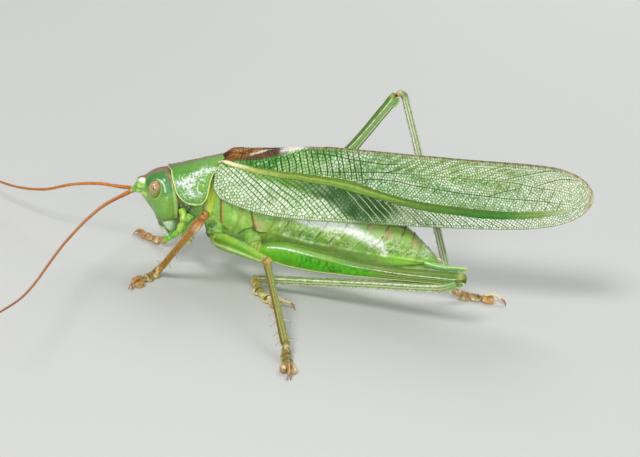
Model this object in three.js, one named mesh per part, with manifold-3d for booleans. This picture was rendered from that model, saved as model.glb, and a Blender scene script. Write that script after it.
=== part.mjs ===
// Great green bush-cricket (long-horned grasshopper), adult male, life size, still model.
// Millimetres, +Z up, head towards -X, the animal's left side towards -Y. The origin is the centre of
// the bounding box at floor level; the soles of the six feet lie in the plane z = 0.
import * as THREE from 'three';
import { mergeVertices } from 'three/addons/utils/BufferGeometryUtils.js';
import Module from 'manifold-3d';

const wasm = await Module();
wasm.setup();

// ---------------------------------------------------------------- driving dimensions
const GAP = 0.1; // clearance between touching pieces
const BODY_LEAN = 7; // degrees the trunk leans over to its right, about X
const FLOOR = 0;

// side profile of the trunk, in the trunk's own frame: x, top, bottom, half width
const HEAD = [
  [-22.78, 9.35, 8.85, 0.35],
  [-22.4, 9.9, 8.45, 0.85],
  [-21.6, 10.6, 7.75, 1.6],
  [-20.6, 11.28, 6.65, 2.25],
  [-19.6, 11.68, 5.6, 2.6],
  [-18.7, 11.8, 4.75, 2.7],
  [-17.8, 11.6, 4.6, 2.62],
  [-17.05, 11.0, 5.2, 2.35],
];
const PRONOTUM = [
  [-19.25, 11.95, 7.6, 2.45],
  [-17.4, 12.6, 7.6, 2.85],
  [-15.4, 13.35, 7.6, 3.12],
  [-13.4, 14.1, 7.6, 3.25],
  [-11.85, 14.65, 7.6, 3.2],
];
const PRONOTUM_SHELL = 0.5;
const PROTHORAX = [
  [-18.2, 11.4, 8.7, 2.1],
  [-17.2, 11.9, 6.6, 2.3],
  [-15.6, 12.6, 5.8, 2.5],
  [-14.05, 12.7, 5.9, 2.55],
];
const MESOTHORAX = [
  [-13.9, 12.4, 5.9, 2.6],
  [-12.8, 12.2, 5.0, 2.78],
  [-11.2, 11.9, 4.4, 2.9],
  [-9.6, 11.6, 4.2, 2.95],
];
const METATHORAX = [
  [-9.5, 11.6, 4.2, 2.95],
  [-7.6, 11.4, 4.0, 3.0],
  [-5.5, 11.2, 4.1, 2.9],
];
const ABDOMEN = [
  [-5.4, 11.1, 4.15, 2.85],
  [-1.0, 11.0, 3.6, 2.95],
  [3.5, 10.6, 3.45, 2.85],
  [7.5, 9.8, 3.65, 2.6],
  [10.6, 8.7, 4.0, 2.2],
  [12.6, 7.3, 4.5, 1.75],
  [14.2, 5.95, 4.7, 1.25],
  [14.9, 5.35, 4.85, 0.7],
];
const ABDOMEN_RINGS = 9;
const RING_RELIEF = 0.05;
const SUBGENITAL = [
  [9.3, 4.15, 3.45, 0.9],
  [11.4, 4.55, 3.5, 1.15],
  [13.4, 4.7, 3.95, 0.85],
  [14.1, 4.65, 4.3, 0.5],
];

const EYE = { x: -20.2, y: 2.42, z: 9.45, rx: 0.72, ry: 0.62, rz: 1.02 };

// wings, in a frame whose u axis runs from the shoulder to the wing tip and whose v axis runs across
const WING_ROOT = { x: -12.9, z: 12.6 };
const WING_PITCH = 4.0; // degrees the wing rises to the rear
const WING_LENGTH = 44.9;
const WING_THICK = 0.5;
// u, fold height v, half distance between the folds, costal (lower) margin v, its distance from the midline
const TEGMEN = [
  [0.25, 0.95, 2.75, -1.2, 3.3],
  [0.9, 1.25, 2.75, -2.9, 3.45],
  [2.2, 1.45, 2.65, -3.55, 3.6],
  [4.6, 1.75, 2.35, -4.3, 3.75],
  [7.4, 2.45, 1.6, -4.65, 3.8],
  [10.2, 3.3, 0.7, -4.75, 3.8],
  [13.5, 3.5, 0.42, -4.68, 3.75],
  [18.0, 3.46, 0.4, -4.6, 3.6],
  [24.0, 3.38, 0.42, -4.55, 3.1],
  [30.0, 3.34, 0.6, -4.5, 2.3],
  [36.0, 3.36, 0.8, -4.22, 1.7],
  [39.5, 3.24, 0.85, -3.7, 1.45],
  [42.0, 2.7, 0.9, -2.9, 1.25],
  [43.8, 1.7, 0.95, -1.7, 1.1],
  [44.7, 0.6, 1.0, -0.4, 1.02],
];
const DORSAL_RISE = 0.29; // height of the dorsal dome over the folds, as a share of its reach
const DORSAL_REACH = 1.7; // how far it crosses the back, as a share of the distance from the fold to the ridge
const LAP = 0.7; // the right dorsal field lies this far under the left one
const HINDWING = { u0: 11.2, u1: 43.0, half: 0.25, mid: 0.36 };

// legs: joints from the hip to the claws, and girths
const LEGS = {
  fore_left: { side: -1, hip: [-15.64, -1.9, 4.75], knee: [-13.17, -9.61, 10.43], ankle: [-17.93, -5.39, 1.34], claw: [-20.78, -9.79, 0.2] },
  fore_right: { side: 1, hip: [-15.66, 2.2, 4.1], knee: [-13.77, 9.94, 9.53], ankle: [-18.57, 4.73, 1.13], claw: [-22.73, 7.91, 0.2] },
  mid_left: { side: -1, hip: [-12.1, -2.6, 4.7], knee: [-5.06, -11.26, 6.33], ankle: [-1.76, -22.48, 1.25], claw: [-0.89, -27.84, 0.2] },
  mid_right: { side: 1, hip: [-12.1, 2.9, 3.9], knee: [-6.3, 12.1, 8.2], ankle: [-3.6, 21.6, 1.2], claw: [-1.2, 26.4, 0.2] },
  hind_left: { side: -1, hip: [-7.07, -3.55, 4.84], knee: [17.56, -8.38, 6.75], ankle: [-6.75, -3.83, 1.12], claw: [-1.59, -8.4, 0.2], bow: [-1.1, -0.95] },
  hind_right: { side: 1, hip: [-7.09, 4.05, 4.1], knee: [8.0, 13.5, 22.05], ankle: [17.18, 1.62, 1.1], claw: [24.05, 2.81, 0.2] },
};
const COXA_ROOT = { fore: [-15.9, 1.3, 6.4], mid: [-11.9, 1.6, 5.6], hind: [-7.9, 1.9, 6.0] };
const COXA_GIRTH = { fore: 0.7, mid: 0.75, hind: 0.95 };
// along the limb: share of its length, half width, half depth
const FEMUR_SMALL = [[0, 0.3, 0.3], [0.03, 0.48, 0.5], [0.25, 0.55, 0.68], [0.6, 0.48, 0.6], [0.88, 0.42, 0.5], [0.96, 0.46, 0.52], [1, 0.3, 0.34]];
const FEMUR_HIND = [[0, 0.35, 0.4], [0.015, 0.5, 0.62], [0.07, 0.68, 1.2], [0.16, 0.82, 1.48], [0.3, 0.8, 1.36], [0.4, 0.72, 1.18], [0.49, 0.64, 1.0], [0.6, 0.54, 0.84], [0.72, 0.47, 0.72], [0.86, 0.42, 0.64], [0.95, 0.47, 0.68], [0.985, 0.45, 0.56], [1, 0.3, 0.34]];
const TIBIA_FORE = [[0, 0.28, 0.3], [0.03, 0.44, 0.46], [0.1, 0.42, 0.5], [0.2, 0.5, 0.62], [0.33, 0.42, 0.46], [0.7, 0.38, 0.4], [0.95, 0.38, 0.4], [1, 0.28, 0.28]];
const TIBIA_MID = [[0, 0.28, 0.3], [0.03, 0.44, 0.48], [0.12, 0.4, 0.46], [0.7, 0.36, 0.4], [0.96, 0.38, 0.4], [1, 0.28, 0.28]];
const TIBIA_HIND = [[0, 0.28, 0.3], [0.02, 0.4, 0.44], [0.06, 0.36, 0.42], [0.5, 0.36, 0.4], [0.96, 0.38, 0.42], [1, 0.28, 0.28]];
const TARSUS = [[0, 0.26, 0.26], [0.05, 0.36, 0.36], [0.14, 0.36, 0.4], [0.24, 0.44, 0.46], [0.31, 0.34, 0.36], [0.4, 0.46, 0.46], [0.47, 0.36, 0.38], [0.54, 0.58, 0.46], [0.64, 0.6, 0.44], [0.7, 0.34, 0.34], [0.82, 0.26, 0.28], [0.93, 0.32, 0.32], [1, 0.2, 0.2]];
const SOLE_AXIS = 0.36; // height of the tarsus axis over the floor
const CLAW = { length: 1.0, girth: 0.26, spread: 24 };
const SPINES = { fore: 3, mid: 3, hind: 6, length: 0.62, girth: 0.26 };

// feelers: control points from the socket to the tip
const ANTENNA_LEFT = [[-23.05, -1.25, 8.55], [-24.2, -2.5, 8.35], [-25.5, -4.9, 7.95], [-26.6, -8, 7.4], [-27.5, -12, 6.9], [-28.15, -17, 6.75], [-28.6, -22.5, 6.6], [-28.85, -28, 6.75], [-29.3, -34, 7.2], [-30.6, -41.5, 8.1]];
const ANTENNA_RIGHT = [[-23.15, 0.35, 8.75], [-24.6, 0.9, 8.45], [-27.3, 2.1, 8.0], [-30.6, 3.4, 6.9], [-34.4, 5.6, 4.9], [-39.2, 9.6, 3.3], [-44.4, 14.6, 2.7], [-49.4, 19.8, 2.7], [-54.6, 26.2, 3.3]];
const ANTENNA_GIRTH = { root: 0.34, tip: 0.26 };
const ANTENNA_SPLITS = [0, 0.3, 0.62, 1];

const COLOURS = { green: 0x5f9c33, pale: 0x86ad4c, wing: 0x6ea356, brown: 0x8a5a2c, eye: 0xb08a6c, mouth: 0x8fae7a, feeler: 0xb06a35 };

// ---------------------------------------------------------------- small tools
const V = (x, y, z) => new THREE.Vector3(x, y, z);
const lerp = (a, b, t) => a + (b - a) * t;

// Smooth values between stations; the first number of a station is its place.
function along(stations, x) {
  const n = stations.length;
  if (x <= stations[0][0]) return stations[0].slice(1);
  if (x >= stations[n - 1][0]) return stations[n - 1].slice(1);
  let i = 0;
  while (stations[i + 1][0] < x) i++;
  const a = stations[Math.max(0, i - 1)], b = stations[i], c = stations[i + 1], d = stations[Math.min(n - 1, i + 2)];
  const h = c[0] - b[0], t = (x - b[0]) / h;
  return b.slice(1).map((_, k) => {
    const j = k + 1;
    const s = (c[j] - b[j]) / h;
    const slope = (p, q) => (q[0] - p[0] ? (q[j] - p[j]) / (q[0] - p[0]) : s);
    const limit = (m) => (m * s <= 0 ? 0 : Math.sign(s) * Math.min(Math.abs(m), 3 * Math.abs(s)));
    const m0 = limit(slope(a, c)), m1 = limit(slope(b, d));
    const t2 = t * t, t3 = t2 * t;
    return (2 * t3 - 3 * t2 + 1) * b[j] + (t3 - 2 * t2 + t) * h * m0 + (-2 * t3 + 3 * t2) * c[j] + (t3 - t2) * h * m1;
  });
}

// A closed skin over rings of equal count, with a fan on each end, as a manifold solid.
function loft(rings) {
  const n = rings[0].length, pos = [], tri = [];
  for (const r of rings) for (const p of r) pos.push(p.x, p.y, p.z);
  for (let i = 0; i + 1 < rings.length; i++)
    for (let j = 0; j < n; j++) {
      const a = i * n + j, b = i * n + ((j + 1) % n), c = a + n, d = b + n;
      tri.push(a, b, d, a, d, c);
    }
  for (const [ring, base, turn] of [[rings[0], 0, 1], [rings[rings.length - 1], (rings.length - 1) * n, 0]]) {
    const mid = ring.reduce((s, p) => s.add(p), V(0, 0, 0)).divideScalar(n), k = pos.length / 3;
    pos.push(mid.x, mid.y, mid.z);
    for (let j = 0; j < n; j++) {
      const a = base + j, b = base + ((j + 1) % n);
      turn ? tri.push(k, b, a) : tri.push(k, a, b);
    }
  }
  return solid(pos, tri);
}

function solid(pos, tri) {
  let volume = 0;
  for (let i = 0; i < tri.length; i += 3) {
    const [a, b, c] = [0, 1, 2].map((k) => V(pos[3 * tri[i + k]], pos[3 * tri[i + k] + 1], pos[3 * tri[i + k] + 2]));
    volume += a.dot(b.cross(c));
  }
  if (volume < 0) for (let i = 0; i < tri.length; i += 3) [tri[i + 1], tri[i + 2]] = [tri[i + 2], tri[i + 1]];
  const g = new THREE.BufferGeometry();
  g.setAttribute('position', new THREE.BufferAttribute(new Float32Array(pos), 3));
  g.setIndex(tri);
  return fromGeometry(g);
}

function fromGeometry(geometry) {
  const g = geometry.clone();
  g.deleteAttribute('normal');
  g.deleteAttribute('uv');
  const m = mergeVertices(g, 1e-4);
  return new wasm.Manifold(new wasm.Mesh({ numProp: 3, vertProperties: new Float32Array(m.attributes.position.array), triVerts: new Uint32Array(m.index.array) }));
}

// The largest single body that a cut leaves.
function largest(s) {
  return s.decompose().reduce((a, b) => (b.volume() > a.volume() ? b : a));
}

function toMesh(name, s, colour, roughness = 0.5) {
  const m = s.getMesh();
  const pos = new Float32Array(m.numVert * 3);
  for (let i = 0; i < m.numVert; i++) for (let k = 0; k < 3; k++) pos[3 * i + k] = m.vertProperties[i * m.numProp + k];
  const g = new THREE.BufferGeometry();
  g.setAttribute('position', new THREE.BufferAttribute(pos, 3));
  g.setIndex(new THREE.BufferAttribute(new Uint32Array(m.triVerts), 1));
  g.computeVertexNormals();
  const mesh = new THREE.Mesh(g, new THREE.MeshStandardMaterial({ color: colour, roughness, metalness: 0, flatShading: true }));
  mesh.name = name;
  return mesh;
}

// A trunk piece from its side profile. Grow swells it, and relief pinches it between its rings.
function trunk(stations, { steps = 10, sides = 20, grow = 0, power = 2.2, widest = 0.45, rings = 0, relief = 0 } = {}) {
  const x0 = stations[0][0], x1 = stations[stations.length - 1][0], made = [];
  for (let i = 0; i <= steps; i++) {
    const x = lerp(x0, x1, i / steps);
    let [top, bottom, half] = along(stations, x);
    const pinch = rings ? relief * (1 - Math.abs(Math.sin((Math.PI * rings * i) / steps)) ** 0.5) : 0;
    top += grow - pinch;
    bottom -= grow - pinch;
    half += grow - pinch;
    const mid = lerp(bottom, top, widest), ring = [];
    for (let j = 0; j < sides; j++) {
      const a = (2 * Math.PI * j) / sides, c = Math.cos(a), s = Math.sin(a);
      const y = half * Math.sign(c) * Math.abs(c) ** (2 / power);
      const z = mid + (s > 0 ? top - mid : mid - bottom) * Math.sign(s) * Math.abs(s) ** (2 / power);
      ring.push(V(x + (i === 0 ? -grow : i === steps ? grow : 0), y, z));
    }
    made.push(ring);
  }
  return loft(made);
}

function ellipsoid(e, side, grow = 0, w = 12, h = 8) {
  const g = new THREE.SphereGeometry(1, w, h);
  g.rotateX(Math.PI / 2);
  g.scale(e.rx + grow, e.ry + grow, e.rz + grow);
  g.translate(e.x, side * e.y, e.z);
  return fromGeometry(g);
}

// A limb along a smooth line. Width lies across the plane that `up` spans with the line.
function limb(points, girths, { up, sides = 8, steps = 0, grow = 0, from = 0, to = 1, floor = null } = {}) {
  const curve = points.length > 2 ? new THREE.CatmullRomCurve3(points, false, 'centripetal') : new THREE.LineCurve3(points[0], points[1]);
  const places = steps ? Array.from({ length: steps + 1 }, (_, i) => lerp(from, to, i / steps)) : girths.map((g) => g[0]).filter((t) => t >= from && t <= to);
  const rings = places.map((t) => {
    const p = curve.getPointAt(t), d = curve.getTangentAt(t).normalize();
    const u = up.clone().addScaledVector(d, -up.dot(d)).normalize(), w = V(0, 0, 0).crossVectors(d, u);
    const [hw, hd] = along(girths, t);
    return Array.from({ length: sides }, (_, j) => {
      const a = (2 * Math.PI * (j + 0.5)) / sides;
      const q = p.clone().addScaledVector(w, (hw + grow) * Math.cos(a)).addScaledVector(u, (hd + grow) * Math.sin(a));
      if (floor !== null) q.z = Math.max(q.z, floor);
      return q;
    });
  });
  return loft(rings);
}

function spike(at, dir, length, girth) {
  const g = new THREE.ConeGeometry(girth / 2, length, 3);
  g.translate(0, length / 2 - 0.12, 0);
  g.applyQuaternion(new THREE.Quaternion().setFromUnitVectors(V(0, 1, 0), dir.clone().normalize()));
  g.translate(at.x, at.y, at.z);
  return fromGeometry(g);
}

// ---------------------------------------------------------------- trunk
const root = new THREE.Group();
const animal = new THREE.Group();
root.add(animal);
const body = new THREE.Group();
body.rotation.x = THREE.MathUtils.degToRad(-BODY_LEAN);
animal.add(body);
const lean = new THREE.Matrix4().makeRotationX(THREE.MathUtils.degToRad(-BODY_LEAN));
const unlean = lean.clone().invert();
const inBody = (p) => V(...p).applyMatrix4(unlean);

// the pronotum is a thin saddle whose side lobes hang to a rounded edge
const lobe = new THREE.Shape();
lobe.moveTo(-19.15, 16);
lobe.lineTo(-19.15, 12.2);
lobe.bezierCurveTo(-18.6, 11.6, -18.3, 10.6, -17.95, 10.0);
lobe.bezierCurveTo(-17.6, 9.1, -17.2, 8.5, -15.6, 8.28);
lobe.bezierCurveTo(-14.2, 8.2, -13.8, 9.3, -13.72, 10.6);
lobe.bezierCurveTo(-13.6, 12.4, -13.5, 13.4, -12.9, 13.75);
lobe.bezierCurveTo(-12.4, 14.0, -12.0, 14.3, -11.95, 14.7);
lobe.lineTo(-11.95, 16);
lobe.closePath();
const lobePrism = new THREE.ExtrudeGeometry(lobe, { depth: 8, bevelEnabled: false, curveSegments: 4 });
lobePrism.rotateX(Math.PI / 2);
lobePrism.translate(0, 4, 0);
const saddle = { steps: 4, sides: 16, power: 2.7 };
const pronotumOuter = trunk(PRONOTUM, saddle);
const pronotumInner = trunk(
  PRONOTUM.map(([x, t, b, h], i, all) => [x + (i === 0 ? -0.5 : i === all.length - 1 ? 0.5 : 0), t - PRONOTUM_SHELL, b - 1, h - PRONOTUM_SHELL]),
  saddle,
);
const pronotum = largest(pronotumOuter.subtract(pronotumInner).intersect(fromGeometry(lobePrism)));
const pronotumGrown = trunk(PRONOTUM, { ...saddle, grow: GAP }).intersect(fromGeometry(lobePrism));
const NECK = { steps: 4, sides: 14 }, MID = { steps: 3, sides: 16 }, REAR = { steps: 3, sides: 16 };
const prothorax = trunk(PROTHORAX, NECK);
const mesothorax = trunk(MESOTHORAX, MID);
const metathorax = trunk(METATHORAX, REAR);
const BELLY = { steps: ABDOMEN_RINGS * 2, sides: 12, power: 2.1 };
const abdomenWhole = trunk(ABDOMEN, { ...BELLY, rings: ABDOMEN_RINGS, relief: RING_RELIEF });
const KEEL = { steps: 4, sides: 10 };
const subgenital = trunk(SUBGENITAL, KEEL);
const abdomen = largest(abdomenWhole.subtract(trunk(SUBGENITAL, { ...KEEL, grow: GAP })));

// the head capsule, with sockets for the eyes and a notch for the neck
const SKULL = { steps: 7, sides: 16, power: 2.15, widest: 0.56 };
const scape = (side, grow = 0) =>
  limb([V(-21.7, side * 0.9, 9.35), V(-22.35, side * 1.0, 9.15), V(-22.95, side * 0.95, 8.75)], [[0, 0.5, 0.6], [0.4, 0.58, 0.66], [0.8, 0.42, 0.44], [1, 0.24, 0.24]], { up: V(0, 0, 1), sides: 8, steps: 5, grow });
let head = trunk(HEAD, SKULL);
for (const side of [-1, 1]) head = head.subtract(ellipsoid(EYE, side, GAP)).subtract(scape(side, GAP));
head = largest(head.subtract(trunk(PROTHORAX, { ...NECK, grow: GAP })).subtract(pronotumGrown));

body.add(toMesh('head', head, COLOURS.green, 0.4));
body.add(toMesh('pronotum', pronotum, COLOURS.green, 0.35));
body.add(toMesh('prothorax', prothorax, COLOURS.pale));
body.add(toMesh('mesothorax', mesothorax, COLOURS.pale));
body.add(toMesh('metathorax', metathorax, COLOURS.pale));
body.add(toMesh('abdomen', abdomen, COLOURS.pale));
body.add(toMesh('subgenital_plate', subgenital, COLOURS.green));

// ---------------------------------------------------------------- face and mouth
const headGrown = trunk(HEAD, { ...SKULL, grow: GAP });
const sideName = (side) => (side < 0 ? 'left' : 'right');
const lip = (grow = 0) => limb([V(-19.15, 0, 5.3), V(-18.55, 0, 4.2), V(-17.75, 0, 3.35)], [[0, 1.1, 0.35], [0.4, 1.15, 0.4], [0.8, 0.95, 0.36], [1, 0.45, 0.26]], { up: V(-1, 0, -0.8), sides: 8, steps: 5, grow });
const labrum = largest(lip().subtract(headGrown)), labrumGrown = lip(GAP);
const maxillaryPalp = (side, grow = 0) => palp(side, [[-16.75, 2.0, 7.3], [-16.35, 2.3, 6.6], [-16.35, 2.35, 5.4], [-16.85, 2.3, 4.4], [-17.7, 2.1, 3.6], [-18.4, 2.0, 3.05]], 0.36, 0.26, 7, grow);
const labialPalp = (side) => palp(side, [[-16.5, 0.85, 4.3], [-16.15, 1.0, 3.55], [-15.7, 1.1, 3.2], [-14.95, 1.15, 3.3]], 0.3, 0.28, 5);
function palp(side, points, r0, r1, steps, grow = 0) {
  const mid = lerp(r0, r1, 0.6), line = points.map(([x, y, z]) => V(x, side * y, z));
  return limb(line, [[0, r0 * 0.7, r0 * 0.7], [0.08, r0, r0], [0.6, mid, mid], [1, r1, r1]], { up: V(0, 0.3, 1), sides: 7, steps, grow });
}
body.add(toMesh('labrum', labrum, COLOURS.mouth));
for (const side of [-1, 1]) {
  body.add(toMesh('eye_' + sideName(side), ellipsoid(EYE, side), COLOURS.eye, 0.25));
  const jaw = [V(-18.35, side * 1.45, 5.6), V(-18.0, side * 1.25, 4.3), V(-17.3, side * 0.72, 3.35)];
  const girths = [[0, 0.75, 0.55], [0.5, 0.7, 0.55], [0.85, 0.45, 0.42], [1, 0.22, 0.25]];
  const mandible = limb(jaw, girths, { up: V(1, 0, 0.3), sides: 8, steps: 4 });
  body.add(toMesh('mandible_' + sideName(side), largest(mandible.subtract(headGrown).subtract(labrumGrown)), COLOURS.mouth));
  const clearOf = (piece) => largest(piece.subtract(headGrown).subtract(trunk(PROTHORAX, { ...NECK, grow: GAP })));
  body.add(toMesh('palp_maxillary_' + sideName(side), clearOf(maxillaryPalp(side)), COLOURS.green));
  body.add(toMesh('palp_labial_' + sideName(side), clearOf(labialPalp(side)), COLOURS.pale));
  body.add(toMesh('scape_' + sideName(side), scape(side), COLOURS.pale));
}

// ---------------------------------------------------------------- tail
for (const side of [-1, 1]) {
  const cercus = limb([V(13.2, side * 1.45, 5.35), V(15.2, side * 1.72, 5.1), V(18.2, side * 1.5, 5.15)], [[0, 0.34, 0.34], [0.15, 0.4, 0.4], [0.6, 0.33, 0.33], [1, 0.24, 0.24]], { up: V(0, 0, 1), sides: 7, steps: 5 });
  body.add(toMesh('cercus_' + sideName(side), largest(cercus.subtract(trunk(ABDOMEN, { ...BELLY, grow: GAP }))), COLOURS.green));
}

// ---------------------------------------------------------------- wings
const pitch = THREE.MathUtils.degToRad(WING_PITCH);
const foldReach = (u) => Math.max(0, along(TEGMEN, u)[1] - 0.42) * DORSAL_REACH;
// A point of the left tegmen's middle surface. s runs from -1, the inner edge of the dorsal field, over 0, the fold, to 1, the costal margin.
function tegmenPoint(u, s, side, lap) {
  const [fold, halfFold, low, halfLow] = along(TEGMEN, u);
  let y, v;
  if (s >= 0) {
    v = lerp(fold, low, s);
    y = lerp(halfFold, halfLow, s ** 0.8);
  } else {
    const reach = foldReach(u);
    y = halfFold + s * reach;
    v = fold + DORSAL_RISE * reach * Math.min(1, 0.2 + u / 3) * Math.sin((Math.PI * -s) / 1.3) - (lap ? LAP : 0) * Math.min(1, -s * 4) * Math.min(1, reach);
  }
  return V(WING_ROOT.x + u * Math.cos(pitch) - v * Math.sin(pitch), side * y, WING_ROOT.z + u * Math.sin(pitch) + v * Math.cos(pitch));
}

// A plate of even thickness on a grid of points.
function plate(grid, thick) {
  const n = grid.length, m = grid[0].length, pos = [], tri = [];
  const normalAt = (i, j) => {
    const du = grid[Math.min(n - 1, i + 1)][j].clone().sub(grid[Math.max(0, i - 1)][j]);
    const dv = grid[i][Math.min(m - 1, j + 1)].clone().sub(grid[i][Math.max(0, j - 1)]);
    return du.cross(dv).normalize();
  };
  for (const h of [thick / 2, -thick / 2])
    for (let i = 0; i < n; i++)
      for (let j = 0; j < m; j++) {
        const p = grid[i][j].clone().addScaledVector(normalAt(i, j), h);
        pos.push(p.x, p.y, p.z);
      }
  const at = (k, i, j) => k * n * m + i * m + j;
  for (let i = 0; i + 1 < n; i++)
    for (let j = 0; j + 1 < m; j++) {
      tri.push(at(0, i, j), at(0, i + 1, j), at(0, i + 1, j + 1), at(0, i, j), at(0, i + 1, j + 1), at(0, i, j + 1));
      tri.push(at(1, i, j), at(1, i + 1, j + 1), at(1, i + 1, j), at(1, i, j), at(1, i, j + 1), at(1, i + 1, j + 1));
    }
  const edge = [];
  for (let i = 0; i < n; i++) edge.push([i, 0]);
  for (let j = 1; j < m; j++) edge.push([n - 1, j]);
  for (let i = n - 2; i >= 0; i--) edge.push([i, m - 1]);
  for (let j = m - 2; j > 0; j--) edge.push([0, j]);
  edge.forEach(([i, j], k) => {
    const [p, q] = edge[(k + 1) % edge.length];
    tri.push(at(0, i, j), at(1, i, j), at(1, p, q), at(0, i, j), at(1, p, q), at(0, p, q));
  });
  return solid(pos, tri);
}

const U_STEPS = 17, LATERAL_STEPS = 4, DORSAL_STEPS = 3, HEM = 0.5;
for (const side of [-1, 1]) {
  const grid = [];
  for (let i = 0; i <= U_STEPS; i++) {
    const e = i / U_STEPS, u = lerp(TEGMEN[0][0], TEGMEN[TEGMEN.length - 1][0], 0.4 * e + 0.3 * (1 - Math.cos(Math.PI * e)));
    const [fold, halfFold, low, halfLow] = along(TEGMEN, u);
    const reach = foldReach(u), drop = Math.hypot(fold - low, halfFold - halfLow), hem = Math.min(HEM, 0.3 * drop), crease = Math.max(reach, hem);
    const line = [];
    for (let j = 0; j <= DORSAL_STEPS + LATERAL_STEPS; j++) {
      const arc = j < DORSAL_STEPS ? (crease * j) / DORSAL_STEPS : lerp(crease, reach + drop, (j - DORSAL_STEPS) / LATERAL_STEPS);
      line.push(tegmenPoint(u, arc < reach ? (arc - reach) / reach : (arc - reach) / drop, side, side > 0));
    }
    grid.push(line);
  }
  const wing = plate(grid, WING_THICK);
  body.add(toMesh('tegmen_' + sideName(side), largest(wing.subtract(pronotumGrown)), COLOURS.wing, 0.35));
}
for (const side of [-1, 1]) {
  const rings = [];
  const n = 12;
  for (let i = 0; i <= n; i++) {
    const u = lerp(HINDWING.u0, HINDWING.u1, i / n);
    const [fold, halfFold, low, halfLow] = along(TEGMEN, u);
    const open = (s) => lerp(halfFold, halfLow, s ** 0.8) - WING_THICK / 2 - GAP;
    let s = 0.02;
    while (open(s) < HINDWING.mid + HINDWING.half + 0.02 && s < 0.98) s += 0.02;
    const top = lerp(fold, low, s) - 0.1;
    const over = Math.max(along(ABDOMEN, WING_ROOT.x + u * Math.cos(pitch))[0], 0);
    const overV = (over - WING_ROOT.z) / Math.cos(pitch) - u * Math.tan(pitch) + 0.35;
    const bottom = u < 29.5 ? Math.max(low + 0.4, overV) : low - 0.12 * Math.sin((Math.PI * (u - 29.5)) / (HINDWING.u1 - 29.5));
    const t = Math.max(top, bottom + 0.3), ring = [];
    for (const [a, b] of [[-1, 0.04], [-1, 0.5], [-1, 0.96], [1, 0.96], [1, 0.5], [1, 0.04]]) {
      const v = lerp(bottom, t, b);
      ring.push(V(WING_ROOT.x + u * Math.cos(pitch) - v * Math.sin(pitch), side * (HINDWING.mid + a * HINDWING.half), WING_ROOT.z + u * Math.sin(pitch) + v * Math.cos(pitch)));
    }
    rings.push(ring);
  }
  body.add(toMesh('hindwing_' + sideName(side), loft(rings), COLOURS.wing, 0.4));
}

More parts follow.
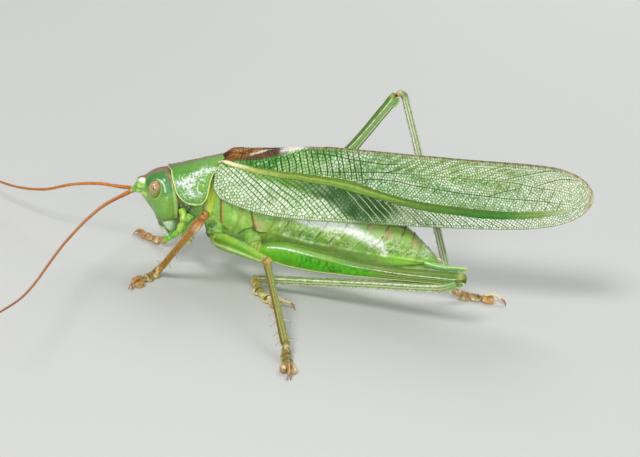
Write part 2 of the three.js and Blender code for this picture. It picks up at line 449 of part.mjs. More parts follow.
// ---------------------------------------------------------------- legs
for (const [name, leg] of Object.entries(LEGS)) {
  const kind = name.split('_')[0], side = leg.side;
  const hip = V(...leg.hip), knee = V(...leg.knee), ankle = V(...leg.ankle), claw = V(...leg.claw);
  const girth = COXA_GIRTH[kind];
  // coxa: a stout cone from the underside of the thorax to the hip, in the trunk's frame
  const [rx, ry, rz] = COXA_ROOT[kind], end = inBody(leg.hip);
  const coxa = limb([V(rx, side * ry, rz), V(lerp(rx, end.x, 0.5), lerp(side * ry, end.y, 0.55), lerp(rz, end.z, 0.5)), end], [[0, girth, girth], [0.6, girth * 0.92, girth * 0.92], [0.9, girth * 0.7, girth * 0.7], [1, girth * 0.4, girth * 0.4]], { up: V(1, 0, 0.2), sides: 8, steps: 4 });

  const thigh = knee.clone().sub(hip).normalize(), shin = ankle.clone().sub(knee).normalize();
  const bend = shin.clone().addScaledVector(thigh, -shin.dot(thigh)).normalize();
  const girths = kind === 'hind' ? FEMUR_HIND : FEMUR_SMALL;
  const start = hip.clone().addScaledVector(thigh, 0.22 + GAP);
  const femurLine = [start, knee];
  const femur = limb(femurLine, girths, { up: bend, sides: 8 });
  const femurGrown = limb(femurLine, girths, { up: bend, sides: 8, grow: GAP });
  let clear = coxa.subtract(femurGrown.transform(unlean.elements)).subtract(maxillaryPalp(side, GAP));
  for (const [stations, shape] of [[PROTHORAX, NECK], [MESOTHORAX, MID], [METATHORAX, REAR]]) clear = clear.subtract(trunk(stations, { ...shape, grow: GAP }));
  body.add(toMesh('coxa_' + name, largest(clear), COLOURS.green));
  animal.add(toMesh('femur_' + name, femur, COLOURS.green));

  const tibiaGirths = { fore: TIBIA_FORE, mid: TIBIA_MID, hind: TIBIA_HIND }[kind];
  const kneeUnder = knee.clone().addScaledVector(thigh, -0.35).addScaledVector(bend, 0.3);
  const foot = ankle.clone();
  let tibia = limb([kneeUnder, foot], tibiaGirths, { up: bend, sides: 7 });
  const across = V(0, 0, 0).crossVectors(shin, bend).normalize();
  const count = SPINES[kind];
  for (const edge of [-1, 1])
    for (let i = 0; i < count; i++) {
      const t = lerp(kind === 'hind' ? 0.14 : 0.3, 0.93, i / (count - 1));
      const at = kneeUnder.clone().lerp(foot, t).addScaledVector(across, edge * 0.26).addScaledVector(bend, kind === 'hind' ? 0.26 : -0.26);
      const dir = across.clone().multiplyScalar(edge * 0.9).addScaledVector(bend, kind === 'hind' ? 0.55 : -0.6).addScaledVector(shin, 0.8);
      tibia = tibia.add(spike(at, dir, SPINES.length, SPINES.girth));
    }
  tibia = largest(tibia.subtract(femurGrown));
  // tarsus: four pads along the floor, the third two-lobed, and a pair of claws
  const reach = claw.clone().sub(ankle);
  const heel = ankle.clone().addScaledVector(shin, 0.12 + GAP);
  const [bx, by] = leg.bow || [0, 0];
  const step = (t, z) => ankle.clone().addScaledVector(reach, t).add(V(bx * 4 * t * (1 - t), by * 4 * t * (1 - t), 0)).setZ(z);
  const line = [heel, step(0.12, SOLE_AXIS + 0.14), step(0.35, SOLE_AXIS), step(0.62, SOLE_AXIS), step(0.84, SOLE_AXIS + 0.1)];
  let tarsus = limb(line, TARSUS, { up: V(0, 0, 1), sides: 7, steps: 11, floor: FLOOR });
  const tip = line[line.length - 1];
  for (const edge of [-1, 1]) {
    const dir = line[4].clone().sub(line[3]).setZ(0).normalize().applyAxisAngle(V(0, 0, 1), edge * THREE.MathUtils.degToRad(CLAW.spread)).setZ(-0.22);
    tarsus = tarsus.add(spike(tip, dir, CLAW.length, CLAW.girth));
  }
  tarsus = largest(tarsus.subtract(limb([kneeUnder, foot], tibiaGirths, { up: bend, sides: 7, grow: GAP })));
  animal.add(toMesh('tibia_' + name, tibia, kind === 'hind' ? COLOURS.green : COLOURS.brown));
  animal.add(toMesh('tarsus_' + name, tarsus, COLOURS.brown));
}

// ---------------------------------------------------------------- feelers
for (const [name, points] of [['left', ANTENNA_LEFT], ['right', ANTENNA_RIGHT]]) {
  const line = points.map((p) => V(...p));
  const curve = new THREE.CatmullRomCurve3(line, false, 'centripetal'), length = curve.getLength();
  ['base', 'middle', 'tip'].forEach((part, i) => {
    const from = ANTENNA_SPLITS[i] + (i ? GAP / 2 / length : 0), to = ANTENNA_SPLITS[i + 1] - (i < 2 ? GAP / 2 / length : 0);
    const girths = [[0, ANTENNA_GIRTH.root, ANTENNA_GIRTH.root], [0.06, 0.27, 0.27], [1, ANTENNA_GIRTH.tip, ANTENNA_GIRTH.tip]];
    animal.add(toMesh('antenna_' + name + '_' + part, limb(line, girths, { up: V(0, 0.1, 1), sides: 6, steps: 6, from, to }), COLOURS.feeler));
  });
}
// ---------------------------------------------------------------- origin: centre of the bounding box, on the floor
animal.updateMatrixWorld(true);
const box = new THREE.Box3().setFromObject(animal, true);
const centre = box.getCenter(V(0, 0, 0));
animal.position.set(-centre.x, -centre.y, -box.min.z);

export default root;
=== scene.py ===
import bpy, math
import numpy as np
from mathutils import Vector, Matrix, geometry


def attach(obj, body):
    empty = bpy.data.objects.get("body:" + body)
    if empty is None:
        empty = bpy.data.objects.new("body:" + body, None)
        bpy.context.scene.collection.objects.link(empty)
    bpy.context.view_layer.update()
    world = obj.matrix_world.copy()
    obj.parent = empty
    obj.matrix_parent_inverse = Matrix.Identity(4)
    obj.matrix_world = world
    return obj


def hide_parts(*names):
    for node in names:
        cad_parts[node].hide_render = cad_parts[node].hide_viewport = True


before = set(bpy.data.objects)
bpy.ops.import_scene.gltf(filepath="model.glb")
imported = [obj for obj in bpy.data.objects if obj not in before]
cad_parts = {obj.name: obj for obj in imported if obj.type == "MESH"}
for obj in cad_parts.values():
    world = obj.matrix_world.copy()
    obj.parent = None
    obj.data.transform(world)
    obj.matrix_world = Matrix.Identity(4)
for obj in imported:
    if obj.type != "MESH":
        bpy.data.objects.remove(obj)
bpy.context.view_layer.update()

# ------------------------------------------------------------------ frames
# Shapes are written in millimetres in the drawing's frame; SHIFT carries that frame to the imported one.
SHIFT = np.array([11.4658, 7.5314, 0.0])
LEAN = math.radians(7.0)          # the trunk leans this much about its long axis


def lean(P):
    """From the trunk's own frame to the drawing's frame."""
    P = np.asarray(P, float)
    c, s = math.cos(LEAN), math.sin(LEAN)
    return np.stack([P[..., 0], P[..., 1] * c + P[..., 2] * s, -P[..., 1] * s + P[..., 2] * c], -1)


def unlean(P):
    P = np.asarray(P, float)
    c, s = math.cos(LEAN), math.sin(LEAN)
    return np.stack([P[..., 0], P[..., 1] * c - P[..., 2] * s, P[..., 1] * s + P[..., 2] * c], -1)


def lin(*rgb):
    """A colour given as 0-255 display values, as linear numbers."""
    c = np.array(rgb, float) / 255.0
    return np.where(c <= 0.04045, c / 12.92, ((c + 0.055) / 1.055) ** 2.4)


def sstep(a, b, x):
    t = np.clip((np.asarray(x, float) - a) / (b - a), 0, 1)
    return t * t * (3 - 2 * t)


def bump(x, c, w):
    return np.exp(-((np.asarray(x, float) - c) / w) ** 2)


def mixc(a, b, t):
    t = np.asarray(t, float)[..., None]
    return np.asarray(a) * (1 - t) + np.asarray(b) * t


class Track:
    """Rows [x, a, b, ...] as smooth monotone functions of x."""

    def __init__(self, rows):
        rows = np.array(rows, float)
        self.x, self.y = rows[:, 0], rows[:, 1:]
        n, h, d = len(self.x), np.diff(self.x), np.diff(self.y, axis=0) / np.diff(self.x)[:, None]
        m = np.zeros_like(self.y)
        m[0], m[-1] = d[0], d[-1]
        for i in range(1, n - 1):
            w1, w2 = 2 * h[i] + h[i - 1], h[i] + 2 * h[i - 1]
            ok = d[i - 1] * d[i] > 0
            m[i] = np.where(ok, (w1 + w2) / np.where(ok, w1 / np.where(ok, d[i - 1], 1) + w2 / np.where(ok, d[i], 1), 1), 0)
        self.m = m

    def __call__(self, x):
        x = np.clip(np.asarray(x, float), self.x[0], self.x[-1])
        i = np.clip(np.searchsorted(self.x, x) - 1, 0, len(self.x) - 2)
        h = (self.x[i + 1] - self.x[i])[..., None]
        t = ((x - self.x[i])[..., None]) / h
        a, b, ma, mb = self.y[i], self.y[i + 1], self.m[i], self.m[i + 1]
        v = a * (1 + 2 * t) * (1 - t) ** 2 + h * ma * t * (1 - t) ** 2 + b * t * t * (3 - 2 * t) + h * mb * t * t * (t - 1)
        return np.moveaxis(v, -1, 0)


def vnoise(P, scale, seed=0):
    """Smooth value noise in 3-D, about -1..1, the same each run."""
    P = np.asarray(P, float) * scale + seed * 17.17
    i = np.floor(P).astype(np.int64)
    f = P - i
    f = f * f * (3 - 2 * f)
    out = 0
    for dx in (0, 1):
        for dy in (0, 1):
            for dz in (0, 1):
                h = (i[..., 0] + dx) * 73856093 ^ (i[..., 1] + dy) * 19349663 ^ (i[..., 2] + dz) * 83492791 ^ (seed * 2654435 + 97)
                h = (h ^ (h >> 13)) * 1274126177 & 0x7FFFFFFF
                h = (h ^ (h >> 15)) & 0xFFFF
                w = (f[..., 0] if dx else 1 - f[..., 0]) * (f[..., 1] if dy else 1 - f[..., 1]) * (f[..., 2] if dz else 1 - f[..., 2])
                out = out + w * (h / 32767.5 - 1)
    return out


# ------------------------------------------------------------------ meshes
def build(name, V, faces, mat, tint=None, attrs=None, uv=None, smooth=True, stands=(), shift=True):
    """A mesh piece from points in millimetres (drawing frame) and lists of faces, riding on the body."""
    V = np.asarray(V, float)
    P = (V + (SHIFT if shift else 0)) * 0.001
    me = bpy.data.meshes.new(name)
    loops = np.concatenate([np.asarray(f, np.int32).ravel() for f in faces])
    totals = np.concatenate([np.full(len(f), np.asarray(f).shape[1], np.int32) for f in faces])
    starts = np.concatenate([[0], np.cumsum(totals)[:-1]]).astype(np.int32)
    me.vertices.add(len(P))
    me.vertices.foreach_set("co", P.astype(np.float32).ravel())
    me.loops.add(len(loops))
    me.loops.foreach_set("vertex_index", loops.astype(np.int32))
    me.polygons.add(len(starts))
    me.polygons.foreach_set("loop_start", starts)
    me.update(calc_edges=True)
    if uv is not None:      # uv per point, or per loop
        layer = me.uv_layers.new(name="OFBake")
        U = np.asarray(uv, np.float32)
        if len(U) == len(V):
            U = U[loops]
        layer.data.foreach_set("uv", U.ravel())
    if tint is not None:
        T = np.asarray(tint, float)
        if T.ndim == 1:
            T = np.tile(T, (len(V), 1))
        a = me.attributes.new("tint", "FLOAT_COLOR", "POINT")
        a.data.foreach_set("color", np.concatenate([np.clip(T, 0, 1), np.ones((len(T), 1))], 1).astype(np.float32).ravel())
    for k, v in (attrs or {}).items():
        a = me.attributes.new(k, "FLOAT", "POINT")
        a.data.foreach_set("value", np.broadcast_to(np.asarray(v, np.float32), (len(V),)).astype(np.float32).ravel())
    if smooth:
        me.polygons.foreach_set("use_smooth", np.ones(len(starts), bool))
    me.validate()
    me.update()
    ob = bpy.data.objects.new(name, me)
    bpy.context.scene.collection.objects.link(ob)
    for m in (mat if isinstance(mat, (list, tuple)) else [mat]):
        me.materials.append(m)
    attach(ob, "root")
    if stands:
        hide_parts(*stands)
    return ob


def merged(parts):
    """Several (V, faces, tint) as one."""
    V, F, T, n = [], [], [], 0
    for v, f, t in parts:
        v = np.asarray(v, float)
        V.append(v)
        t = np.asarray(t, float)
        T.append(np.tile(t, (len(v), 1)) if t.ndim == 1 else t)
        F += [np.asarray(a, np.int64) + n for a in f]
        n += len(v)
    return np.concatenate(V), F, np.concatenate(T)


def normals(V, faces):
    N = np.zeros_like(V)
    for f in faces:
        f = np.asarray(f)
        for k in range(1, f.shape[1] - 1):
            n = np.cross(V[f[:, k]] - V[f[:, 0]], V[f[:, k + 1]] - V[f[:, 0]])
            for j in (0, k, k + 1):
                np.add.at(N, f[:, j], n)
    return N / np.maximum(np.linalg.norm(N, axis=1), 1e-12)[:, None]


def frames(path, up):
    """Tangent, side and up at each point of a path."""
    T = np.gradient(path, axis=0)
    T /= np.linalg.norm(T, axis=1)[:, None]
    S, B = np.zeros_like(T), np.zeros_like(T)
    b = np.array(up, float)
    for i in range(len(T)):
        s = np.cross(T[i], b)
        s /= np.linalg.norm(s)
        b = np.cross(s, T[i])
        S[i], B[i] = s, b
    return T, S, B


def curve(points, n, t=None):
    """n points along a smooth curve through the given ones, even in length."""
    P = np.array(points, float)
    if len(P) == 2:
        return P[0] + (P[1] - P[0]) * np.linspace(0, 1, n)[:, None]
    Q = np.concatenate([[2 * P[0] - P[1]], P, [2 * P[-1] - P[-2]]])
    out = []
    for i in range(len(P) - 1):
        a, b, c, d = Q[i:i + 4]
        k = [0]
        for p, q in ((a, b), (b, c), (c, d)):
            k.append(k[-1] + max(np.linalg.norm(q - p), 1e-6) ** 0.5)
        tt = np.linspace(k[1], k[2], 40, endpoint=i == len(P) - 2)[:, None]
        A1 = (k[1] - tt) / (k[1] - k[0]) * a + (tt - k[0]) / (k[1] - k[0]) * b
        A2 = (k[2] - tt) / (k[2] - k[1]) * b + (tt - k[1]) / (k[2] - k[1]) * c
        A3 = (k[3] - tt) / (k[3] - k[2]) * c + (tt - k[2]) / (k[3] - k[2]) * d
        B1 = (k[2] - tt) / (k[2] - k[0]) * A1 + (tt - k[0]) / (k[2] - k[0]) * A2
        B2 = (k[3] - tt) / (k[3] - k[1]) * A2 + (tt - k[1]) / (k[3] - k[1]) * A3
        out.append((k[2] - tt) / (k[2] - k[1]) * B1 + (tt - k[1]) / (k[2] - k[1]) * B2)
    D = np.concatenate(out)
    L = np.concatenate([[0], np.cumsum(np.linalg.norm(np.diff(D, axis=0), axis=1))])
    s = np.linspace(0, L[-1], n) if t is None else np.asarray(t) * L[-1]
    return np.stack([np.interp(s, L, D[:, k]) for k in range(3)], 1)


def tube(path, half_w, half_h, sides=24, up=(0, 0, 1), shape=None, cap=True, power=2.0):
    """A closed solid round a path. half_w and half_h are arrays along it; shape(t, a) scales the radius. Returns V, faces, t, a (angle, 0 = side, 90 = up)."""
    path = np.asarray(path, float)
    n = len(path)
    T, S, B = frames(path, up)
    a = np.linspace(0, 2 * math.pi, sides, endpoint=False)
    t = np.concatenate([[0], np.cumsum(np.linalg.norm(np.diff(path, axis=0), axis=1))])
    t = t / t[-1]
    TT, AA = np.meshgrid(t, a, indexing="ij")
    ca, sa = np.cos(AA), np.sin(AA)
    rr = (np.abs(ca) ** power + np.abs(sa) ** power) ** (-1 / power)
    if shape is not None:
        rr = rr * shape(TT, AA)
    W, Hh = np.broadcast_to(half_w, (n,)), np.broadcast_to(half_h, (n,))
    V = path[:, None, :] + S[:, None, :] * (ca * rr * W[:, None])[..., None] + B[:, None, :] * (sa * rr * Hh[:, None])[..., None]
    V = V.reshape(-1, 3)
    i, j = np.meshgrid(np.arange(n - 1), np.arange(sides), indexing="ij")
    k = (j + 1) % sides
    F = np.stack([i * sides + j, i * sides + k, (i + 1) * sides + k, (i + 1) * sides + j], -1).reshape(-1, 4)
    faces = [F[:, ::-1]]
    tt, aa = TT.ravel(), AA.ravel()
    if cap:
        V = np.concatenate([V, path[:1], path[-1:]])
        tt, aa = np.append(tt, [0, 1]), np.append(aa, [0, 0])
        j = np.arange(sides)
        k = (j + 1) % sides
        c0, c1, e = n * sides, n * sides + 1, (n - 1) * sides
        faces.append(np.concatenate([np.stack([np.full(sides, c0), j, k], -1), np.stack([np.full(sides, c1), e + k, e + j], -1)])[:, ::-1])
    return V, faces, tt, aa


# ------------------------------------------------------------------ solids from distance fields
def d_ball(X, Y, Z, c, r):
    r = np.asarray(r, float) * np.ones(3)
    k = np.sqrt(((X - c[0]) / r[0]) ** 2 + ((Y - c[1]) / r[1]) ** 2 + ((Z - c[2]) / r[2]) ** 2)
    g = np.sqrt(((X - c[0]) / r[0] ** 2) ** 2 + ((Y - c[1]) / r[1] ** 2) ** 2 + ((Z - c[2]) / r[2] ** 2) ** 2)
    return k * (k - 1) / np.maximum(g, 1e-6)


def d_bone(X, Y, Z, a, b, ra, rb):
    """A rod with round ends, radius ra at a and rb at b."""
    a, b = np.array(a, float), np.array(b, float)
    d = b - a
    t = np.clip(((X - a[0]) * d[0] + (Y - a[1]) * d[1] + (Z - a[2]) * d[2]) / (d @ d), 0, 1)
    return np.sqrt((X - a[0] - t * d[0]) ** 2 + (Y - a[1] - t * d[1]) ** 2 + (Z - a[2] - t * d[2]) ** 2) - (ra + (rb - ra) * t)


def s_min(a, b, k):
    h = np.maximum(k - np.abs(a - b), 0) / k
    return np.minimum(a, b) - h * h * k * 0.25


def s_max(a, b, k):
    return -s_min(-a, -b, k)


def nets(f, lo, hi, h, polish=2):
    """The surface where f(X, Y, Z) is 0, as quads facing out."""
    lo, hi = np.array(lo, float), np.array(hi, float)
    n = np.ceil((hi - lo) / h).astype(int) + 1
    ax = [lo[i] + h * np.arange(n[i]) for i in range(3)]
    D = f(ax[0][:, None, None], ax[1][None, :, None], ax[2][None, None, :]).astype(np.float32)
    D = np.broadcast_to(D, tuple(n)).copy()
    D[0], D[-1], D[:, 0], D[:, -1], D[:, :, 0], D[:, :, -1] = (np.maximum(D[0], .01), np.maximum(D[-1], .01), np.maximum(D[:, 0], .01),
                                                            np.maximum(D[:, -1], .01), np.maximum(D[:, :, 0], .01), np.maximum(D[:, :, -1], .01))
    S = D < 0
    c = [(i, j, k) for i in (0, 1) for j in (0, 1) for k in (0, 1)]
    m = n - 1
    cnt = sum(S[i:i + m[0], j:j + m[1], k:k + m[2]].astype(np.int8) for i, j, k in c)
    act = np.argwhere((cnt > 0) & (cnt < 8))
    idx = -np.ones(tuple(m), np.int64)
    idx[tuple(act.T)] = np.arange(len(act))
    acc, num = np.zeros((len(act), 3)), np.zeros(len(act))
    for p in c:
        for a in range(3):
            if p[a]:
                continue
            q = list(p)
            q[a] = 1
            d0 = D[tuple((act + p).T)]
            d1 = D[tuple((act + q).T)]
            x = (d0 < 0) != (d1 < 0)
            t = np.where(x, d0 / np.where(x, d0 - d1, 1), 0)
            pos = np.tile(np.array(p, float), (len(act), 1))
            pos[:, a] += t
            acc += pos * x[:, None]
            num += x
    V = lo + (act + acc / num[:, None]) * h
    quads = []
    for a in range(3):
        b, cc = (a + 1) % 3, (a + 2) % 3
        sl0, sl1 = [slice(None)] * 3, [slice(None)] * 3
        sl0[a], sl1[a] = slice(0, -1), slice(1, None)
        s0, s1 = S[tuple(sl0)], S[tuple(sl1)]
        e = np.argwhere(s0 != s1)
        e = e[(e[:, b] > 0) & (e[:, cc] > 0) & (e[:, b] < m[b]) & (e[:, cc] < m[cc])]
        inside = s0[tuple(e.T)]
        db, dc = np.zeros(3, int), np.zeros(3, int)
        db[b], dc[cc] = 1, 1
        q = np.stack([idx[tuple((e - db - dc).T)], idx[tuple((e - dc).T)], idx[tuple(e.T)], idx[tuple((e - db).T)]], -1)
        q[~inside] = q[~inside][:, ::-1]
        quads.append(q)
    F = np.concatenate(quads)
    eps = h * 0.25
    for _ in range(polish):
        g, v0 = np.zeros_like(V), f(V[:, 0], V[:, 1], V[:, 2])
        for a in range(3):
            W = V.copy()
            W[:, a] += eps
            g[:, a] = (f(W[:, 0], W[:, 1], W[:, 2]) - v0) / eps
        g2 = np.maximum((g * g).sum(1), 0.05)
        V -= np.clip(v0 / g2, -h * .5, h * .5)[:, None] * g
    return V, [F]


# ------------------------------------------------------------------ materials
def node(nt, kind, **kw):
    n = nt.nodes.new(kind)
    for k, v in kw.items():
        setattr(n, k, v)
    return n


def skin(name, rough=0.4, rough_var=0.12, value_var=0.16, hue_var=0.02, grain=1400.0, blotch=260.0, bump_size=0.5, bump_mm=0.02,
         pores=0.0, pore_scale=4500.0, coat=0.0, coat_rough=0.2, sss=0.0, spec=0.5, sheen=0.0, alpha=None):
    """A cuticle: the mesh's tint, varied by two noises, with grain, pores and roughness from the same noises."""
    m = bpy.data.materials.new(name)
    m.use_nodes = True
    nt = m.node_tree
    nt.nodes.clear()
    out = node(nt, "ShaderNodeOutputMaterial")
    bs = node(nt, "ShaderNodeBsdfPrincipled")
    nt.links.new(bs.outputs[0], out.inputs[0])
    tc = node(nt, "ShaderNodeTexCoord")
    at = node(nt, "ShaderNodeAttribute", attribute_name="tint")
    n1 = node(nt, "ShaderNodeTexNoise")
    n1.inputs["Scale"].default_value = grain
    n1.inputs["Detail"].default_value = 4
    n2 = node(nt, "ShaderNodeTexNoise")
    n2.inputs["Scale"].default_value = blotch
    n2.inputs["Detail"].default_value = 3
    for n in (n1, n2):
        nt.links.new(tc.outputs["Object"], n.inputs["Vector"])
    hs = node(nt, "ShaderNodeHueSaturation")
    nt.links.new(at.outputs["Color"], hs.inputs["Color"])
    mr = node(nt, "ShaderNodeMapRange")
    mr.inputs["From Min"].default_value, mr.inputs["From Max"].default_value = 0.3, 0.7
    mr.inputs["To Min"].default_value, mr.inputs["To Max"].default_value = 1 - value_var, 1 + value_var
    nt.links.new(n1.outputs[0], mr.inputs["Value"])
    nt.links.new(mr.outputs[0], hs.inputs["Value"])
    mh = node(nt, "ShaderNodeMapRange")
    mh.inputs["From Min"].default_value, mh.inputs["From Max"].default_value = 0.3, 0.7
    mh.inputs["To Min"].default_value, mh.inputs["To Max"].default_value = 0.5 - hue_var, 0.5 + hue_var
    nt.links.new(n2.outputs[0], mh.inputs["Value"])
    nt.links.new(mh.outputs[0], hs.inputs["Hue"])
    nt.links.new(hs.outputs[0], bs.inputs["Base Color"])
    rr = node(nt, "ShaderNodeMapRange")
    rr.inputs["From Min"].default_value, rr.inputs["From Max"].default_value = 0.3, 0.7
    rr.inputs["To Min"].default_value, rr.inputs["To Max"].default_value = max(rough - rough_var, .05), rough + rough_var
    nt.links.new(n2.outputs[0], rr.inputs["Value"])
    nt.links.new(rr.outputs[0], bs.inputs["Roughness"])
    height = n1.outputs[0]
    if pores:
        vo = node(nt, "ShaderNodeTexVoronoi")
        vo.inputs["Scale"].default_value = pore_scale
        nt.links.new(tc.outputs["Object"], vo.inputs["Vector"])
        mx = node(nt, "ShaderNodeMath", operation="MULTIPLY_ADD")
        mx.inputs[1].default_value = pores
        nt.links.new(vo.outputs["Distance"], mx.inputs[0])
        nt.links.new(height, mx.inputs[2])
        height = mx.outputs[0]
    bp = node(nt, "ShaderNodeBump")
    bp.inputs["Strength"].default_value = bump_size
    bp.inputs["Distance"].default_value = bump_mm * 0.001
    nt.links.new(height, bp.inputs["Height"])
    nt.links.new(bp.outputs[0], bs.inputs["Normal"])
    bs.inputs["Specular IOR Level"].default_value = spec
    bs.inputs["Coat Weight"].default_value = coat
    bs.inputs["Coat Roughness"].default_value = coat_rough
    if sheen:
        bs.inputs["Sheen Weight"].default_value = sheen
        bs.inputs["Sheen Roughness"].default_value = 0.4
    if sss:
        bs.inputs["Subsurface Weight"].default_value = sss
        bs.inputs["Subsurface Radius"].default_value = (0.6, 0.9, 0.25)
        bs.inputs["Subsurface Scale"].default_value = 0.0006
    return m


# ------------------------------------------------------------------ camera, floor and light
scene = bpy.context.scene
scene.view_settings.view_transform = "Standard"
scene.view_settings.look = "None"

ELEV, ROLL, DIST, AIM_Z, PX_PER_MM = math.radians(20.0), math.radians(8.63), 220.0, 7.287, 8.33
fwd = np.array([0, math.cos(ELEV), -math.sin(ELEV)])
right = np.array([1.0, 0, 0])
upv = np.cross(right, fwd)
Rv = right * math.cos(ROLL) + upv * math.sin(ROLL)
Uv = -right * math.sin(ROLL) + upv * math.cos(ROLL)
Cv = np.array([0, 0, AIM_Z]) - fwd * DIST
cam_data = bpy.data.cameras.new("camera")
cam_data.lens, cam_data.sensor_width = 36.0 * PX_PER_MM * DIST / 640.0, 36.0
cam_data.clip_start, cam_data.clip_end = 0.005, 20.0
cam = bpy.data.objects.new("camera", cam_data)
scene.collection.objects.link(cam)
M = Matrix.Identity(4)
for r in range(3):
    M[r][0], M[r][1], M[r][2], M[r][3] = Rv[r], Uv[r], -fwd[r], (Cv[r] + SHIFT[r]) * 0.001
cam.matrix_world = M
scene.camera = cam


def lamp(name, at, aim, size, watts, colour=(1, 1, 1), size_y=None):
    d = bpy.data.lights.new(name, "AREA")
    d.shape = "RECTANGLE" if size_y else "SQUARE"
    d.size = size
    if size_y:
        d.size_y = size_y
    d.energy, d.color = watts, colour
    o = bpy.data.objects.new(name, d)
    scene.collection.objects.link(o)
    o.location = Vector(at)
    o.rotation_mode = "QUATERNION"
    o.rotation_quaternion = (Vector(aim) - Vector(at)).to_track_quat("-Z", "Y")
    return o


lamp("key", (-0.17, -0.34, 0.42), (0.0, 0.0, 0.01), 0.16, 1.78, (1.0, 0.98, 0.94))
lamp("fill", (0.30, -0.34, 0.14), (0.0, 0.0, 0.01), 0.30, 0.42, (0.96, 0.99, 1.0))
lamp("front", (0.03, -0.60, 0.235), (0.0, 0.0, 0.01), 0.11, 0.95, (1.0, 1.0, 1.0))
lamp("rim", (0.12, 0.34, 0.30), (0.0, 0.0, 0.01), 0.25, 0.8, (1.0, 1.0, 0.97))

world = bpy.data.worlds.new("studio")
world.use_nodes = True
world.node_tree.nodes["Background"].inputs[0].default_value = (0.93, 0.96, 1.0, 1)
world.node_tree.nodes["Background"].inputs[1].default_value = 0.3
scene.world = world

fm = bpy.data.materials.new("floor_paper")
fm.use_nodes = True
fb = fm.node_tree.nodes["Principled BSDF"]
fn = node(fm.node_tree, "ShaderNodeTexNoise")
fn.inputs["Scale"].default_value = 900.0
fn.inputs["Detail"].default_value = 5
ft = node(fm.node_tree, "ShaderNodeTexCoord")
fm.node_tree.links.new(ft.outputs["Object"], fn.inputs["Vector"])
fr = node(fm.node_tree, "ShaderNodeMapRange")
fr.inputs["To Min"].default_value, fr.inputs["To Max"].default_value = 0.72, 0.86
fm.node_tree.links.new(fn.outputs[0], fr.inputs["Value"])
fm.node_tree.links.new(fr.outputs[0], fb.inputs["Roughness"])
fbp = node(fm.node_tree, "ShaderNodeBump")
fbp.inputs["Strength"].default_value = 0.15
fbp.inputs["Distance"].default_value = 0.00005
fm.node_tree.links.new(fn.outputs[0], fbp.inputs["Height"])
fm.node_tree.links.new(fbp.outputs[0], fb.inputs["Normal"])
fb.inputs["Base Color"].default_value = (0.66, 0.67, 0.655, 1)
fme = bpy.data.meshes.new("floor")
fme.from_pydata([(-3, -3, 0), (3, -3, 0), (3, 3, 0), (-3, 3, 0)], [], [(0, 1, 2, 3)])
fme.materials.append(fm)
floor_ob = bpy.data.objects.new("floor", fme)
scene.collection.objects.link(floor_ob)
floor_ob.location = (0, 0, -0.00002)

# ------------------------------------------------------------------ wings
# Each fore wing is a network of cells on a plane (u along the wing, q across it: q 0 at the fold,
# negative down the side, positive over the back), which is then bent onto the wing's surface.
WING_ROOT, PITCH = (-12.9, 12.6), math.radians(4.0)
TEGMEN = Track([
    [-1.3, .2, 2.5, -1.2, 2.75], [-.9, .45, 2.6, -1.5, 2.9], [-.4, .7, 2.72, -1.95, 3.12], [.25, .98, 2.75, -2.95, 3.36], [.9, 1.22, 2.75, -3.25, 3.48], [2.2, 1.45, 2.65, -3.68, 3.6], [4.6, 1.75, 2.35, -4.3, 3.75],
    [7.4, 2.45, 1.6, -4.65, 3.8], [10.2, 3.3, .7, -4.75, 3.8], [13.5, 3.5, .42, -4.68, 3.75], [18, 3.46, .4, -4.6, 3.6],
    [24, 3.38, .42, -4.55, 3.1], [30, 3.34, .6, -4.5, 2.3], [36, 3.36, .8, -4.22, 1.7], [39.5, 3.24, .85, -3.7, 1.45],
    [42, 2.7, .9, -2.9, 1.25], [43.8, 1.7, .95, -1.7, 1.1], [44.7, .6, 1.0, -.4, 1.02]])
STEM_TOP = Track([[-1.3, .9], [.25, .7], [1.8, .02], [3.66, -.61], [6.08, -1.33], [8.46, -2.27], [10.83, -2.96], [13.2, -3.24], [15.63, -3.42], [18.05, -4.0], [19.88, -4.39],
                  [21.66, -4.72], [23.49, -4.94], [25.27, -5.12], [28.88, -5.34], [31.3, -5.45], [33.67, -5.49], [36.1, -5.43], [38.47, -5.16], [40.79, -4.55], [42.4, -3.7], [43.6, -2.6]])
STEM_LOW = Track([[-1.3, .3], [.25, .1], [.84, -.41], [2.2, -.85], [3.76, -1.3], [6.13, -2.04], [8.51, -3.03], [10.93, -3.83], [13.3, -4.17], [15.73, -4.6], [18.15, -5.02], [19.93, -5.34],
                  [21.76, -5.67], [23.59, -5.94], [25.37, -6.17], [28.98, -6.37], [31.4, -6.53], [33.77, -6.51], [36.15, -6.33], [38.52, -5.87], [40.89, -5.05], [42.4, -4.1], [43.6, -3.0]])
MAIN_VEINS = [
    [(15.4, -3.55), (16.81, -3.31), (17.75, -3.09), (19.63, -2.98), (21.56, -3.06), (22.75, -3.25), (25.42, -3.48), (27.54, -3.67), (29.22, -3.8), (32.09, -3.92), (35.01, -4.04), (38.92, -3.97), (40.74, -3.88), (42.3, -3.45)],
    [(11.0, -2.75), (11.9, -2.62), (13.75, -2.6), (15.78, -2.45), (17.65, -2.28), (19.58, -2.17), (21.46, -2.11), (25.27, -2.04), (29.08, -2.07), (33.38, -2.09), (35.8, -2.2), (37.58, -2.46), (39.9, -2.45), (42.2, -2.3)],
    [(19.58, -2.17), (20.97, -1.81), (22.35, -1.2), (23.9, -.45)],
    [(25.27, -2.04), (26.9, -1.44), (28.53, -.84), (30.6, -.15)],
    [(29.08, -2.07), (30.95, -1.33), (32.78, -.59), (35.0, -.1)],
    [(33.38, -2.09), (35.11, -1.49), (36.84, -.99), (38.96, -.36), (40.6, -.12)],
    [(32.09, -3.92), (34.07, -3.2), (35.8, -2.73)],
    [(37.53, -2.4), (39.26, -1.6), (41.04, -.85), (42.3, -.5)],
    [(10.6, -.55), (13.2, -.78), (15.63, -1.07), (17.56, -1.15), (19.48, -1.26), (21.9, -1.0)],
]
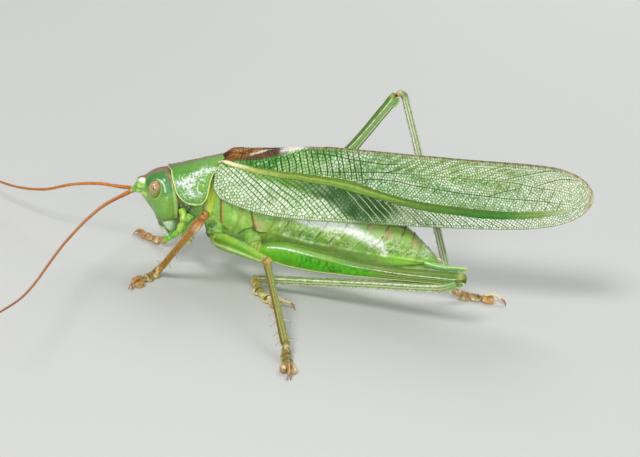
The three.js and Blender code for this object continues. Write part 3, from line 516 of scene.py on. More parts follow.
BACK_VEINS = [
    [(2.45, -.1), (2.7, 1.2), (2.6, 2.6), (2.2, 3.6)],
    [(3.6, .9), (4.8, .72), (5.65, 1.15), (5.5, 1.95), (4.4, 2.3), (3.6, 1.9), (3.35, 1.4), (3.6, .9)],
    [(.5, 1.6), (1.6, 1.25), (2.6, 1.0), (3.6, .9)], [(5.65, 1.15), (7.4, .8), (9.4, .22)], [(5.5, 1.95), (6.9, 1.45), (8.4, .9)],
    [(1.0, 2.6), (2.6, 2.5)], [(4.4, 2.3), (4.2, 3.0)],
]
U_END = 44.62


def reach_of(u):
    return np.maximum(0, TEGMEN(u)[1] - .42) * 1.7


def low_of(u):
    fold, hf, low, hl = TEGMEN(u)
    return low - fold


def wing_at(u, q, side, h=0.0):
    """Points of a fore wing in the drawing's frame; h is the height off its surface."""
    u, q = np.asarray(u, float), np.asarray(q, float)

    def base(u, q):
        fold, hf, low, hl = TEGMEN(u)
        near = .14 if side < 0 else .2
        hf2 = np.where(u > 10, hf + (near + .5 * np.clip(hf - .42, 0, 1) - hf) * sstep(10.0, 15.0, u), hf)
        s = np.clip(-q / np.maximum(fold - low, .2), 0, 1.02)
        y = hf2 + (hl - hf2) * s ** .8
        v = fold + q * (q < 0)
        # rounded pleats beside the stem
        mid = (STEM_TOP(u)[0] + STEM_LOW(u)[0]) / 2
        y = y + .16 * bump(q, mid, .7) * sstep(1, 5, u) * (1 - sstep(40, 44, u)) - .07 * bump(q, mid + 1.5, .6) * sstep(12, 17, u) * (1 - sstep(38, 43, u))
        r = np.maximum(0, hf - .42) * 1.7
        t = np.clip(q / np.maximum(r, .05), 0, 1.0)
        r1 = np.minimum(np.maximum(q, 0), r)
        y = np.where(q > 0, hf2 - r1, y)
        dome = .31 * r * np.minimum(1, .5 + u / 3) * np.sin(math.pi * t / 1.3)
        drop = .7 * np.minimum(1, 4 * t) * np.minimum(1, r) if side > 0 else 0 * t
        v = np.where(q > 0, fold + dome - drop, v)
        c, s_ = math.cos(PITCH), math.sin(PITCH)
        return np.stack([WING_ROOT[0] + u * c - v * s_, side * y, WING_ROOT[1] + u * s_ + v * c], -1)

    P = base(u, q)
    e = .04
    Pu = base(u + e, q) - base(u - e, q)
    Pq = base(u, q + e) - base(u, q - e)
    N = np.cross(Pu, Pq) * -side
    N /= np.maximum(np.linalg.norm(N, axis=-1), 1e-9)[..., None]
    N = np.where((N[..., 1] * side < -.25)[..., None], -N, N)
    return lean(P + N * np.asarray(h, float)[..., None])


def walk(poly, pitch):
    """Even points along a polyline, with their left normals."""
    P = np.array(poly, float)
    P3 = curve(np.c_[P, np.zeros(len(P))], max(int(np.linalg.norm(np.diff(P, axis=0), axis=1).sum() / pitch) + 1, 2))[:, :2]
    T = np.gradient(P3, axis=0)
    T /= np.maximum(np.linalg.norm(T, axis=1), 1e-9)[:, None]
    return P3, np.stack([-T[:, 1], T[:, 0]], 1)


def near_line(P, L):
    """Distance of points to a polyline."""
    best = np.full(len(P), 1e9)
    for a, b in zip(L[:-1], L[1:]):
        d = b - a
        t = np.clip(((P - a) @ d) / max(d @ d, 1e-12), 0, 1)
        best = np.minimum(best, np.linalg.norm(P - a - t[:, None] * d, axis=1))
    return best


def pitch_of(u, q):
    """The size of the net's cells: coarser below the stem near the root."""
    fine = np.interp(u, [-1, 12, 19, 24, 45], [.37, .36, .33, .3, .3])
    coarse = np.interp(u, [-1, 3, 7, 13, 17, 22, 45], [.38, .4, .45, .45, .4, .32, .3])
    return np.where(q < STEM_LOW(u)[0], coarse, fine)


def stem_tint(u):
    """The colour of the stem, from its cream root to its tip."""
    rib = mixc(lin(236, 226, 172), lin(166, 180, 86), sstep(1.2, 4.0, u))
    rib = mixc(rib, lin(112, 146, 36), sstep(4.5, 10, u))
    rib = mixc(rib, lin(84, 124, 22), sstep(14, 22, u))
    rib = mixc(rib, lin(46, 116, 6), sstep(24, 30, u))
    rib = mixc(rib, lin(112, 152, 60), sstep(33, 38, u))
    return mixc(rib, lin(190, 204, 156), sstep(38, 42, u))


def tegmen(side, seed):
    from mathutils import kdtree
    rng = np.random.default_rng(seed)
    # outline
    U0 = -.45
    us = np.concatenate([np.linspace(U0, 38, 100), 38 + (U_END - 38) * np.sin(np.linspace(0, 1, 34)[1:] * math.pi / 2)])
    lowq = low_of(us)
    top = np.where(us < 12.5, reach_of(us), 0)
    tip_q = np.linspace(low_of(U_END), 0, 4)[1:-1]
    ring = np.concatenate([np.c_[us, lowq], np.c_[np.full(2, U_END + .05), tip_q], np.c_[us, top][::-1]])
    ring = np.concatenate([ring, np.c_[np.full(5, U0), np.linspace(top[0], lowq[0], 7)[1:-1]], ring[:1]])
    O, ON = walk(ring, .3)
    seeds, ghosts = [], []

    def free(P, gap, others):
        if not len(others):
            return np.ones(len(P), bool)
        Q = np.array(others)
        if len(P) * len(Q) < 40000:
            return np.sqrt(((P[:, None, :] - Q[None]) ** 2).sum(-1)).min(1) > gap
        kd = kdtree.KDTree(len(Q))
        for i, q_ in enumerate(Q):
            kd.insert((q_[0], q_[1], 0), i)
        kd.balance()
        return np.array([kd.find((p_[0], p_[1], 0))[2] for p_ in P]) > gap

    inward = ON            # the ring runs forward along the low edge, so its left side is inside
    for p, n in zip(O[:-1], inward[:-1]):
        d = .17
        if free(np.array([p + n * d]), .2, seeds[-2:] + seeds[:1])[0]:
            seeds.append(p + n * d)
            ghosts.append(p - n * d)
    edge_line = O
    lines = []             # (kind, points)
    paths = [(2, v) for v in MAIN_VEINS] + [(2.5, v) for v in BACK_VEINS]
    for i, u0 in enumerate(np.arange(-.4, 41.5, 1.12)):
        u0 = u0 + rng.uniform(-.12, .12)
        a = STEM_LOW(u0)[0]
        steep = np.interp(u0, [0, 10, 13.4, 15.7, 20, 25, 31, 40], [1.0, .97, .93, .9, .92, .85, .62, .5])
        k = np.linspace(0, 1, 8)
        dq = low_of(u0 + 3) - a
        du = -dq / steep
        wob = rng.normal(0, .055, 8) * (k > 0)
        paths.append((1.1 if u0 < 15 else 1.4, [(u0 + du * s * (1 + .12 * (1 - s)) + w_, a + dq * s) for s, w_ in zip(k, wob)]))
    for u0 in np.arange(3.7, 16.4, .7):
        u0 = u0 + rng.uniform(-.08, .08)
        du = np.clip(.3 + .1 * (u0 - 5), .2, .9)
        b = STEM_TOP(u0 + du)[0]
        paths.append((1.8, [(u0, -.08), (u0 + du * .55 + rng.uniform(-.12, .12), b * .5), (u0 + du, b)]))
    for u0 in np.arange(17.2, 40.5, 1.45):
        b = STEM_TOP(u0)[0]
        r = np.interp(u0, [17, 27, 31, 40], [1.25, 1.5, .75, .6])
        paths.append((1, [(u0, b), (u0 + r * .5, b + .7), (u0 + r, min(b + 1.45, -3.2))]))
    for u0 in np.arange(16.6, 40, 1.35):
        paths.append((.8, [(u0, -3.1 if u0 < 24 else -3.75), (u0 + .5, -2.15)]))
    for kind, path in paths:
        pt = float(pitch_of(np.mean([q_[0] for q_ in path]), np.mean([q_[1] for q_ in path])))
        L, N2 = walk(path, pt)
        d = .5 * pt
        keep_line = L
        for sgn in (1, -1):
            S2 = L + sgn * d * N2
            inside = (S2[:, 1] > low_of(S2[:, 0]) + .22) & (S2[:, 1] < np.where(S2[:, 0] < 12, reach_of(S2[:, 0]), 0) - .15) & (S2[:, 0] < U_END - .25)
            clear = np.full(len(S2), 9.0)
            for k0, L0 in lines:
                if k0 != 3 and k0 > .95 and L0[:, 0].max() > S2[:, 0].min() - .4 and L0[:, 0].min() < S2[:, 0].max() + .4:
                    clear = np.minimum(clear, near_line(S2, L0))
            ok = inside & (clear > .42 * pt) & free(S2, .62 * pt, seeds)
            seeds += list(S2[ok])
        lines.append((kind, keep_line))
    # fill with an uneven honeycomb and let the points push each other apart
    fill = []
    for u_a, u_b, du_, dq_, part in ((U0 + .1, 6, .41, .36, -1), (6, 17, .46, .4, -1), (U0 + .1, 17, .37, .32, 1), (17, 20, .36, .31, 0), (20, U_END, .3, .262, 0)):
        for row, q in enumerate(np.arange(-8.4, 4.2, dq_)):
            uu = np.arange(u_a + (row % 2) * du_ / 2, u_b, du_)
            lowside = q < STEM_LOW(uu)[0]
            uu = uu[lowside] if part < 0 else uu[~lowside] if part > 0 else uu
            fill += [(u, q) for u in uu]
    F = np.array(fill)
    F = F + rng.uniform(-.3, .3, F.shape) * pitch_of(F[:, 0], F[:, 1])[:, None]
    vein_gap = np.full(len(F), 9.0)
    for kind, L in lines:
        if kind != 3 and kind > .85:
            m_ = (F[:, 0] > L[:, 0].min() - .3) & (F[:, 0] < L[:, 0].max() + .3)
            vein_gap[m_] = np.minimum(vein_gap[m_], near_line(F[m_], L))
    F = F[vein_gap > .46 * pitch_of(F[:, 0], F[:, 1])]
    ok = (F[:, 1] > low_of(F[:, 0]) + .28) & (F[:, 1] < np.where(F[:, 0] < 12, reach_of(F[:, 0]), 0) - .22) & (F[:, 0] < U_END - .2)
    F = F[ok]
    base = np.array(seeds)
    gap = np.array([0.0] * len(F))
    kd = kdtree.KDTree(len(base))
    for i, q_ in enumerate(base):
        kd.insert((q_[0], q_[1], 0), i)
    kd.balance()
    gap = np.array([kd.find((p_[0], p_[1], 0))[2] for p_ in F])
    F = F[gap > .68 * pitch_of(F[:, 0], F[:, 1])]
    for _ in range(3):
        A = np.concatenate([base, F])
        kd = kdtree.KDTree(len(A))
        for i, q_ in enumerate(A):
            kd.insert((q_[0], q_[1], 0), i)
        kd.balance()
        R_ = pitch_of(F[:, 0], F[:, 1]) * 1.05
        push = np.zeros_like(F)
        for i, p_ in enumerate(F):
            for co, j, r in kd.find_range((p_[0], p_[1], 0), R_[i]):
                if r > 1e-5:
                    w = (R_[i] - r) / r
                    push[i, 0] += (p_[0] - co[0]) * w
                    push[i, 1] += (p_[1] - co[1]) * w
        F = F + np.clip(push * .2, -.05, .05)
    S = np.concatenate([base, F])
    G = np.array(ghosts)
    far = np.array([(-6, -14), (50, -14), (50, 10), (-6, 10)], float)
    A = np.concatenate([S, G, far])
    res = geometry.delaunay_2d_cdt([Vector(p) for p in A], [], [], 0, 1e-9)
    V2 = np.array([tuple(v) for v in res[0]])
    tri = np.array([f for f in res[2] if len(f) == 3], int)
    src = np.array([o[0] if len(o) else -1 for o in res[3]])
    a, b, c = V2[tri[:, 0]], V2[tri[:, 1]], V2[tri[:, 2]]
    D = 2 * ((a[:, 0] * (b[:, 1] - c[:, 1])) + b[:, 0] * (c[:, 1] - a[:, 1]) + c[:, 0] * (a[:, 1] - b[:, 1]))
    ok = np.abs(D) > 1e-9
    D = np.where(ok, D, 1)
    a2, b2, c2 = (a ** 2).sum(1), (b ** 2).sum(1), (c ** 2).sum(1)
    cc = np.stack([(a2 * (b[:, 1] - c[:, 1]) + b2 * (c[:, 1] - a[:, 1]) + c2 * (a[:, 1] - b[:, 1])) / D,
                   (a2 * (c[:, 0] - b[:, 0]) + b2 * (a[:, 0] - c[:, 0]) + c2 * (b[:, 0] - a[:, 0])) / D], 1)
    cc[~ok] = ((a + b + c) / 3)[~ok]
    # collapse very short walls
    own = np.arange(len(tri))

    def root(i):
        while own[i] != i:
            own[i] = own[own[i]]
            i = own[i]
        return i
    edges = {}
    for t, (i, j, k) in enumerate(tri):
        for e in ((i, j), (j, k), (k, i)):
            edges.setdefault((min(e), max(e)), []).append(t)
    for e, ts in edges.items():
        if len(ts) == 2 and np.linalg.norm(cc[ts[0]] - cc[ts[1]]) < .055:
            x, y = root(ts[0]), root(ts[1])
            if x != y:
                own[y] = x
    rt = np.array([root(i) for i in range(len(tri))])
    sums, cnt = np.zeros_like(cc), np.zeros(len(cc))
    np.add.at(sums, rt, cc)
    np.add.at(cnt, rt, 1)
    cc = (sums / np.maximum(cnt, 1)[:, None])[rt]
    # polygons round each seed
    nS = len(S)
    by = [[] for _ in range(len(V2))]
    for t, f in enumerate(tri):
        for i in f:
            by[i].append(t)
    polys, seed_of = [], []
    for i in range(len(V2)):
        if src[i] < 0 or src[i] >= nS or len(by[i]) < 3:
            continue
        ts = np.array(by[i])
        ctr = S[src[i]]
        ang = np.arctan2(cc[ts, 1] - ctr[1], cc[ts, 0] - ctr[0])
        o = ts[np.argsort(ang)]
        ids = []
        for t in rt[o]:
            if not ids or ids[-1] != t:
                ids.append(t)
        if len(ids) > 1 and ids[0] == ids[-1]:
            ids.pop()
        if len(ids) >= 3 and np.abs(cc[ids] - ctr).max() < 1.6:
            polys.append(ids)
            seed_of.append(src[i])
    used = sorted({t for p in polys for t in p})
    new = -np.ones(len(cc), int)
    new[used] = np.arange(len(used))
    nodes = cc[used]
    polys = [[new[t] for t in p] for p in polys]
    # kinds of the walls
    W = {}
    ea = np.array(sorted({(min(p[k], p[(k + 1) % len(p)]), max(p[k], p[(k + 1) % len(p)])) for p in polys for k in range(len(p))}))
    kind = np.zeros(len(ea))
    pa, pb = nodes[ea[:, 0]], nodes[ea[:, 1]]
    for kd, L in lines:
        kd = kd * .4 if kd < 2.4 else 1.5
        da, db, dm = near_line(pa, L), near_line(pb, L), near_line((pa + pb) / 2, L)
        hit = (np.maximum(da, db) < .085) & (dm < .06)
        kind[hit] = np.maximum(kind[hit], kd)
    de = np.maximum(near_line(pa, edge_line), near_line(pb, edge_line))
    kind[de < .06] = 4
    half = np.interp(kind, [0, .8, .9, 1.1, 1.4, 1.8, 2, 2.5, 3, 4], [.042, .046, .055, .078, .07, .11, .085, .11, .075, .09])
    high = np.interp(kind, [0, .8, .9, 1.1, 1.4, 1.8, 2, 2.5, 3, 4], [.032, .036, .045, .065, .06, .07, .085, .11, .1, .07])
    # the ribbon's own cells were to run together into one smooth strip, but the test |q - mid| < -1 never holds, so no
    # cell counts as ribbon and no wall is changed
    pc = np.array([nodes[p].mean(0) for p in polys])
    pm, ph_ = (STEM_TOP(pc[:, 0])[0] + STEM_LOW(pc[:, 0])[0]) / 2, (STEM_TOP(pc[:, 0])[0] - STEM_LOW(pc[:, 0])[0]) / 2
    pband = (np.abs(pc[:, 1] - pm) < -1) & (pc[:, 0] > -1.0) & (pc[:, 0] < 43.2)
    bcount = {}
    for p, bb in zip(polys, pband):
        if bb:
            for k in range(len(p)):
                e = (min(p[k], p[(k + 1) % len(p)]), max(p[k], p[(k + 1) % len(p)]))
                bcount[e] = bcount.get(e, 0) + 1
    for i_, e in enumerate(map(tuple, ea)):
        if bcount.get((int(e[0]), int(e[1])), 0) == 2:
            half[i_], high[i_], kind[i_] = .02, .075, 2.95
    ex = {(int(x), int(y)): k for k, (x, y) in enumerate(ea)}
    node_high, node_kind = np.zeros(len(nodes)), np.zeros(len(nodes))
    np.maximum.at(node_high, ea[:, 0], high)
    np.maximum.at(node_high, ea[:, 1], high)
    np.maximum.at(node_kind, ea[:, 0], kind)
    np.maximum.at(node_kind, ea[:, 1], kind)
    # colours
    def paint(u, q, vein, kd, band, cellrand):
        """vein 1 on a wall and 0 on the membrane between walls."""
        back = sstep(-.1, .25, q) * (u < 11.5)
        st, sl = STEM_TOP(u)[0], STEM_LOW(u)[0]
        lowzone = q < sl
        deep = (sl - q) / np.maximum(sl - low_of(u), .2)            # 0 at the stem, 1 at the lower edge
        net = .5 + .5 * vnoise(np.stack([u, q, 0 * u], 1), 1.1, 12)
        membrane = mixc(lin(218, 240, 198), lin(190, 220, 162), net)
        # painted shade: below the stem the membrane is painted dark green where the dark body behind the wing shows
        # through; wd is the zone's width
        near = 1 - sstep(.5, .95, deep)
        wd = np.interp(u, [1.5, 5, 7, 9.5, 11.8, 14.5, 16.6, 18], [.1, .6, .85, 1.25, 1.75, 2.5, 3.5, 5.2]) * (1 + .12 * vnoise(np.stack([u, q, 0 * u], 1), .9, 20))
        below = sl - q
        shade = lowzone * (1 - sstep(.72, 1.15, below / wd)) * sstep(2.2, 4.4, u) * (1 - sstep(20.5, 24.5, u + 1.5 * deep))
        membrane = mixc(membrane, mixc(lin(104, 160, 44), lin(22, 84, 8), sstep(6, 14, u)), np.clip(shade * (.97 - .2 * (1 - near) * sstep(15, 18, u)) * (.94 + .3 * (net - .5)), 0, 1))
        membrane = mixc(membrane, lin(150, 168, 142), .8 * lowzone * sstep(20.5, 23, u) * (1 - sstep(25, 29, u)))
        membrane = mixc(membrane, lin(226, 236, 220), .9 * lowzone * sstep(25, 30, u))
        # painted shade: a darker patch below the stem around u 19
        membrane = mixc(membrane, lin(8, 68, 0), .85 * lowzone * bump(u, 19.2, 2.6) * (1 - sstep(.5, .9, deep)))
        up = ~lowzone
        ladder = up * (1 - sstep(13, 18, u))
        lad = mixc(lin(176, 216, 140), lin(70, 142, 30), np.clip(.8 * net + .5 * bump(q, -.3, .5) + .4 * (1 - sstep(5, 9, u)) - .05, 0, 1))
        membrane = mixc(membrane, lad, ladder)
        membrane = mixc(membrane, lin(152, 194, 126), up * sstep(12, 17, u))
        membrane = mixc(membrane, lin(170, 206, 148), up * sstep(19, 25, u))
        yel = bump(q, -1.5, 1.4) * sstep(19, 26, u) * (1 - sstep(34, 39, u)) * up
        membrane = mixc(membrane, lin(168, 196, 96), .65 * yel)
        membrane = mixc(membrane, lin(222, 232, 204), sstep(33, 40, u) * up * .9)
        rise = np.interp(u, [12, 20, 28, 36], [.75, .6, .3, .2])
        streak = vnoise(np.stack([(u + rise * q) * .2, (q - rise * u) * 1.05, 0 * u], 1), 1.5, 14)
        membrane = mixc(membrane, lin(226, 238, 206), .7 * np.clip(streak * 1.7, 0, 1) * (u > 12) * (1 - np.clip(shade, 0, 1)))
        membrane = mixc(membrane, lin(100, 144, 56), .62 * np.clip(-streak * 1.5, 0, 1) * (u > 12) * (1 - sstep(35, 39, u)) * up)
        membrane = membrane * (1 + .2 * (cellrand - .6) * (1 - .6 * np.clip(shade, 0, 1)))[:, None]
        # painted glints: white flecks on the cells stand in for glints off the membrane, with darker flecks between
        # them
        pt3 = np.stack([u, q, 0 * u], 1)
        sp = .45 * vnoise(pt3, 9.5, 31) + .08 * vnoise(pt3, 2.4, 32) + .5 * (cellrand - .5)
        far_up = up * sstep(12, 16, u)
        membrane = mixc(membrane, lin(236, 247, 240), .6 * far_up * sstep(-.06, .38, sp))
        membrane = mixc(membrane, lin(92, 142, 66), .55 * far_up * (1 - sstep(-.42, -.06, sp)))
        # painted highlight and painted shade: pale and green stripes stand in for folds running up to the margin, which
        # the mesh does not have
        slope = np.interp(u, [18, 28, 36], [.55, .42, .28])
        folds = np.sin(2 * math.pi * (u - q / slope) / 1.75 + 2.2 * vnoise(pt3, .45, 35))
        where = far_up * sstep(17.5, 20.5, u) * (1 - sstep(33, 38, u)) * sstep(-3.0, -1.9, q) * (.55 + .45 * np.clip(1.6 * vnoise(pt3, .6, 36) + .5, 0, 1))
        membrane = mixc(membrane, lin(238, 244, 222), .6 * where * sstep(.35, .95, folds))
        membrane = mixc(membrane, lin(98, 142, 40), .6 * where * sstep(.1, .8, -folds))
        # the same painted glints, white and darker flecks, in the costal field and between the ladder bars
        cost = lowzone * (1 - np.clip(shade * 1.2, 0, 1))
        membrane = mixc(membrane, lin(244, 250, 240), .7 * cost * sstep(.04, .34, sp))
        membrane = mixc(membrane, lin(138, 178, 108), .6 * cost * (1 - sstep(-.38, -.1, sp)))
        membrane = mixc(membrane, lin(206, 232, 190), .6 * ladder * sstep(.1, .4, sp))
        fine = mixc(lin(62, 92, 42), lin(70, 108, 40), sstep(14, 22, u))
        fine = mixc(fine, lin(40, 100, 20), ladder * .8)
        fine = mixc(fine, lin(112, 132, 80), sstep(28, 40, u))
        # the fine veins are painted darker inside the same painted shade
        fine = mixc(fine, mixc(lin(84, 130, 40), lin(24, 66, 10), sstep(6, 14, u)), np.clip(shade, 0, 1) * .9)
        fine = mixc(fine, lin(44, 72, 28), ((kd > 1.05) & (kd < 1.2)) * 1.0)
        fine = mixc(fine, lin(54, 84, 36), ((kd > .85) & (kd < 1.02)) * (u < 24))
        fine = mixc(fine, lin(18, 76, 8), ((kd > 1.7) & (kd < 1.9)) * 1.0)
        main = mixc(lin(48, 84, 24), lin(92, 112, 56), sstep(30, 40, u))
        main = mixc(main, lin(176, 196, 92), .85 * (q > -2.6) * sstep(18, 22, u) * (1 - sstep(36, 40, u)))
        fine = np.where(((kd > 1.9) & (kd < 2.2))[:, None], main, fine)
        rib = stem_tint(u)
        inband = np.clip(band, 0, 1)
        col = mixc(membrane, fine, np.clip(vein, 0, 1))
        col = mixc(col, rib, np.maximum(inband, ((kd > 2.9) & (kd < 3.1)) * np.clip(vein * 1.4, 0, 1)))
        # over the back
        vn = vnoise(np.stack([u * .7, q * 1.6, 0 * u], 1), 2.2, 16)
        amber = mixc(lin(150, 98, 34), lin(112, 70, 26), sstep(3, 7, u))
        fleck = vnoise(np.stack([u, q, 0 * u], 1), 4.6, 33)
        amber = mixc(amber, lin(70, 40, 14), np.clip(1.1 * vn - .1 + .7 * fleck, 0, 1))
        amber = mixc(amber, lin(206, 152, 72), np.clip(-1.0 * vn, 0, 1))
        # a grey-brown strip along the fold, set off by a cream vein
        vq = np.interp(u, [1.8, 3.0, 3.8, 4.6, 5.2, 6.2], [.5, .72, .85, 1.05, 1.3, 1.35])
        strip = (1 - sstep(vq - .1, vq + .1, q)) * sstep(2.4, 3.4, u)
        amber = mixc(amber, mixc(lin(98, 70, 44), lin(70, 40, 24), .5 + .5 * vn), .85 * strip)
        amber = mixc(amber, lin(44, 26, 14), .9 * bump(q, 1.75, .38) * sstep(4.6, 5.4, u) * (1 - sstep(6.6, 7.2, u)))
        amber = mixc(amber, lin(255, 254, 244), sstep(6.8, 7.4, u) * (1 - .3 * np.clip(vn, 0, 1)) * (1 - .8 * bump(q, .15, .3) * (1 - sstep(7.6, 8.4, u))))
        amber = mixc(amber, lin(150, 160, 104), .7 * sstep(9.4, 10.4, u))
        dark = mixc(lin(66, 36, 12), lin(176, 166, 126), sstep(7.2, 8.4, u))
        cream = np.exp(-((q - vq) / .14) ** 2) * sstep(3.3, 3.9, u) * (1 - sstep(5.6, 6.2, u))
        bk = mixc(mixc(amber, dark, np.clip(vein, 0, 1) * .48), lin(240, 230, 204), cream)
        bk = mixc(bk, lin(30, 14, 6), np.clip(bump(u, .35, .7) * (q < 2.6) * .95, 0, 1))
        bk = mixc(bk, lin(52, 28, 10), .9 * bump(q, .1, .13) * (1 - sstep(4.6, 6, u)))
        col = mixc(col, bk, back)
        # margins
        dot = .5 + .5 * np.sin(u * 9.0 + 2 * np.sin(u * 2.3))
        up_edge = np.exp(-np.maximum(-q, 0) / .16) * (u > 10.5)
        col = mixc(col, mixc(lin(104, 80, 42), lin(156, 150, 96), dot), up_edge * .9)
        d_tip = np.hypot(np.maximum(u - 39.5, 0) / 1.0, 0)
        tipm = sstep(43.2, 44.4, u) + sstep(40, 43, u) * np.exp(-np.maximum(q - low_of(u), 0) / .2) + sstep(39, 42, u) * np.exp(-np.maximum(-q, 0) / .25)
        col = mixc(col, mixc(lin(150, 128, 88), lin(190, 186, 140), dot), np.clip(tipm, 0, 1) * (.5 + .4 * np.clip(vein, 0, 1)))
        low_edge = np.exp(-np.maximum(q - low_of(u), 0) / .12) * (u < 40)
        col = mixc(col, mixc(lin(128, 150, 96), lin(104, 124, 66), sstep(16, 24, u)), low_edge * .7)
        return col

    Vu, Vq, Vh, Vv, Vk, Vb, Vr = [nodes[:, 0]], [nodes[:, 1]], [node_high], [np.ones(len(nodes))], [node_kind], [np.zeros(len(nodes))], [np.full(len(nodes), .5)]
    n_nodes = len(nodes)
    count = n_nodes
    topf, lowf = [], []
    TOP, LOW = [], []
    # the underside has its own nodes, laid after the top's points
    groups = {}
    for p, sd in zip(polys, seed_of):
        groups.setdefault(len(p), []).append((p, sd))
    under = []
    for n, items in sorted(groups.items()):
        P = np.array([p for p, _ in items])
        Q = nodes[P]                                   # m, n, 2
        nx = np.roll(Q, -1, axis=1)
        ev = nx - Q
        L = np.maximum(np.linalg.norm(ev, axis=2), 1e-9)
        nrm = np.stack([-ev[..., 1], ev[..., 0]], -1) / L[..., None]
        eid = np.array([[ex[(min(p[k], p[(k + 1) % n]), max(p[k], p[(k + 1) % n]))] for k in range(n)] for p in P])
        w, kd = half[eid], kind[eid]
        area = .5 * np.abs((Q[..., 0] * nx[..., 1] - nx[..., 0] * Q[..., 1]).sum(1))
        cen = Q.mean(1)
        midq = (STEM_TOP(cen[:, 0])[0] + STEM_LOW(cen[:, 0])[0]) / 2
        hq = (STEM_TOP(cen[:, 0])[0] - STEM_LOW(cen[:, 0])[0]) / 2
        band = ((np.abs(cen[:, 1] - midq) < -1) & (cen[:, 0] > -1.0) & (cen[:, 0] < 43.2)).astype(float)
        n1, n2 = np.roll(nrm, 1, axis=1), nrm
        w1, w2 = np.roll(w, 1, axis=1), w
        dot = (n1 * n2).sum(-1)
        den = 1 - dot ** 2
        flat = den < .05
        den = np.where(flat, 1, den)
        off = np.where(flat[..., None], n1 * ((w1 + w2) / 2)[..., None], (((w1 - w2 * dot) / den)[..., None] * n1 + ((w2 - w1 * dot) / den)[..., None] * n2))
        ol = np.linalg.norm(off, axis=-1)
        lim = .55 * np.linalg.norm(cen[:, None] - Q, axis=-1)
        off *= np.minimum(1, lim / np.maximum(ol, 1e-9))[..., None]
        r = rng.uniform(0, 1, len(P))
        R1, R2 = Q + off * .5, Q + off
        wall = np.maximum(np.roll(high[eid], 1, axis=1), high[eid])
        kk = np.maximum(np.roll(kd, 1, axis=1), kd)
        m = len(P)
        lift = band[:, None] * .07
        i1 = count + np.arange(m * n).reshape(m, n)
        i2 = i1 + m * n
        i3 = count + 2 * m * n + np.arange(m)
        count += 2 * m * n + m
        for arr, val in ((Vu, R1[..., 0]), (Vu, R2[..., 0]), (Vu, cen[:, 0]), (Vq, R1[..., 1]), (Vq, R2[..., 1]), (Vq, cen[:, 1])):
            arr.append(val.ravel())
        Vh += [(np.minimum(wall, high[eid].mean(1)[:, None] * 1.6) * .86).ravel(), (0 * wall + lift).ravel(), (.012 + lift[:, 0])]
        Vv += [np.full(m * n, .95), np.full(m * n, .12), np.zeros(m)]
        Vk += [kk.ravel(), kk.ravel(), kk.max(1) * 0]
        Vb += [np.repeat(band, n), np.repeat(band, n), band]
        Vr += [np.repeat(r, n), np.repeat(r, n), r]
        j = (np.arange(n) + 1) % n
        topf.append(np.stack([P, P[:, j], i1[:, j], i1], -1).reshape(-1, 4))
        topf.append(np.stack([i1, i1[:, j], i2[:, j], i2], -1).reshape(-1, 4))
        TOP.append(np.stack([i2, i2[:, j], np.repeat(i3[:, None], n, 1)], -1).reshape(-1, 3))
        under.append((P, R2, cen, band))
    u0, q0 = np.concatenate(Vu), np.concatenate(Vq)
    top_count = count
    # underside
    Uu, Uq, Uh = [nodes[:, 0]], [nodes[:, 1]], [-.03 - .5 * node_high]
    count = top_count + n_nodes
    for P, R2, cen, band in under:
        m, n = P.shape
        i3 = count + np.arange(m)
        count += m
        Uu.append(cen[:, 0])
        Uq.append(cen[:, 1])
        Uh.append(np.full(m, -.035) - band * .04)
        j = (np.arange(n) + 1) % n
        P2 = P + top_count
        LOW.append(np.stack([P2, np.repeat(i3[:, None], n, 1), P2[:, j]], -1).reshape(-1, 3))
    allu, allq = np.concatenate([u0] + Uu), np.concatenate([q0] + Uq)
    allh = np.concatenate([np.concatenate(Vh)] + Uh)
    P3 = wing_at(allu, allq, side, allh)
    # rim
    one = {}
    for p in polys:
        for k in range(len(p)):
            a_, b_ = p[k], p[(k + 1) % len(p)]
            one[(a_, b_)] = one.get((a_, b_), 0) + 1
    rim = np.array([(a_, b_) for (a_, b_) in one if (b_, a_) not in one])
    rimf = np.stack([rim[:, 1], rim[:, 0], rim[:, 0] + top_count, rim[:, 1] + top_count], -1)
    quads = np.concatenate(topf + lowf + [rimf])
    tris = np.concatenate(TOP + LOW)
    col_top = paint(u0, q0, np.concatenate(Vv), np.concatenate(Vk), np.concatenate(Vb), np.concatenate(Vr))
    uu_, qq_ = np.concatenate(Uu), np.concatenate(Uq)
    vv_ = np.concatenate([np.ones(n_nodes)] + [np.zeros(len(x)) for x in Uu[1:]])
    # the underside takes the same colours painted 0.85 as dark: painted shade
    col_low = paint(uu_, qq_, vv_, np.concatenate([node_kind] + [np.zeros(len(x)) for x in Uu[1:]]), np.zeros(len(uu_)), np.full(len(uu_), .5)) * .85
    col = np.concatenate([col_top, col_low])
    # a flat map: the upper side in four strips, the underside in four more
    lay = np.concatenate([np.zeros(top_count, int), np.ones(len(uu_), int)])
    qn = (allq + 8.5) / 13.0
    faces = [quads, tris]
    uvs = []
    for f in faces:
        cu = allu[f].mean(1)
        strip = np.clip((cu / 11.3).astype(int), 0, 3)
        uo = (allu[f] - strip[:, None] * 11.3 + 1.5) / 14.2
        face_lay = lay[f].min(1)
        uvs.append(np.stack([uo * .48 + (strip % 2)[:, None] * .5 + .01, qn[f] * .235 + (strip // 2)[:, None] * .25 + face_lay[:, None] * .5 + .005], -1).reshape(-1, 2))
    if side > 0:
        faces = [f[:, ::-1] for f in faces]
        uvs = [x.reshape(f.shape[0], f.shape[1], 2)[:, ::-1].reshape(-1, 2) for x, f in zip(uvs, faces)]
    vein = np.concatenate([np.concatenate(Vv), vv_])
    return P3, faces, col, np.concatenate(uvs), vein, paths


VEIN_SIZE = {.8: .034, .9: .04, 1: .04, 1.1: .031, 1.4: .044, 1.8: .072, 2: .047, 2.5: .05}


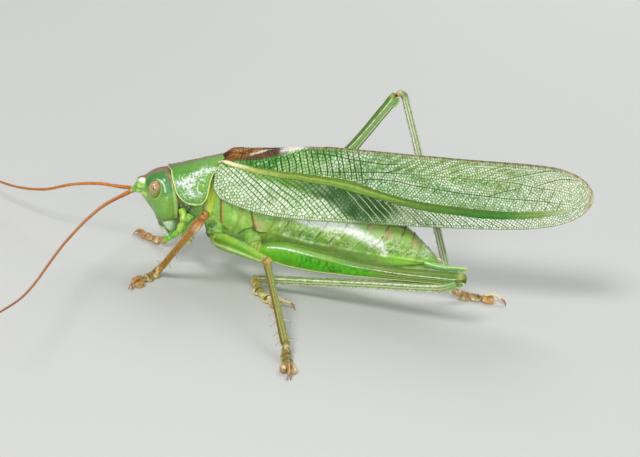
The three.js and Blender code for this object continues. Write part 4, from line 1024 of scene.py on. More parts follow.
def veins(side, paths):
    """The stronger veins as smooth raised cords that follow the wing's surface."""
    parts = []
    for no, (kind, pts) in enumerate(paths):
        P = np.array(pts, float)
        n = max(int(np.linalg.norm(np.diff(P, axis=0), axis=1).sum() / .13), 6)
        C = curve(np.c_[P, np.zeros(len(P))], n)[:, :2]
        C = C[(C[:, 0] > -.4) & (C[:, 0] < U_END - .3) & (C[:, 1] > low_of(C[:, 0]) + .05)]
        if kind != 2.5:
            C = C[(C[:, 1] < .02) | (C[:, 0] > 12)]
        if len(C) < 5:
            continue
        n = len(C)
        T = np.gradient(C, axis=0)
        T /= np.maximum(np.linalg.norm(T, axis=1), 1e-9)[:, None]
        Nn = np.stack([-T[:, 1], T[:, 0]], 1)
        s_ = np.linspace(0, 1, n)
        u, q = C.T
        hw = VEIN_SIZE[kind] * np.minimum(1, np.minimum(s_, 1 - s_) * 9 + .12) * (1 + .16 * np.sin(s_ * 23 + no * 1.7) * (kind < 2))
        if kind in (1.1, 1.4):
            hw = hw * np.interp(u, [0, 26, 34, 42], [1, 1, .8, .6])
        x = np.array([-1, -.5, 0, .5, 1])
        UU, QQ = u[:, None] + Nn[:, :1] * x * hw[:, None], q[:, None] + Nn[:, 1:] * x * hw[:, None]
        HH = .03 + hw[:, None] * 1.0 * np.sqrt(np.clip(1.02 - x ** 2, 0, 1))
        UU, QQ, HH = np.c_[UU, u], np.c_[QQ, q], np.c_[HH, np.full(n, -.02)]
        V = wing_at(UU.ravel(), QQ.ravel(), side, HH.ravel())
        i, j = np.meshgrid(np.arange(n - 1), np.arange(6), indexing="ij")
        k = (j + 1) % 6
        F = np.stack([i * 6 + j, (i + 1) * 6 + j, (i + 1) * 6 + k, i * 6 + k], -1).reshape(-1, 4)
        caps = np.array([[0, 1, 4, 5], [1, 2, 3, 4], [(n - 1) * 6 + 5, (n - 1) * 6 + 4, (n - 1) * 6 + 1, (n - 1) * 6], [(n - 1) * 6 + 4, (n - 1) * 6 + 3, (n - 1) * 6 + 2, (n - 1) * 6 + 1]])
        F = np.concatenate([F, caps])
        Nv = normals(V, [F])
        mid_ = (n // 2) * 6 + 2
        if Nv[mid_, 1] * side < 0 and kind != 2.5 or kind == 2.5 and Nv[mid_, 2] < 0:
            F = F[:, ::-1]
        U, Q = UU.ravel(), QQ.ravel()
        # the zone below the stem where painted shade darkens the membrane; cross veins there are painted darker green
        # too
        below = STEM_LOW(U)[0] - Q
        wd = np.interp(U, [1.5, 5, 7, 9.5, 11.8, 14.5, 16.6, 18], [.1, .6, .85, 1.25, 1.75, 2.5, 3.5, 5.2])
        shade_zone = (1 - sstep(.8, 1.2, below / wd)) * sstep(2.2, 4.4, U)
        if kind == 1.1:
            c = mixc(lin(62, 88, 44), lin(48, 104, 22), shade_zone)
        elif kind == 1.4:
            c = mixc(lin(186, 212, 142), lin(52, 74, 40), sstep(21, 24, U + 1.2 * np.sin(no * 2.1)))
            c = mixc(c, lin(92, 112, 76), sstep(30, 38, U))
        elif kind == 1.8:
            c = mixc(lin(22, 86, 8), lin(34, 96, 16), sstep(8, 15, U))
        elif kind == 2:
            c = mixc(lin(44, 82, 22), lin(92, 114, 58), sstep(30, 40, U))
            c = mixc(c, lin(150, 178, 82), .7 * (Q > -2.6) * sstep(20, 25, U) * (1 - sstep(33, 37, U)))
        elif kind == 2.5:
            c = np.tile(lin(80, 46, 18), (len(U), 1))
            c = mixc(c, lin(214, 206, 170), sstep(7.2, 8.2, U))
        elif kind == 1:
            c = mixc(lin(54, 100, 30), lin(96, 130, 60), sstep(26, 38, U))
        else:
            c = mixc(lin(58, 84, 40), lin(88, 124, 56), sstep(12, 22, U))
        c = c * (1 + .14 * vnoise(V, 3.0, 171))[:, None]
        parts.append((V, [F], c))
    return merged(parts)


def stem(side):
    """The smooth stem of a fore wing: a long rounded strip with fine lines along it."""
    n, m = 420, 15
    u = np.concatenate([np.linspace(-.42, 30, 300), np.linspace(30, 42.9, n - 299)[1:]])
    a, b = STEM_TOP(u)[0], STEM_LOW(u)[0]
    mid, hw = (a + b) / 2, np.maximum((a - b) / 2 * 1.02, .12)
    hw = hw * (1 - .75 * sstep(40.5, 42.9, u)) * np.interp(u, [-.45, .5, 2.5, 4.5, 17, 24], [.45, .5, .72, 1, 1, .85])
    x = np.linspace(-1, 1, m)
    U_, X_ = np.meshgrid(u, x, indexing="ij")
    q = mid[:, None] + hw[:, None] * X_
    rim = np.exp(-((np.abs(X_) - .97) / .12) ** 2)
    lines = np.exp(-((X_ - .42) / .1) ** 2) + .7 * np.exp(-((X_ + .3) / .09) ** 2)
    h = .085 + .05 * (1 - X_ ** 2) + .03 * rim + .025 * lines + .012 * vnoise(np.stack([U_.ravel() * 1.0, q.ravel() * 3, 0 * q.ravel()], 1), 1.6, 18).reshape(q.shape)
    h[:, 0], h[:, -1] = .06, .06
    h[0], h[-1] = .05, .05
    top = wing_at(U_.ravel(), q.ravel(), side, h.ravel())
    low = wing_at(U_.ravel(), q.ravel(), side, np.full(q.size, .02))
    g = stem_tint(U_.ravel())
    X, U = X_.ravel(), U_.ravel()
    olive = sstep(.45, .85, X) * sstep(2.5, 5, U) * (1 - sstep(34, 38, U))
    g = mixc(g, lin(92, 106, 28), .75 * olive)
    g = mixc(g, lin(150, 174, 60), .6 * bump(X, .1, .25) * sstep(6, 10, U) * (1 - sstep(20, 25, U)))
    g = mixc(g, lin(66, 104, 20), .8 * np.exp(-((X - .42) / .1) ** 2) * sstep(3, 6, U))
    g = mixc(g, lin(60, 112, 22), .6 * np.exp(-((X + .3) / .09) ** 2) * sstep(5, 9, U))
    g = mixc(g, lin(56, 108, 18), .65 * sstep(-.7, -.98, X) * sstep(4, 9, U) * (1 - sstep(36, 40, U)))
    g = mixc(g, lin(90, 120, 40), .5 * sstep(.85, 1, X) * sstep(4, 9, U))
    g = mixc(g, lin(248, 240, 200), .7 * bump(X, .35, .3) * (1 - sstep(2.5, 4.2, U)))
    g = mixc(g, lin(150, 150, 50), .7 * bump(X, -.75, .25) * (1 - sstep(4.5, 6, U)))
    speck = vnoise(np.stack([U * 2.2, X * 1.2, 0 * X], 1), 2.0, 19)
    g = g * (1 + .16 * speck)[:, None]
    i, j = np.meshgrid(np.arange(n - 1), np.arange(m - 1), indexing="ij")
    F = np.stack([i * m + j, (i + 1) * m + j, (i + 1) * m + j + 1, i * m + j + 1], -1).reshape(-1, 4)
    loop = np.concatenate([np.arange(m - 1), np.arange(n - 1) * m + m - 1, (n - 1) * m + np.arange(m - 1, 0, -1), np.arange(n - 1, 0, -1) * m])
    nx = np.roll(loop, -1)
    wall = np.stack([loop, nx, nx + n * m, loop + n * m], -1)
    if side < 0:
        F = F[:, ::-1]
    has = {(int(f[k]), int(f[(k + 1) % 4])) for f in F[:m] for k in range(4)}
    if (int(loop[0]), int(nx[0])) in has:
        wall = wall[:, ::-1]
    nrm = normals(np.concatenate([top, low]), [F])
    if (nrm[:n * m, 1] * side).sum() < 0:
        F, wall = F[:, ::-1], wall[:, ::-1]
    # the underside strip takes the top's colours painted 0.7 as dark: painted shade
    return np.concatenate([top, low]), [F, F[:, ::-1] + n * m, wall], np.concatenate([g, g * .7])


wing_mat = skin("wing_cuticle", rough=.4, rough_var=.1, value_var=.2, hue_var=.014, grain=5000, blotch=520, bump_size=.7, bump_mm=.012, coat=.05, coat_rough=.2, spec=.28)
stem_mat = skin("stem_cuticle", rough=.44, rough_var=.1, value_var=.14, hue_var=.016, grain=2400, blotch=520, bump_size=.6, bump_mm=.014, coat=.1, coat_rough=.22, spec=.35)
for side, word, seed in ((-1, "left", 11), (1, "right", 23)):
    V, F, C, UV, vein, vein_paths = tegmen(side, seed)
    print("tegmen", word, len(V), sum(len(f) * (f.shape[1] - 2) for f in F))
    build("fore_wing_" + word, V, F, wing_mat, C, {"vein": vein}, uv=UV, stands=["tegmen_" + word])
    V, F, C = stem(side)
    build("wing_stem_" + word, V, F, stem_mat, C)
    V, F, C = veins(side, vein_paths)
    print("veins", word, len(V), sum(len(f) * (f.shape[1] - 2) for f in F))
    build("wing_veins_" + word, V, F, stem_mat, C)
# ------------------------------------------------------------------ trunk: thorax and abdomen
body_mat = skin("body_cuticle", rough=.36, rough_var=.1, value_var=.1, hue_var=.014, grain=1900, blotch=330, bump_size=.55, bump_mm=.02, pores=.5, pore_scale=5200, coat=.25, coat_rough=.22, sss=.12)
plate_mat = skin("plate_cuticle", rough=.28, rough_var=.12, value_var=.1, hue_var=.014, grain=1700, blotch=300, bump_size=.8, bump_mm=.03, pores=.9, pore_scale=4600, coat=.55, coat_rough=.12, sss=.06)

TRUNK = Track([
    [-18.3, 11.3, 8.9, 1.9], [-17.2, 11.9, 6.6, 2.3], [-15.6, 12.6, 5.8, 2.5], [-14.05, 12.75, 5.9, 2.6], [-12.8, 12.3, 5.0, 2.8], [-11.2, 11.9, 4.4, 2.92],
    [-9.5, 11.6, 4.2, 2.97], [-7.6, 11.4, 4.0, 3.02], [-5.4, 11.15, 4.12, 2.92], [-1, 11, 3.6, 2.97], [3.5, 10.6, 3.45, 2.87],
    [7.5, 9.8, 3.65, 2.62], [10.6, 8.7, 4.0, 2.22], [12.6, 7.3, 4.5, 1.77], [14.2, 5.95, 4.75, 1.25], [14.9, 5.35, 4.9, .6]])
GREEN, GREEN_SHADED_BELOW, GREEN_LIT_TOP, YELLOWISH = lin(138, 186, 76), lin(104, 156, 48), lin(166, 204, 112), lin(192, 216, 66)


def line_x(z, pts):
    """x of a line drawn through (x, z) points, at height z."""
    p = np.array(sorted(pts, key=lambda a: a[1]))
    return np.interp(z, p[:, 1], p[:, 0])


def trunk():
    nx, na = 470, 168
    xs = np.linspace(-18.3, 14.9, nx)
    a = np.linspace(0, 2 * math.pi, na, endpoint=False)
    X, A = np.meshgrid(xs, a, indexing="ij")
    top, bot, half = TRUNK(X)
    zc, ah = (top + bot) / 2, (top - bot) / 2
    pw = 2.35
    ca, sa = np.cos(A), np.sin(A)
    r = (np.abs(ca) ** pw + np.abs(sa) ** pw) ** (-1 / pw)
    Y, Z = half * ca * r, zc + ah * sa * r
    V = np.stack([X, Y, Z], -1).reshape(-1, 3)
    i, j = np.meshgrid(np.arange(nx - 1), np.arange(na), indexing="ij")
    k = (j + 1) % na
    F = np.stack([i * na + j, i * na + k, (i + 1) * na + k, (i + 1) * na + j], -1).reshape(-1, 4)[:, ::-1]
    c0, c1 = len(V), len(V) + 1
    V = np.concatenate([V, [[-18.3, 0, zc[0, 0]], [14.95, 0, zc[-1, 0]]]])
    jj = np.arange(na)
    kk = (jj + 1) % na
    e = (nx - 1) * na
    caps = np.concatenate([np.stack([np.full(na, c0), jj, kk], -1), np.stack([np.full(na, c1), e + kk, e + jj], -1)])[:, ::-1]
    faces = [F, caps]
    N = normals(V, faces)
    x, y, z = V.T
    ay = np.abs(y)
    side = sstep(.9, 1.9, ay)
    t0 = TRUNK(x)
    frac = (z - t0[1]) / np.maximum(t0[0] - t0[1], .1)           # 0 below, 1 on top
    tint = np.tile(GREEN, (len(V), 1))
    # painted light and shade: the upper flank painted paler, the underside painted deeper green
    tint = mixc(tint, GREEN_LIT_TOP, .35 * sstep(.55, .8, frac))
    tint = mixc(tint, GREEN_SHADED_BELOW, .45 * (1 - sstep(.05, .35, frac)))
    disp = np.zeros(len(V))
    ab = sstep(-5.4, -4.6, x)
    # tergites: the rear edge of each runs down and forward
    edges = np.array([-4.1, -2.0, .15, 2.45, 4.9, 7.25, 9.5, 11.0, 12.3, 13.4])
    w = x - .5 * (np.clip(z, 4.5, 9.5) - 7.2) * np.interp(x, [0, 8, 14], [1, 1, .5])
    seg = np.searchsorted(edges, w)
    lo_e = edges[np.clip(seg - 1, 0, len(edges) - 1)]
    hi_e = np.append(edges, 15.2)[seg]
    ph = np.clip((w - lo_e) / np.maximum(hi_e - lo_e, .1), 0, 1)
    tergum = sstep(.27, .31, frac)
    since, before = w - lo_e, hi_e - w
    amp = np.interp(x, [-5, 4, 10, 14], [.06, .08, .1, .06])
    disp += ab * tergum * (amp * ph ** 1.6 - .055 * np.exp(-np.maximum(since, 0) / .09))
    crease = np.exp(-(since / .055) ** 2) + np.exp(-(before / .05) ** 2)
    short = .12 + .88 * sstep(.4, .5, frac) * (1 - sstep(.64, .76, frac)) * (.6 + .4 * np.sin(seg * 2.4 + 1))
    short = np.where(x > 6, .25 + .75 * sstep(.34, .5, frac), short)
    tint = mixc(tint, lin(78, 118, 26), np.clip(.85 * crease * ab * tergum * short, 0, 1))
    tint = mixc(tint, lin(176, 206, 122), .35 * ab * tergum * bump(ph, .82, .12))
    pinkish = ab * tergum * bump(ph, .9, .1) * sstep(.35, .8, frac) * sstep(5, 9, x)
    tint = mixc(tint, lin(176, 156, 108), .5 * pinkish)
    # the soft fold between tergites and sternites
    disp += -.12 * ab * bump(frac, .285, .028)
    tint = mixc(tint, lin(150, 186, 96), .6 * ab * bump(frac, .25, .05))
    # sternites
    es = np.array([-5.2, -3.1, -1.0, 1.15, 3.3, 5.35, 7.3, 9.2])
    s2 = np.searchsorted(es, x)
    d2 = x - es[np.clip(s2 - 1, 0, len(es) - 1)]
    stern = (1 - sstep(.2, .24, frac)) * ab
    disp += stern * (.05 - .08 * np.exp(-np.maximum(d2, 0) / .12))
    tint = mixc(tint, lin(84, 120, 40), .5 * stern * bump(d2, 0, .07))
    for (ax, az), (bx, bz) in (((-3.75, 7.9), (-4.2, 7.0)), ((-1.6, 7.6), (-2.35, 6.5)), ((.2, 7.35), (-.4, 6.3)), ((1.95, 7.2), (1.35, 6.2)), ((3.1, 7.6), (2.7, 6.9)), ((5.4, 7.4), (4.5, 6.2)), ((7.6, 7.8), (6.2, 5.7)), ((8.9, 6.4), (8.2, 5.3))):
        d = near_line(np.stack([x, z], 1), np.array([[ax, az], [bx, bz]]))
        disp -= .07 * ab * bump(d, 0, .09)
        tint = mixc(tint, lin(56, 104, 22), .9 * ab * bump(d, 0, .075))
        tint = mixc(tint, lin(196, 220, 140), .4 * ab * bump(d, .2, .08))
    # spiracles
    for e_ in edges[:8]:
        cx = e_ + 1.05
        d = np.hypot((x - cx) / .11, (frac - .36) / .028)
        disp += side * (.05 * bump(d, 1.35, .5) - .07 * (d < .9))
        tint = mixc(tint, lin(96, 118, 40), side * np.exp(-d ** 2 * .8) * .6)
    # dimples and small folds of the living skin
    wr = vnoise(V * [1.0, 1.2, 1.0], 1.9, 3) * .5 + vnoise(V, 4.1, 5) * .28 + vnoise(V, 9.0, 6) * .12
    disp += ab * .05 * wr
    tint = tint * (1 + .13 * ab * wr)[:, None]
    # painted glints on the glossy little wrinkles, and a painted pale sheen band where the flank turns up
    ky = 1 - np.abs(vnoise(V * [1.0, 1.0, 1.6], 2.6, 11)) * 3.2
    glint_knots = np.clip(ky, 0, 1) ** 1.5 * np.clip(1.6 * vnoise(V, 1.3, 12) + .5, 0, 1) * (.25 + bump(z, 7.25, .6) + .8 * bump(z, 6.1, .4))
    disp += ab * .07 * glint_knots
    tint = mixc(tint, lin(226, 242, 200), np.clip(1.1 * ab * glint_knots * (frac > .3) * (frac < .72), 0, .9))
    hollow = np.clip(-vnoise(V * [1, 1, 1.5], 1.7, 19), 0, 1) * ab * (frac > .28) * (frac < .72)
    disp -= .06 * hollow
    tint = mixc(tint, lin(104, 150, 40), np.clip(.8 * hollow, 0, 1))
    # painted shade: the lower abdomen darkened
    tint = tint * (1 - .16 * ab * (1 - sstep(.4, .5, frac)))[:, None]
    zs = np.interp(x, [-4.5, -3.25, -1.2, 1.1, 3.1, 4.7, 6.3, 7.6, 8.1, 8.6], [8.6, 8.47, 8.28, 8.28, 8.16, 7.8, 7.1, 6.7, 6.05, 5.4])
    ds = (z - zs) / np.interp(x, [-4, 0, 5, 8], [.28, .55, .58, .45])
    mott = vnoise(V, 4.5, 13) + .6 * vnoise(V, 10.0, 14)
    sheen = np.exp(-ds ** 2) * sstep(-4.6, -1.5, x) * (1 - sstep(7.6, 8.6, x)) * side
    tint = mixc(tint, lin(240, 248, 234), np.clip(sheen * (1.45 + 1.15 * mott), 0, .97))
    for cx, cz, rx, rz in ((6.1, 8.6, .5, .6), (8.3, 8.1, .75, .8), (11.7, 7.5, .6, .8)):
        d = np.hypot((x - cx) / rx, (z - cz) / rz)
        tint = mixc(tint, lin(184, 158, 122), .7 * side * (1 - sstep(.4, 1.2, d)))
    # painted light: a bright green patch low on the rear flank, and the underside of the rear abdomen painted brighter,
    # to undo its shade
    tint = mixc(tint, lin(146, 214, 62), .9 * side * bump(np.hypot((x - 9.9) / 2.2, (z - 5.0) / .75), 0, 1))
    tint = tint * (1 + .28 * ab * (1 - sstep(.3, .4, frac)) * sstep(3, 7, x))[:, None]
    d = np.hypot((x - 7.9) / .9, (z - 5.9) / .5)
    crum = np.clip(1 - np.abs(vnoise(V, 3.4, 15)) * 4, 0, 1) * (1 - sstep(.6, 1.2, d)) * side
    disp += .08 * crum
    tint = mixc(tint, lin(232, 240, 214), .8 * crum)
    tuft = sstep(12.2, 12.8, x) * sstep(5.9, 6.5, z) * np.clip(1.6 * vnoise(V, 4.2, 22) + .35, 0, 1)
    disp += .04 * tuft
    tint = mixc(tint, lin(224, 232, 222), .75 * tuft)
    # thorax side plates
    th = 1 - ab
    s1 = line_x(z, [(-12.3, 11), (-12.05, 8.72), (-11.72, 6.3), (-11.2, 5.15), (-10.6, 4.2)])
    s2_ = line_x(z, [(-8.9, 11), (-8.64, 9.25), (-7.83, 6.91), (-7.47, 6.1), (-6.9, 4.6)])
    s3 = line_x(z, [(-9.7, 10.5), (-9.35, 8.4), (-10.0, 6.4), (-10.4, 5.2)])
    s4 = line_x(z, [(-5.3, 10.5), (-5.2, 8.4), (-6.1, 6.5), (-6.4, 5.4)])
    s5 = line_x(z, [(-14.0, 12), (-13.85, 9.5), (-14.2, 7.0), (-14.6, 5.8)])
    for s_, dep, br in ((s1, .2, 1.0), (s2_, .22, 1.0), (s3, .1, .25), (s4, .1, .3), (s5, .3, .95)):
        g = bump(x, s_, .085) * side * sstep(4.3, 5.0, z)
        disp -= dep * g
        wide = bump(x, s_ + .1, .2) * side * sstep(5.0, 5.8, z)
        tint = mixc(tint, lin(186, 138, 52), np.clip(.75 * br * wide, 0, 1))
        tint = mixc(tint, lin(52, 38, 14), np.clip(.9 * br * g, 0, 1))
    for cx, cz in ((-11.72, 6.35), (-7.72, 6.75)):            # joints above the hips
        d = np.hypot(x - cx, z - cz)
        disp -= .18 * side * bump(d, 0, .2)
        tint = mixc(tint, lin(38, 26, 10), side * bump(d, 0, .17))
    for (ax, az), (bx, bz) in (((-7.95, 6.4), (-7.0, 6.1)), ((-7.0, 6.1), (-6.25, 6.25)), ((-11.7, 6.3), (-10.9, 5.85)), ((-7.75, 6.7), (-8.9, 6.2)), ((-8.9, 6.2), (-9.5, 5.55)), ((-11.75, 6.3), (-12.7, 6.0))):
        L = np.array([[ax, az], [bx, bz]])
        d = near_line(np.stack([x, z], 1), L)
        disp -= .1 * side * bump(d, 0, .09)
        tint = mixc(tint, lin(60, 42, 16), .85 * side * bump(d, 0, .085))
    d = np.hypot((x + 7.1) / .72, (z - 7.05) / .75)
    tint = mixc(tint, lin(196, 178, 128), .8 * side * (1 - sstep(.35, 1.15, d)))
    disp += .12 * side * (1 - sstep(.3, 1.2, d))
    for cx, cz, rx, rz, h in ((-10.2, 8.2, .62, 1.9, .3), (-13.35, 9.6, .55, 3.2, .5), (-8.0, 9.6, .5, 1.5, .12), (-6.4, 9.0, .7, 1.4, .15), (-12.9, 6.6, .6, .9, .2), (-9.2, 7.2, .45, .9, .1)):
        d = np.hypot((x - cx) / rx, (z - cz) / rz)
        disp += h * side * (1 - sstep(.25, 1.15, d))
        tint = mixc(tint, lin(184, 222, 112), .5 * side * (1 - sstep(.4, 1.0, d)))
    # a yellowish band of the thorax, painted brighter than its own colour as painted light where the wing and saddle
    # plate shade it
    d = np.hypot((x + 13.35) / .5, (z - 9.4) / 3.3)
    tint = mixc(tint, YELLOWISH, .95 * side * (1 - sstep(.65, 1.1, d)))
    tint = mixc(tint, lin(120, 150, 40), .7 * side * bump(x, -13.9, .12) * sstep(6, 7, z))
    tint = mixc(tint, lin(176, 190, 110), .5 * side * bump(x, -9.55, .22) * sstep(6.5, 7.5, z))
    ky = np.clip(1 - np.abs(vnoise(V, 2.3, 16)) * 3.5, 0, 1) ** 2
    disp += th * (.05 * ky * side + .03 * (vnoise(V, 3.3, 8) + .5 * vnoise(V, 8.0, 9)))
    tint = mixc(tint, lin(214, 236, 180), .5 * th * side * ky * np.clip(vnoise(V, 1.2, 17) + .3, 0, 1))
    tint = tint * (1 + .09 * th * vnoise(V, 2.4, 10))[:, None]
    # soft neck and breast
    neck = (1 - sstep(-17.6, -16.6, x))
    disp += neck * .06 * np.sin(x * 14)
    nk = np.clip(1 - np.abs(vnoise(V, 2.6, 18)) * 3, 0, 1) ** 2
    soft_neck = side * bump(np.hypot((x + 16.8) / 1.9, (z - 7.7) / 1.3), 0, 1)
    disp += soft_neck * .1 * nk
    tint = mixc(tint, lin(150, 160, 110), .6 * neck)
    tint = mixc(tint, mixc(lin(84, 100, 60), lin(220, 226, 204), nk), .9 * soft_neck)
    # painted shade: a dark line and a dark patch by the root of the fore hip
    tint = mixc(tint, lin(44, 44, 22), .8 * side * bump(x, -15.9 + .35 * (z - 7), .12) * (z > 5.6) * (z < 8.6))
    tint = mixc(tint, lin(40, 66, 20), .8 * side * bump(np.hypot((x + 16.0) / .9, (z - 6.4) / 1.7), 0, 1))
    rear = sstep(13.2, 14.8, x)
    tint = mixc(tint, lin(150, 166, 96), .5 * rear)
    V = V + N * disp[:, None]
    return V, faces, tint, N


tv, tf, tt_, tn = trunk()
build("trunk_skin", lean(tv), tf, body_mat, tt_, stands=["prothorax", "mesothorax", "metathorax", "abdomen"])

# ------------------------------------------------------------------ saddle plate (pronotum)
PRO_TOP = Track([[-19.35, 11.92], [-19.25, 11.95], [-17.4, 12.6], [-15.4, 13.35], [-13.4, 14.1], [-11.85, 14.65], [-11.6, 14.7]])
PRO_HALF = Track([[-19.35, 2.43], [-19.25, 2.45], [-17.4, 2.85], [-15.4, 3.12], [-13.4, 3.25], [-11.85, 3.2], [-11.6, 3.18]])
PRO_FRONT = Track([[0, -19.22], [.1, -19.0], [.2, -18.55], [.35, -18.2], [.42, -17.95], [.7, -17.5], [.85, -17.0], [.95, -16.4], [1.0, -15.75]])
PRO_REAR = Track([[0, -11.82], [.12, -11.95], [.22, -12.3], [.32, -13.05], [.42, -13.5], [.55, -13.62], [.72, -13.68], [.84, -13.82], [.93, -14.2], [.98, -14.75], [1.0, -15.3]])


def pronotum():
    na, nb = 132, 236
    A, B = np.meshgrid(np.linspace(0, 1, na), np.linspace(-1, 1, nb), indexing="ij")
    ab = np.abs(B)
    xf, xr = PRO_FRONT(ab)[0], PRO_REAR(ab)[0]
    x = xf + (xr - xf) * A
    zt, hw = PRO_TOP(x)[0], PRO_HALF(x)[0]
    low = 8.2
    # down the section: a broad top, a rounded shoulder and a flat side
    shoulder = 2.1
    ph = np.clip(ab / .42, 0, 1) * math.pi / 2
    y1 = hw * np.sin(ph) ** .86
    z1 = zt - shoulder * (1 - np.cos(ph) ** .9)
    t = np.clip((ab - .42) / .58, 0, 1)
    y = np.where(ab < .42, y1, hw + .1 * np.sin(math.pi * t) - .16 * t ** 2)
    z = np.where(ab < .42, z1, (zt - shoulder) + (low - (zt - shoulder)) * t)
    V = np.stack([x, np.sign(B) * y, z], -1).reshape(-1, 3)
    i, j = np.meshgrid(np.arange(na - 1), np.arange(nb - 1), indexing="ij")
    F = np.stack([i * nb + j, i * nb + j + 1, (i + 1) * nb + j + 1, (i + 1) * nb + j], -1).reshape(-1, 4)
    N = normals(V, [F])
    if (N[:, 2] * (np.abs(V[:, 1]) < 1)).sum() < 0:
        F = F[:, ::-1]
        N = -N
    # distance to the border, by steps along the grid
    P = V.reshape(na, nb, 3)
    d = np.full((na, nb), 1e9)
    for arr in (P[0], P[-1]):
        for b in range(nb):
            d[:, b] = np.minimum(d[:, b], np.linalg.norm(P[:, b] - arr[b], axis=1))
    Lb = np.abs(P[..., 2] - low)
    d = np.minimum(d, np.where(np.abs(B) > .42, Lb * 1.0, 9)).ravel()
    x, y, z = V.T
    ay = np.abs(y)
    a_, b_ = A.ravel(), ab.ravel()
    disp = .075 * np.exp(-(d / .13) ** 2) - .05 * bump(d, .3, .11)
    pit = vnoise(V, 6.5, 21)
    pit2 = vnoise(V, 3.2, 22)
    soft = sstep(.1, .35, d)
    disp -= .06 * soft * np.clip(pit - .1, 0, 1)
    disp += .02 * soft * pit2
    # cross furrows and a faint keel
    for fx, dep in ((-17.7, .05), (-15.9, .07)):
        disp -= dep * bump(x, fx + .14 * ay, .14) * (1 - sstep(2.3, 3.1, ay)) * (b_ < .5)
    disp += .04 * bump(y, 0, .16) * sstep(-15.5, -14.5, x)
    disp -= .07 * bump(np.hypot(x + 16.3, z - 10.6) / 1.0, 1, .22) * (b_ > .45) * .6
    disp -= .05 * bump(np.hypot((x + 14.6) / .55, (z - 9.9) / 1.2), 1, .25) * (b_ > .5)
    g = mixc(lin(96, 166, 66), lin(126, 180, 76), sstep(-18, -13, x))
    g = mixc(g, lin(76, 150, 66), .5 * bump(z, 12.4, .9) * (b_ > .25) * (x < -15))
    g = mixc(g, lin(84, 152, 52), .6 * np.clip(pit, 0, 1) * soft)
    # the painted white sheen of the pitted lobe, a painted highlight broken into flecks
    fl = .8 * vnoise(V, 7.5, 23) + .8 * vnoise(V, 14.0, 24) + .55 * vnoise(V, 3.0, 25)
    lz = np.interp(x, [-19, -17.3, -16.2, -15.6, -15.1, -14.45, -13.6], [10.3, 10.6, 11.05, 11.6, 12.1, 12.55, 12.9])
    lane = np.exp(-((z - lz) / np.interp(x, [-19, -17.5, -16, -15, -13.5], [.35, .5, .8, .8, .45])) ** 2)
    lobe = np.exp(-(((x + 15.7) / 1.75) ** 2 + ((z - 9.35) / .85) ** 2))
    patch = np.exp(-(((x + 16.1) / .75) ** 2 + ((z - 10.7) / .8) ** 2))
    arc = np.exp(-((np.hypot((x + 14.45) / .62, (z - 10.6) / .85) - 1) / .22) ** 2) * (z > 9.6)
    sheen_mask = (ay > 1.5) * soft * np.clip(.8 * lane + .72 * lobe + .6 * patch + .5 * arc, 0, 1.05)
    sheen_white = sstep(.05, .6, sheen_mask - .5 + .6 * fl)
    grey = sstep(.25, .75, sheen_mask + .25 * fl)
    g = mixc(g, lin(156, 190, 140), .75 * grey)
    g = mixc(g, lin(244, 252, 246), .9 * sheen_white * (sheen_mask > .08))
    dk = sstep(.25, .6, -fl) * sheen_mask
    g = mixc(g, lin(84, 140, 66), .6 * dk)
    disp += .02 * sheen_white
    top = np.exp(-(ay / .62) ** 2)
    g = mixc(g, mixc(lin(150, 92, 52), lin(128, 112, 60), sstep(-17, -12.5, x)), top * .85)
    g = mixc(g, lin(120, 84, 48), .4 * bump(ay, .9, .3) * (x < -16))
    rim = np.exp(-(d / .15) ** 4)
    g = mixc(g, mixc(lin(224, 236, 150), lin(206, 176, 110), (b_ < .2).astype(float)), rim * .95)
    g = mixc(g, lin(70, 96, 30), .35 * bump(d, .3, .08))
    outer = V + N * disp[:, None]
    edge = np.exp(-(d / .1) ** 2)
    inner = V - N * (.2 - .1 * edge)[:, None]
    n = na * nb
    loop = np.concatenate([np.arange(nb - 1), np.arange(na - 1) * nb + nb - 1, (na - 1) * nb + np.arange(nb - 1, 0, -1), np.arange(na - 1, 0, -1) * nb])
    nx = np.roll(loop, -1)
    quad = np.stack([loop, nx, nx + n, loop + n], -1)
    test = F[0]
    k = list(test).index(0) if 0 in test else -1
    order = (F[:, 0][0], F[:, 1][0])
    has = {(int(f[q]), int(f[(q + 1) % 4])) for f in F[:nb] for q in range(4)}
    if (int(loop[0]), int(nx[0])) in has:
        quad = quad[:, ::-1]
    Vall = np.concatenate([outer, inner])
    # the inner face takes the outer colours painted 0.7 as dark: painted shade
    return Vall, [F, F[:, ::-1] + n, quad], np.concatenate([g, g * .7]), N


pv, pf, pt, pn = pronotum()
build("saddle_plate", lean(pv), pf, plate_mat, pt, stands=["pronotum"])

# ------------------------------------------------------------------ head
HEADF = Track([
    [-22.72, 9.2, 8.75, .35], [-22.4, 9.72, 8.4, .85], [-21.6, 10.5, 7.72, 1.6], [-20.6, 11.28, 6.65, 2.25], [-19.6, 11.68, 5.6, 2.6],
    [-18.7, 11.8, 4.75, 2.7], [-17.8, 11.6, 4.6, 2.62], [-17.05, 11.0, 5.2, 2.35]])
head_mat = skin("head_cuticle", rough=.28, rough_var=.09, value_var=.07, hue_var=.012, grain=1700, blotch=280, bump_size=.45, bump_mm=.016, pores=.35, pore_scale=6000, coat=.5, coat_rough=.14, sss=.1)
mouth_mat = skin("mouth_cuticle", rough=.28, rough_var=.1, value_var=.1, hue_var=.015, grain=2100, blotch=500, bump_size=.45, bump_mm=.014, coat=.4, coat_rough=.18, sss=.15)
EYE_C, EYE_R = np.array([-20.16, 2.42, 9.34]), np.array([.72, .62, 1.03])


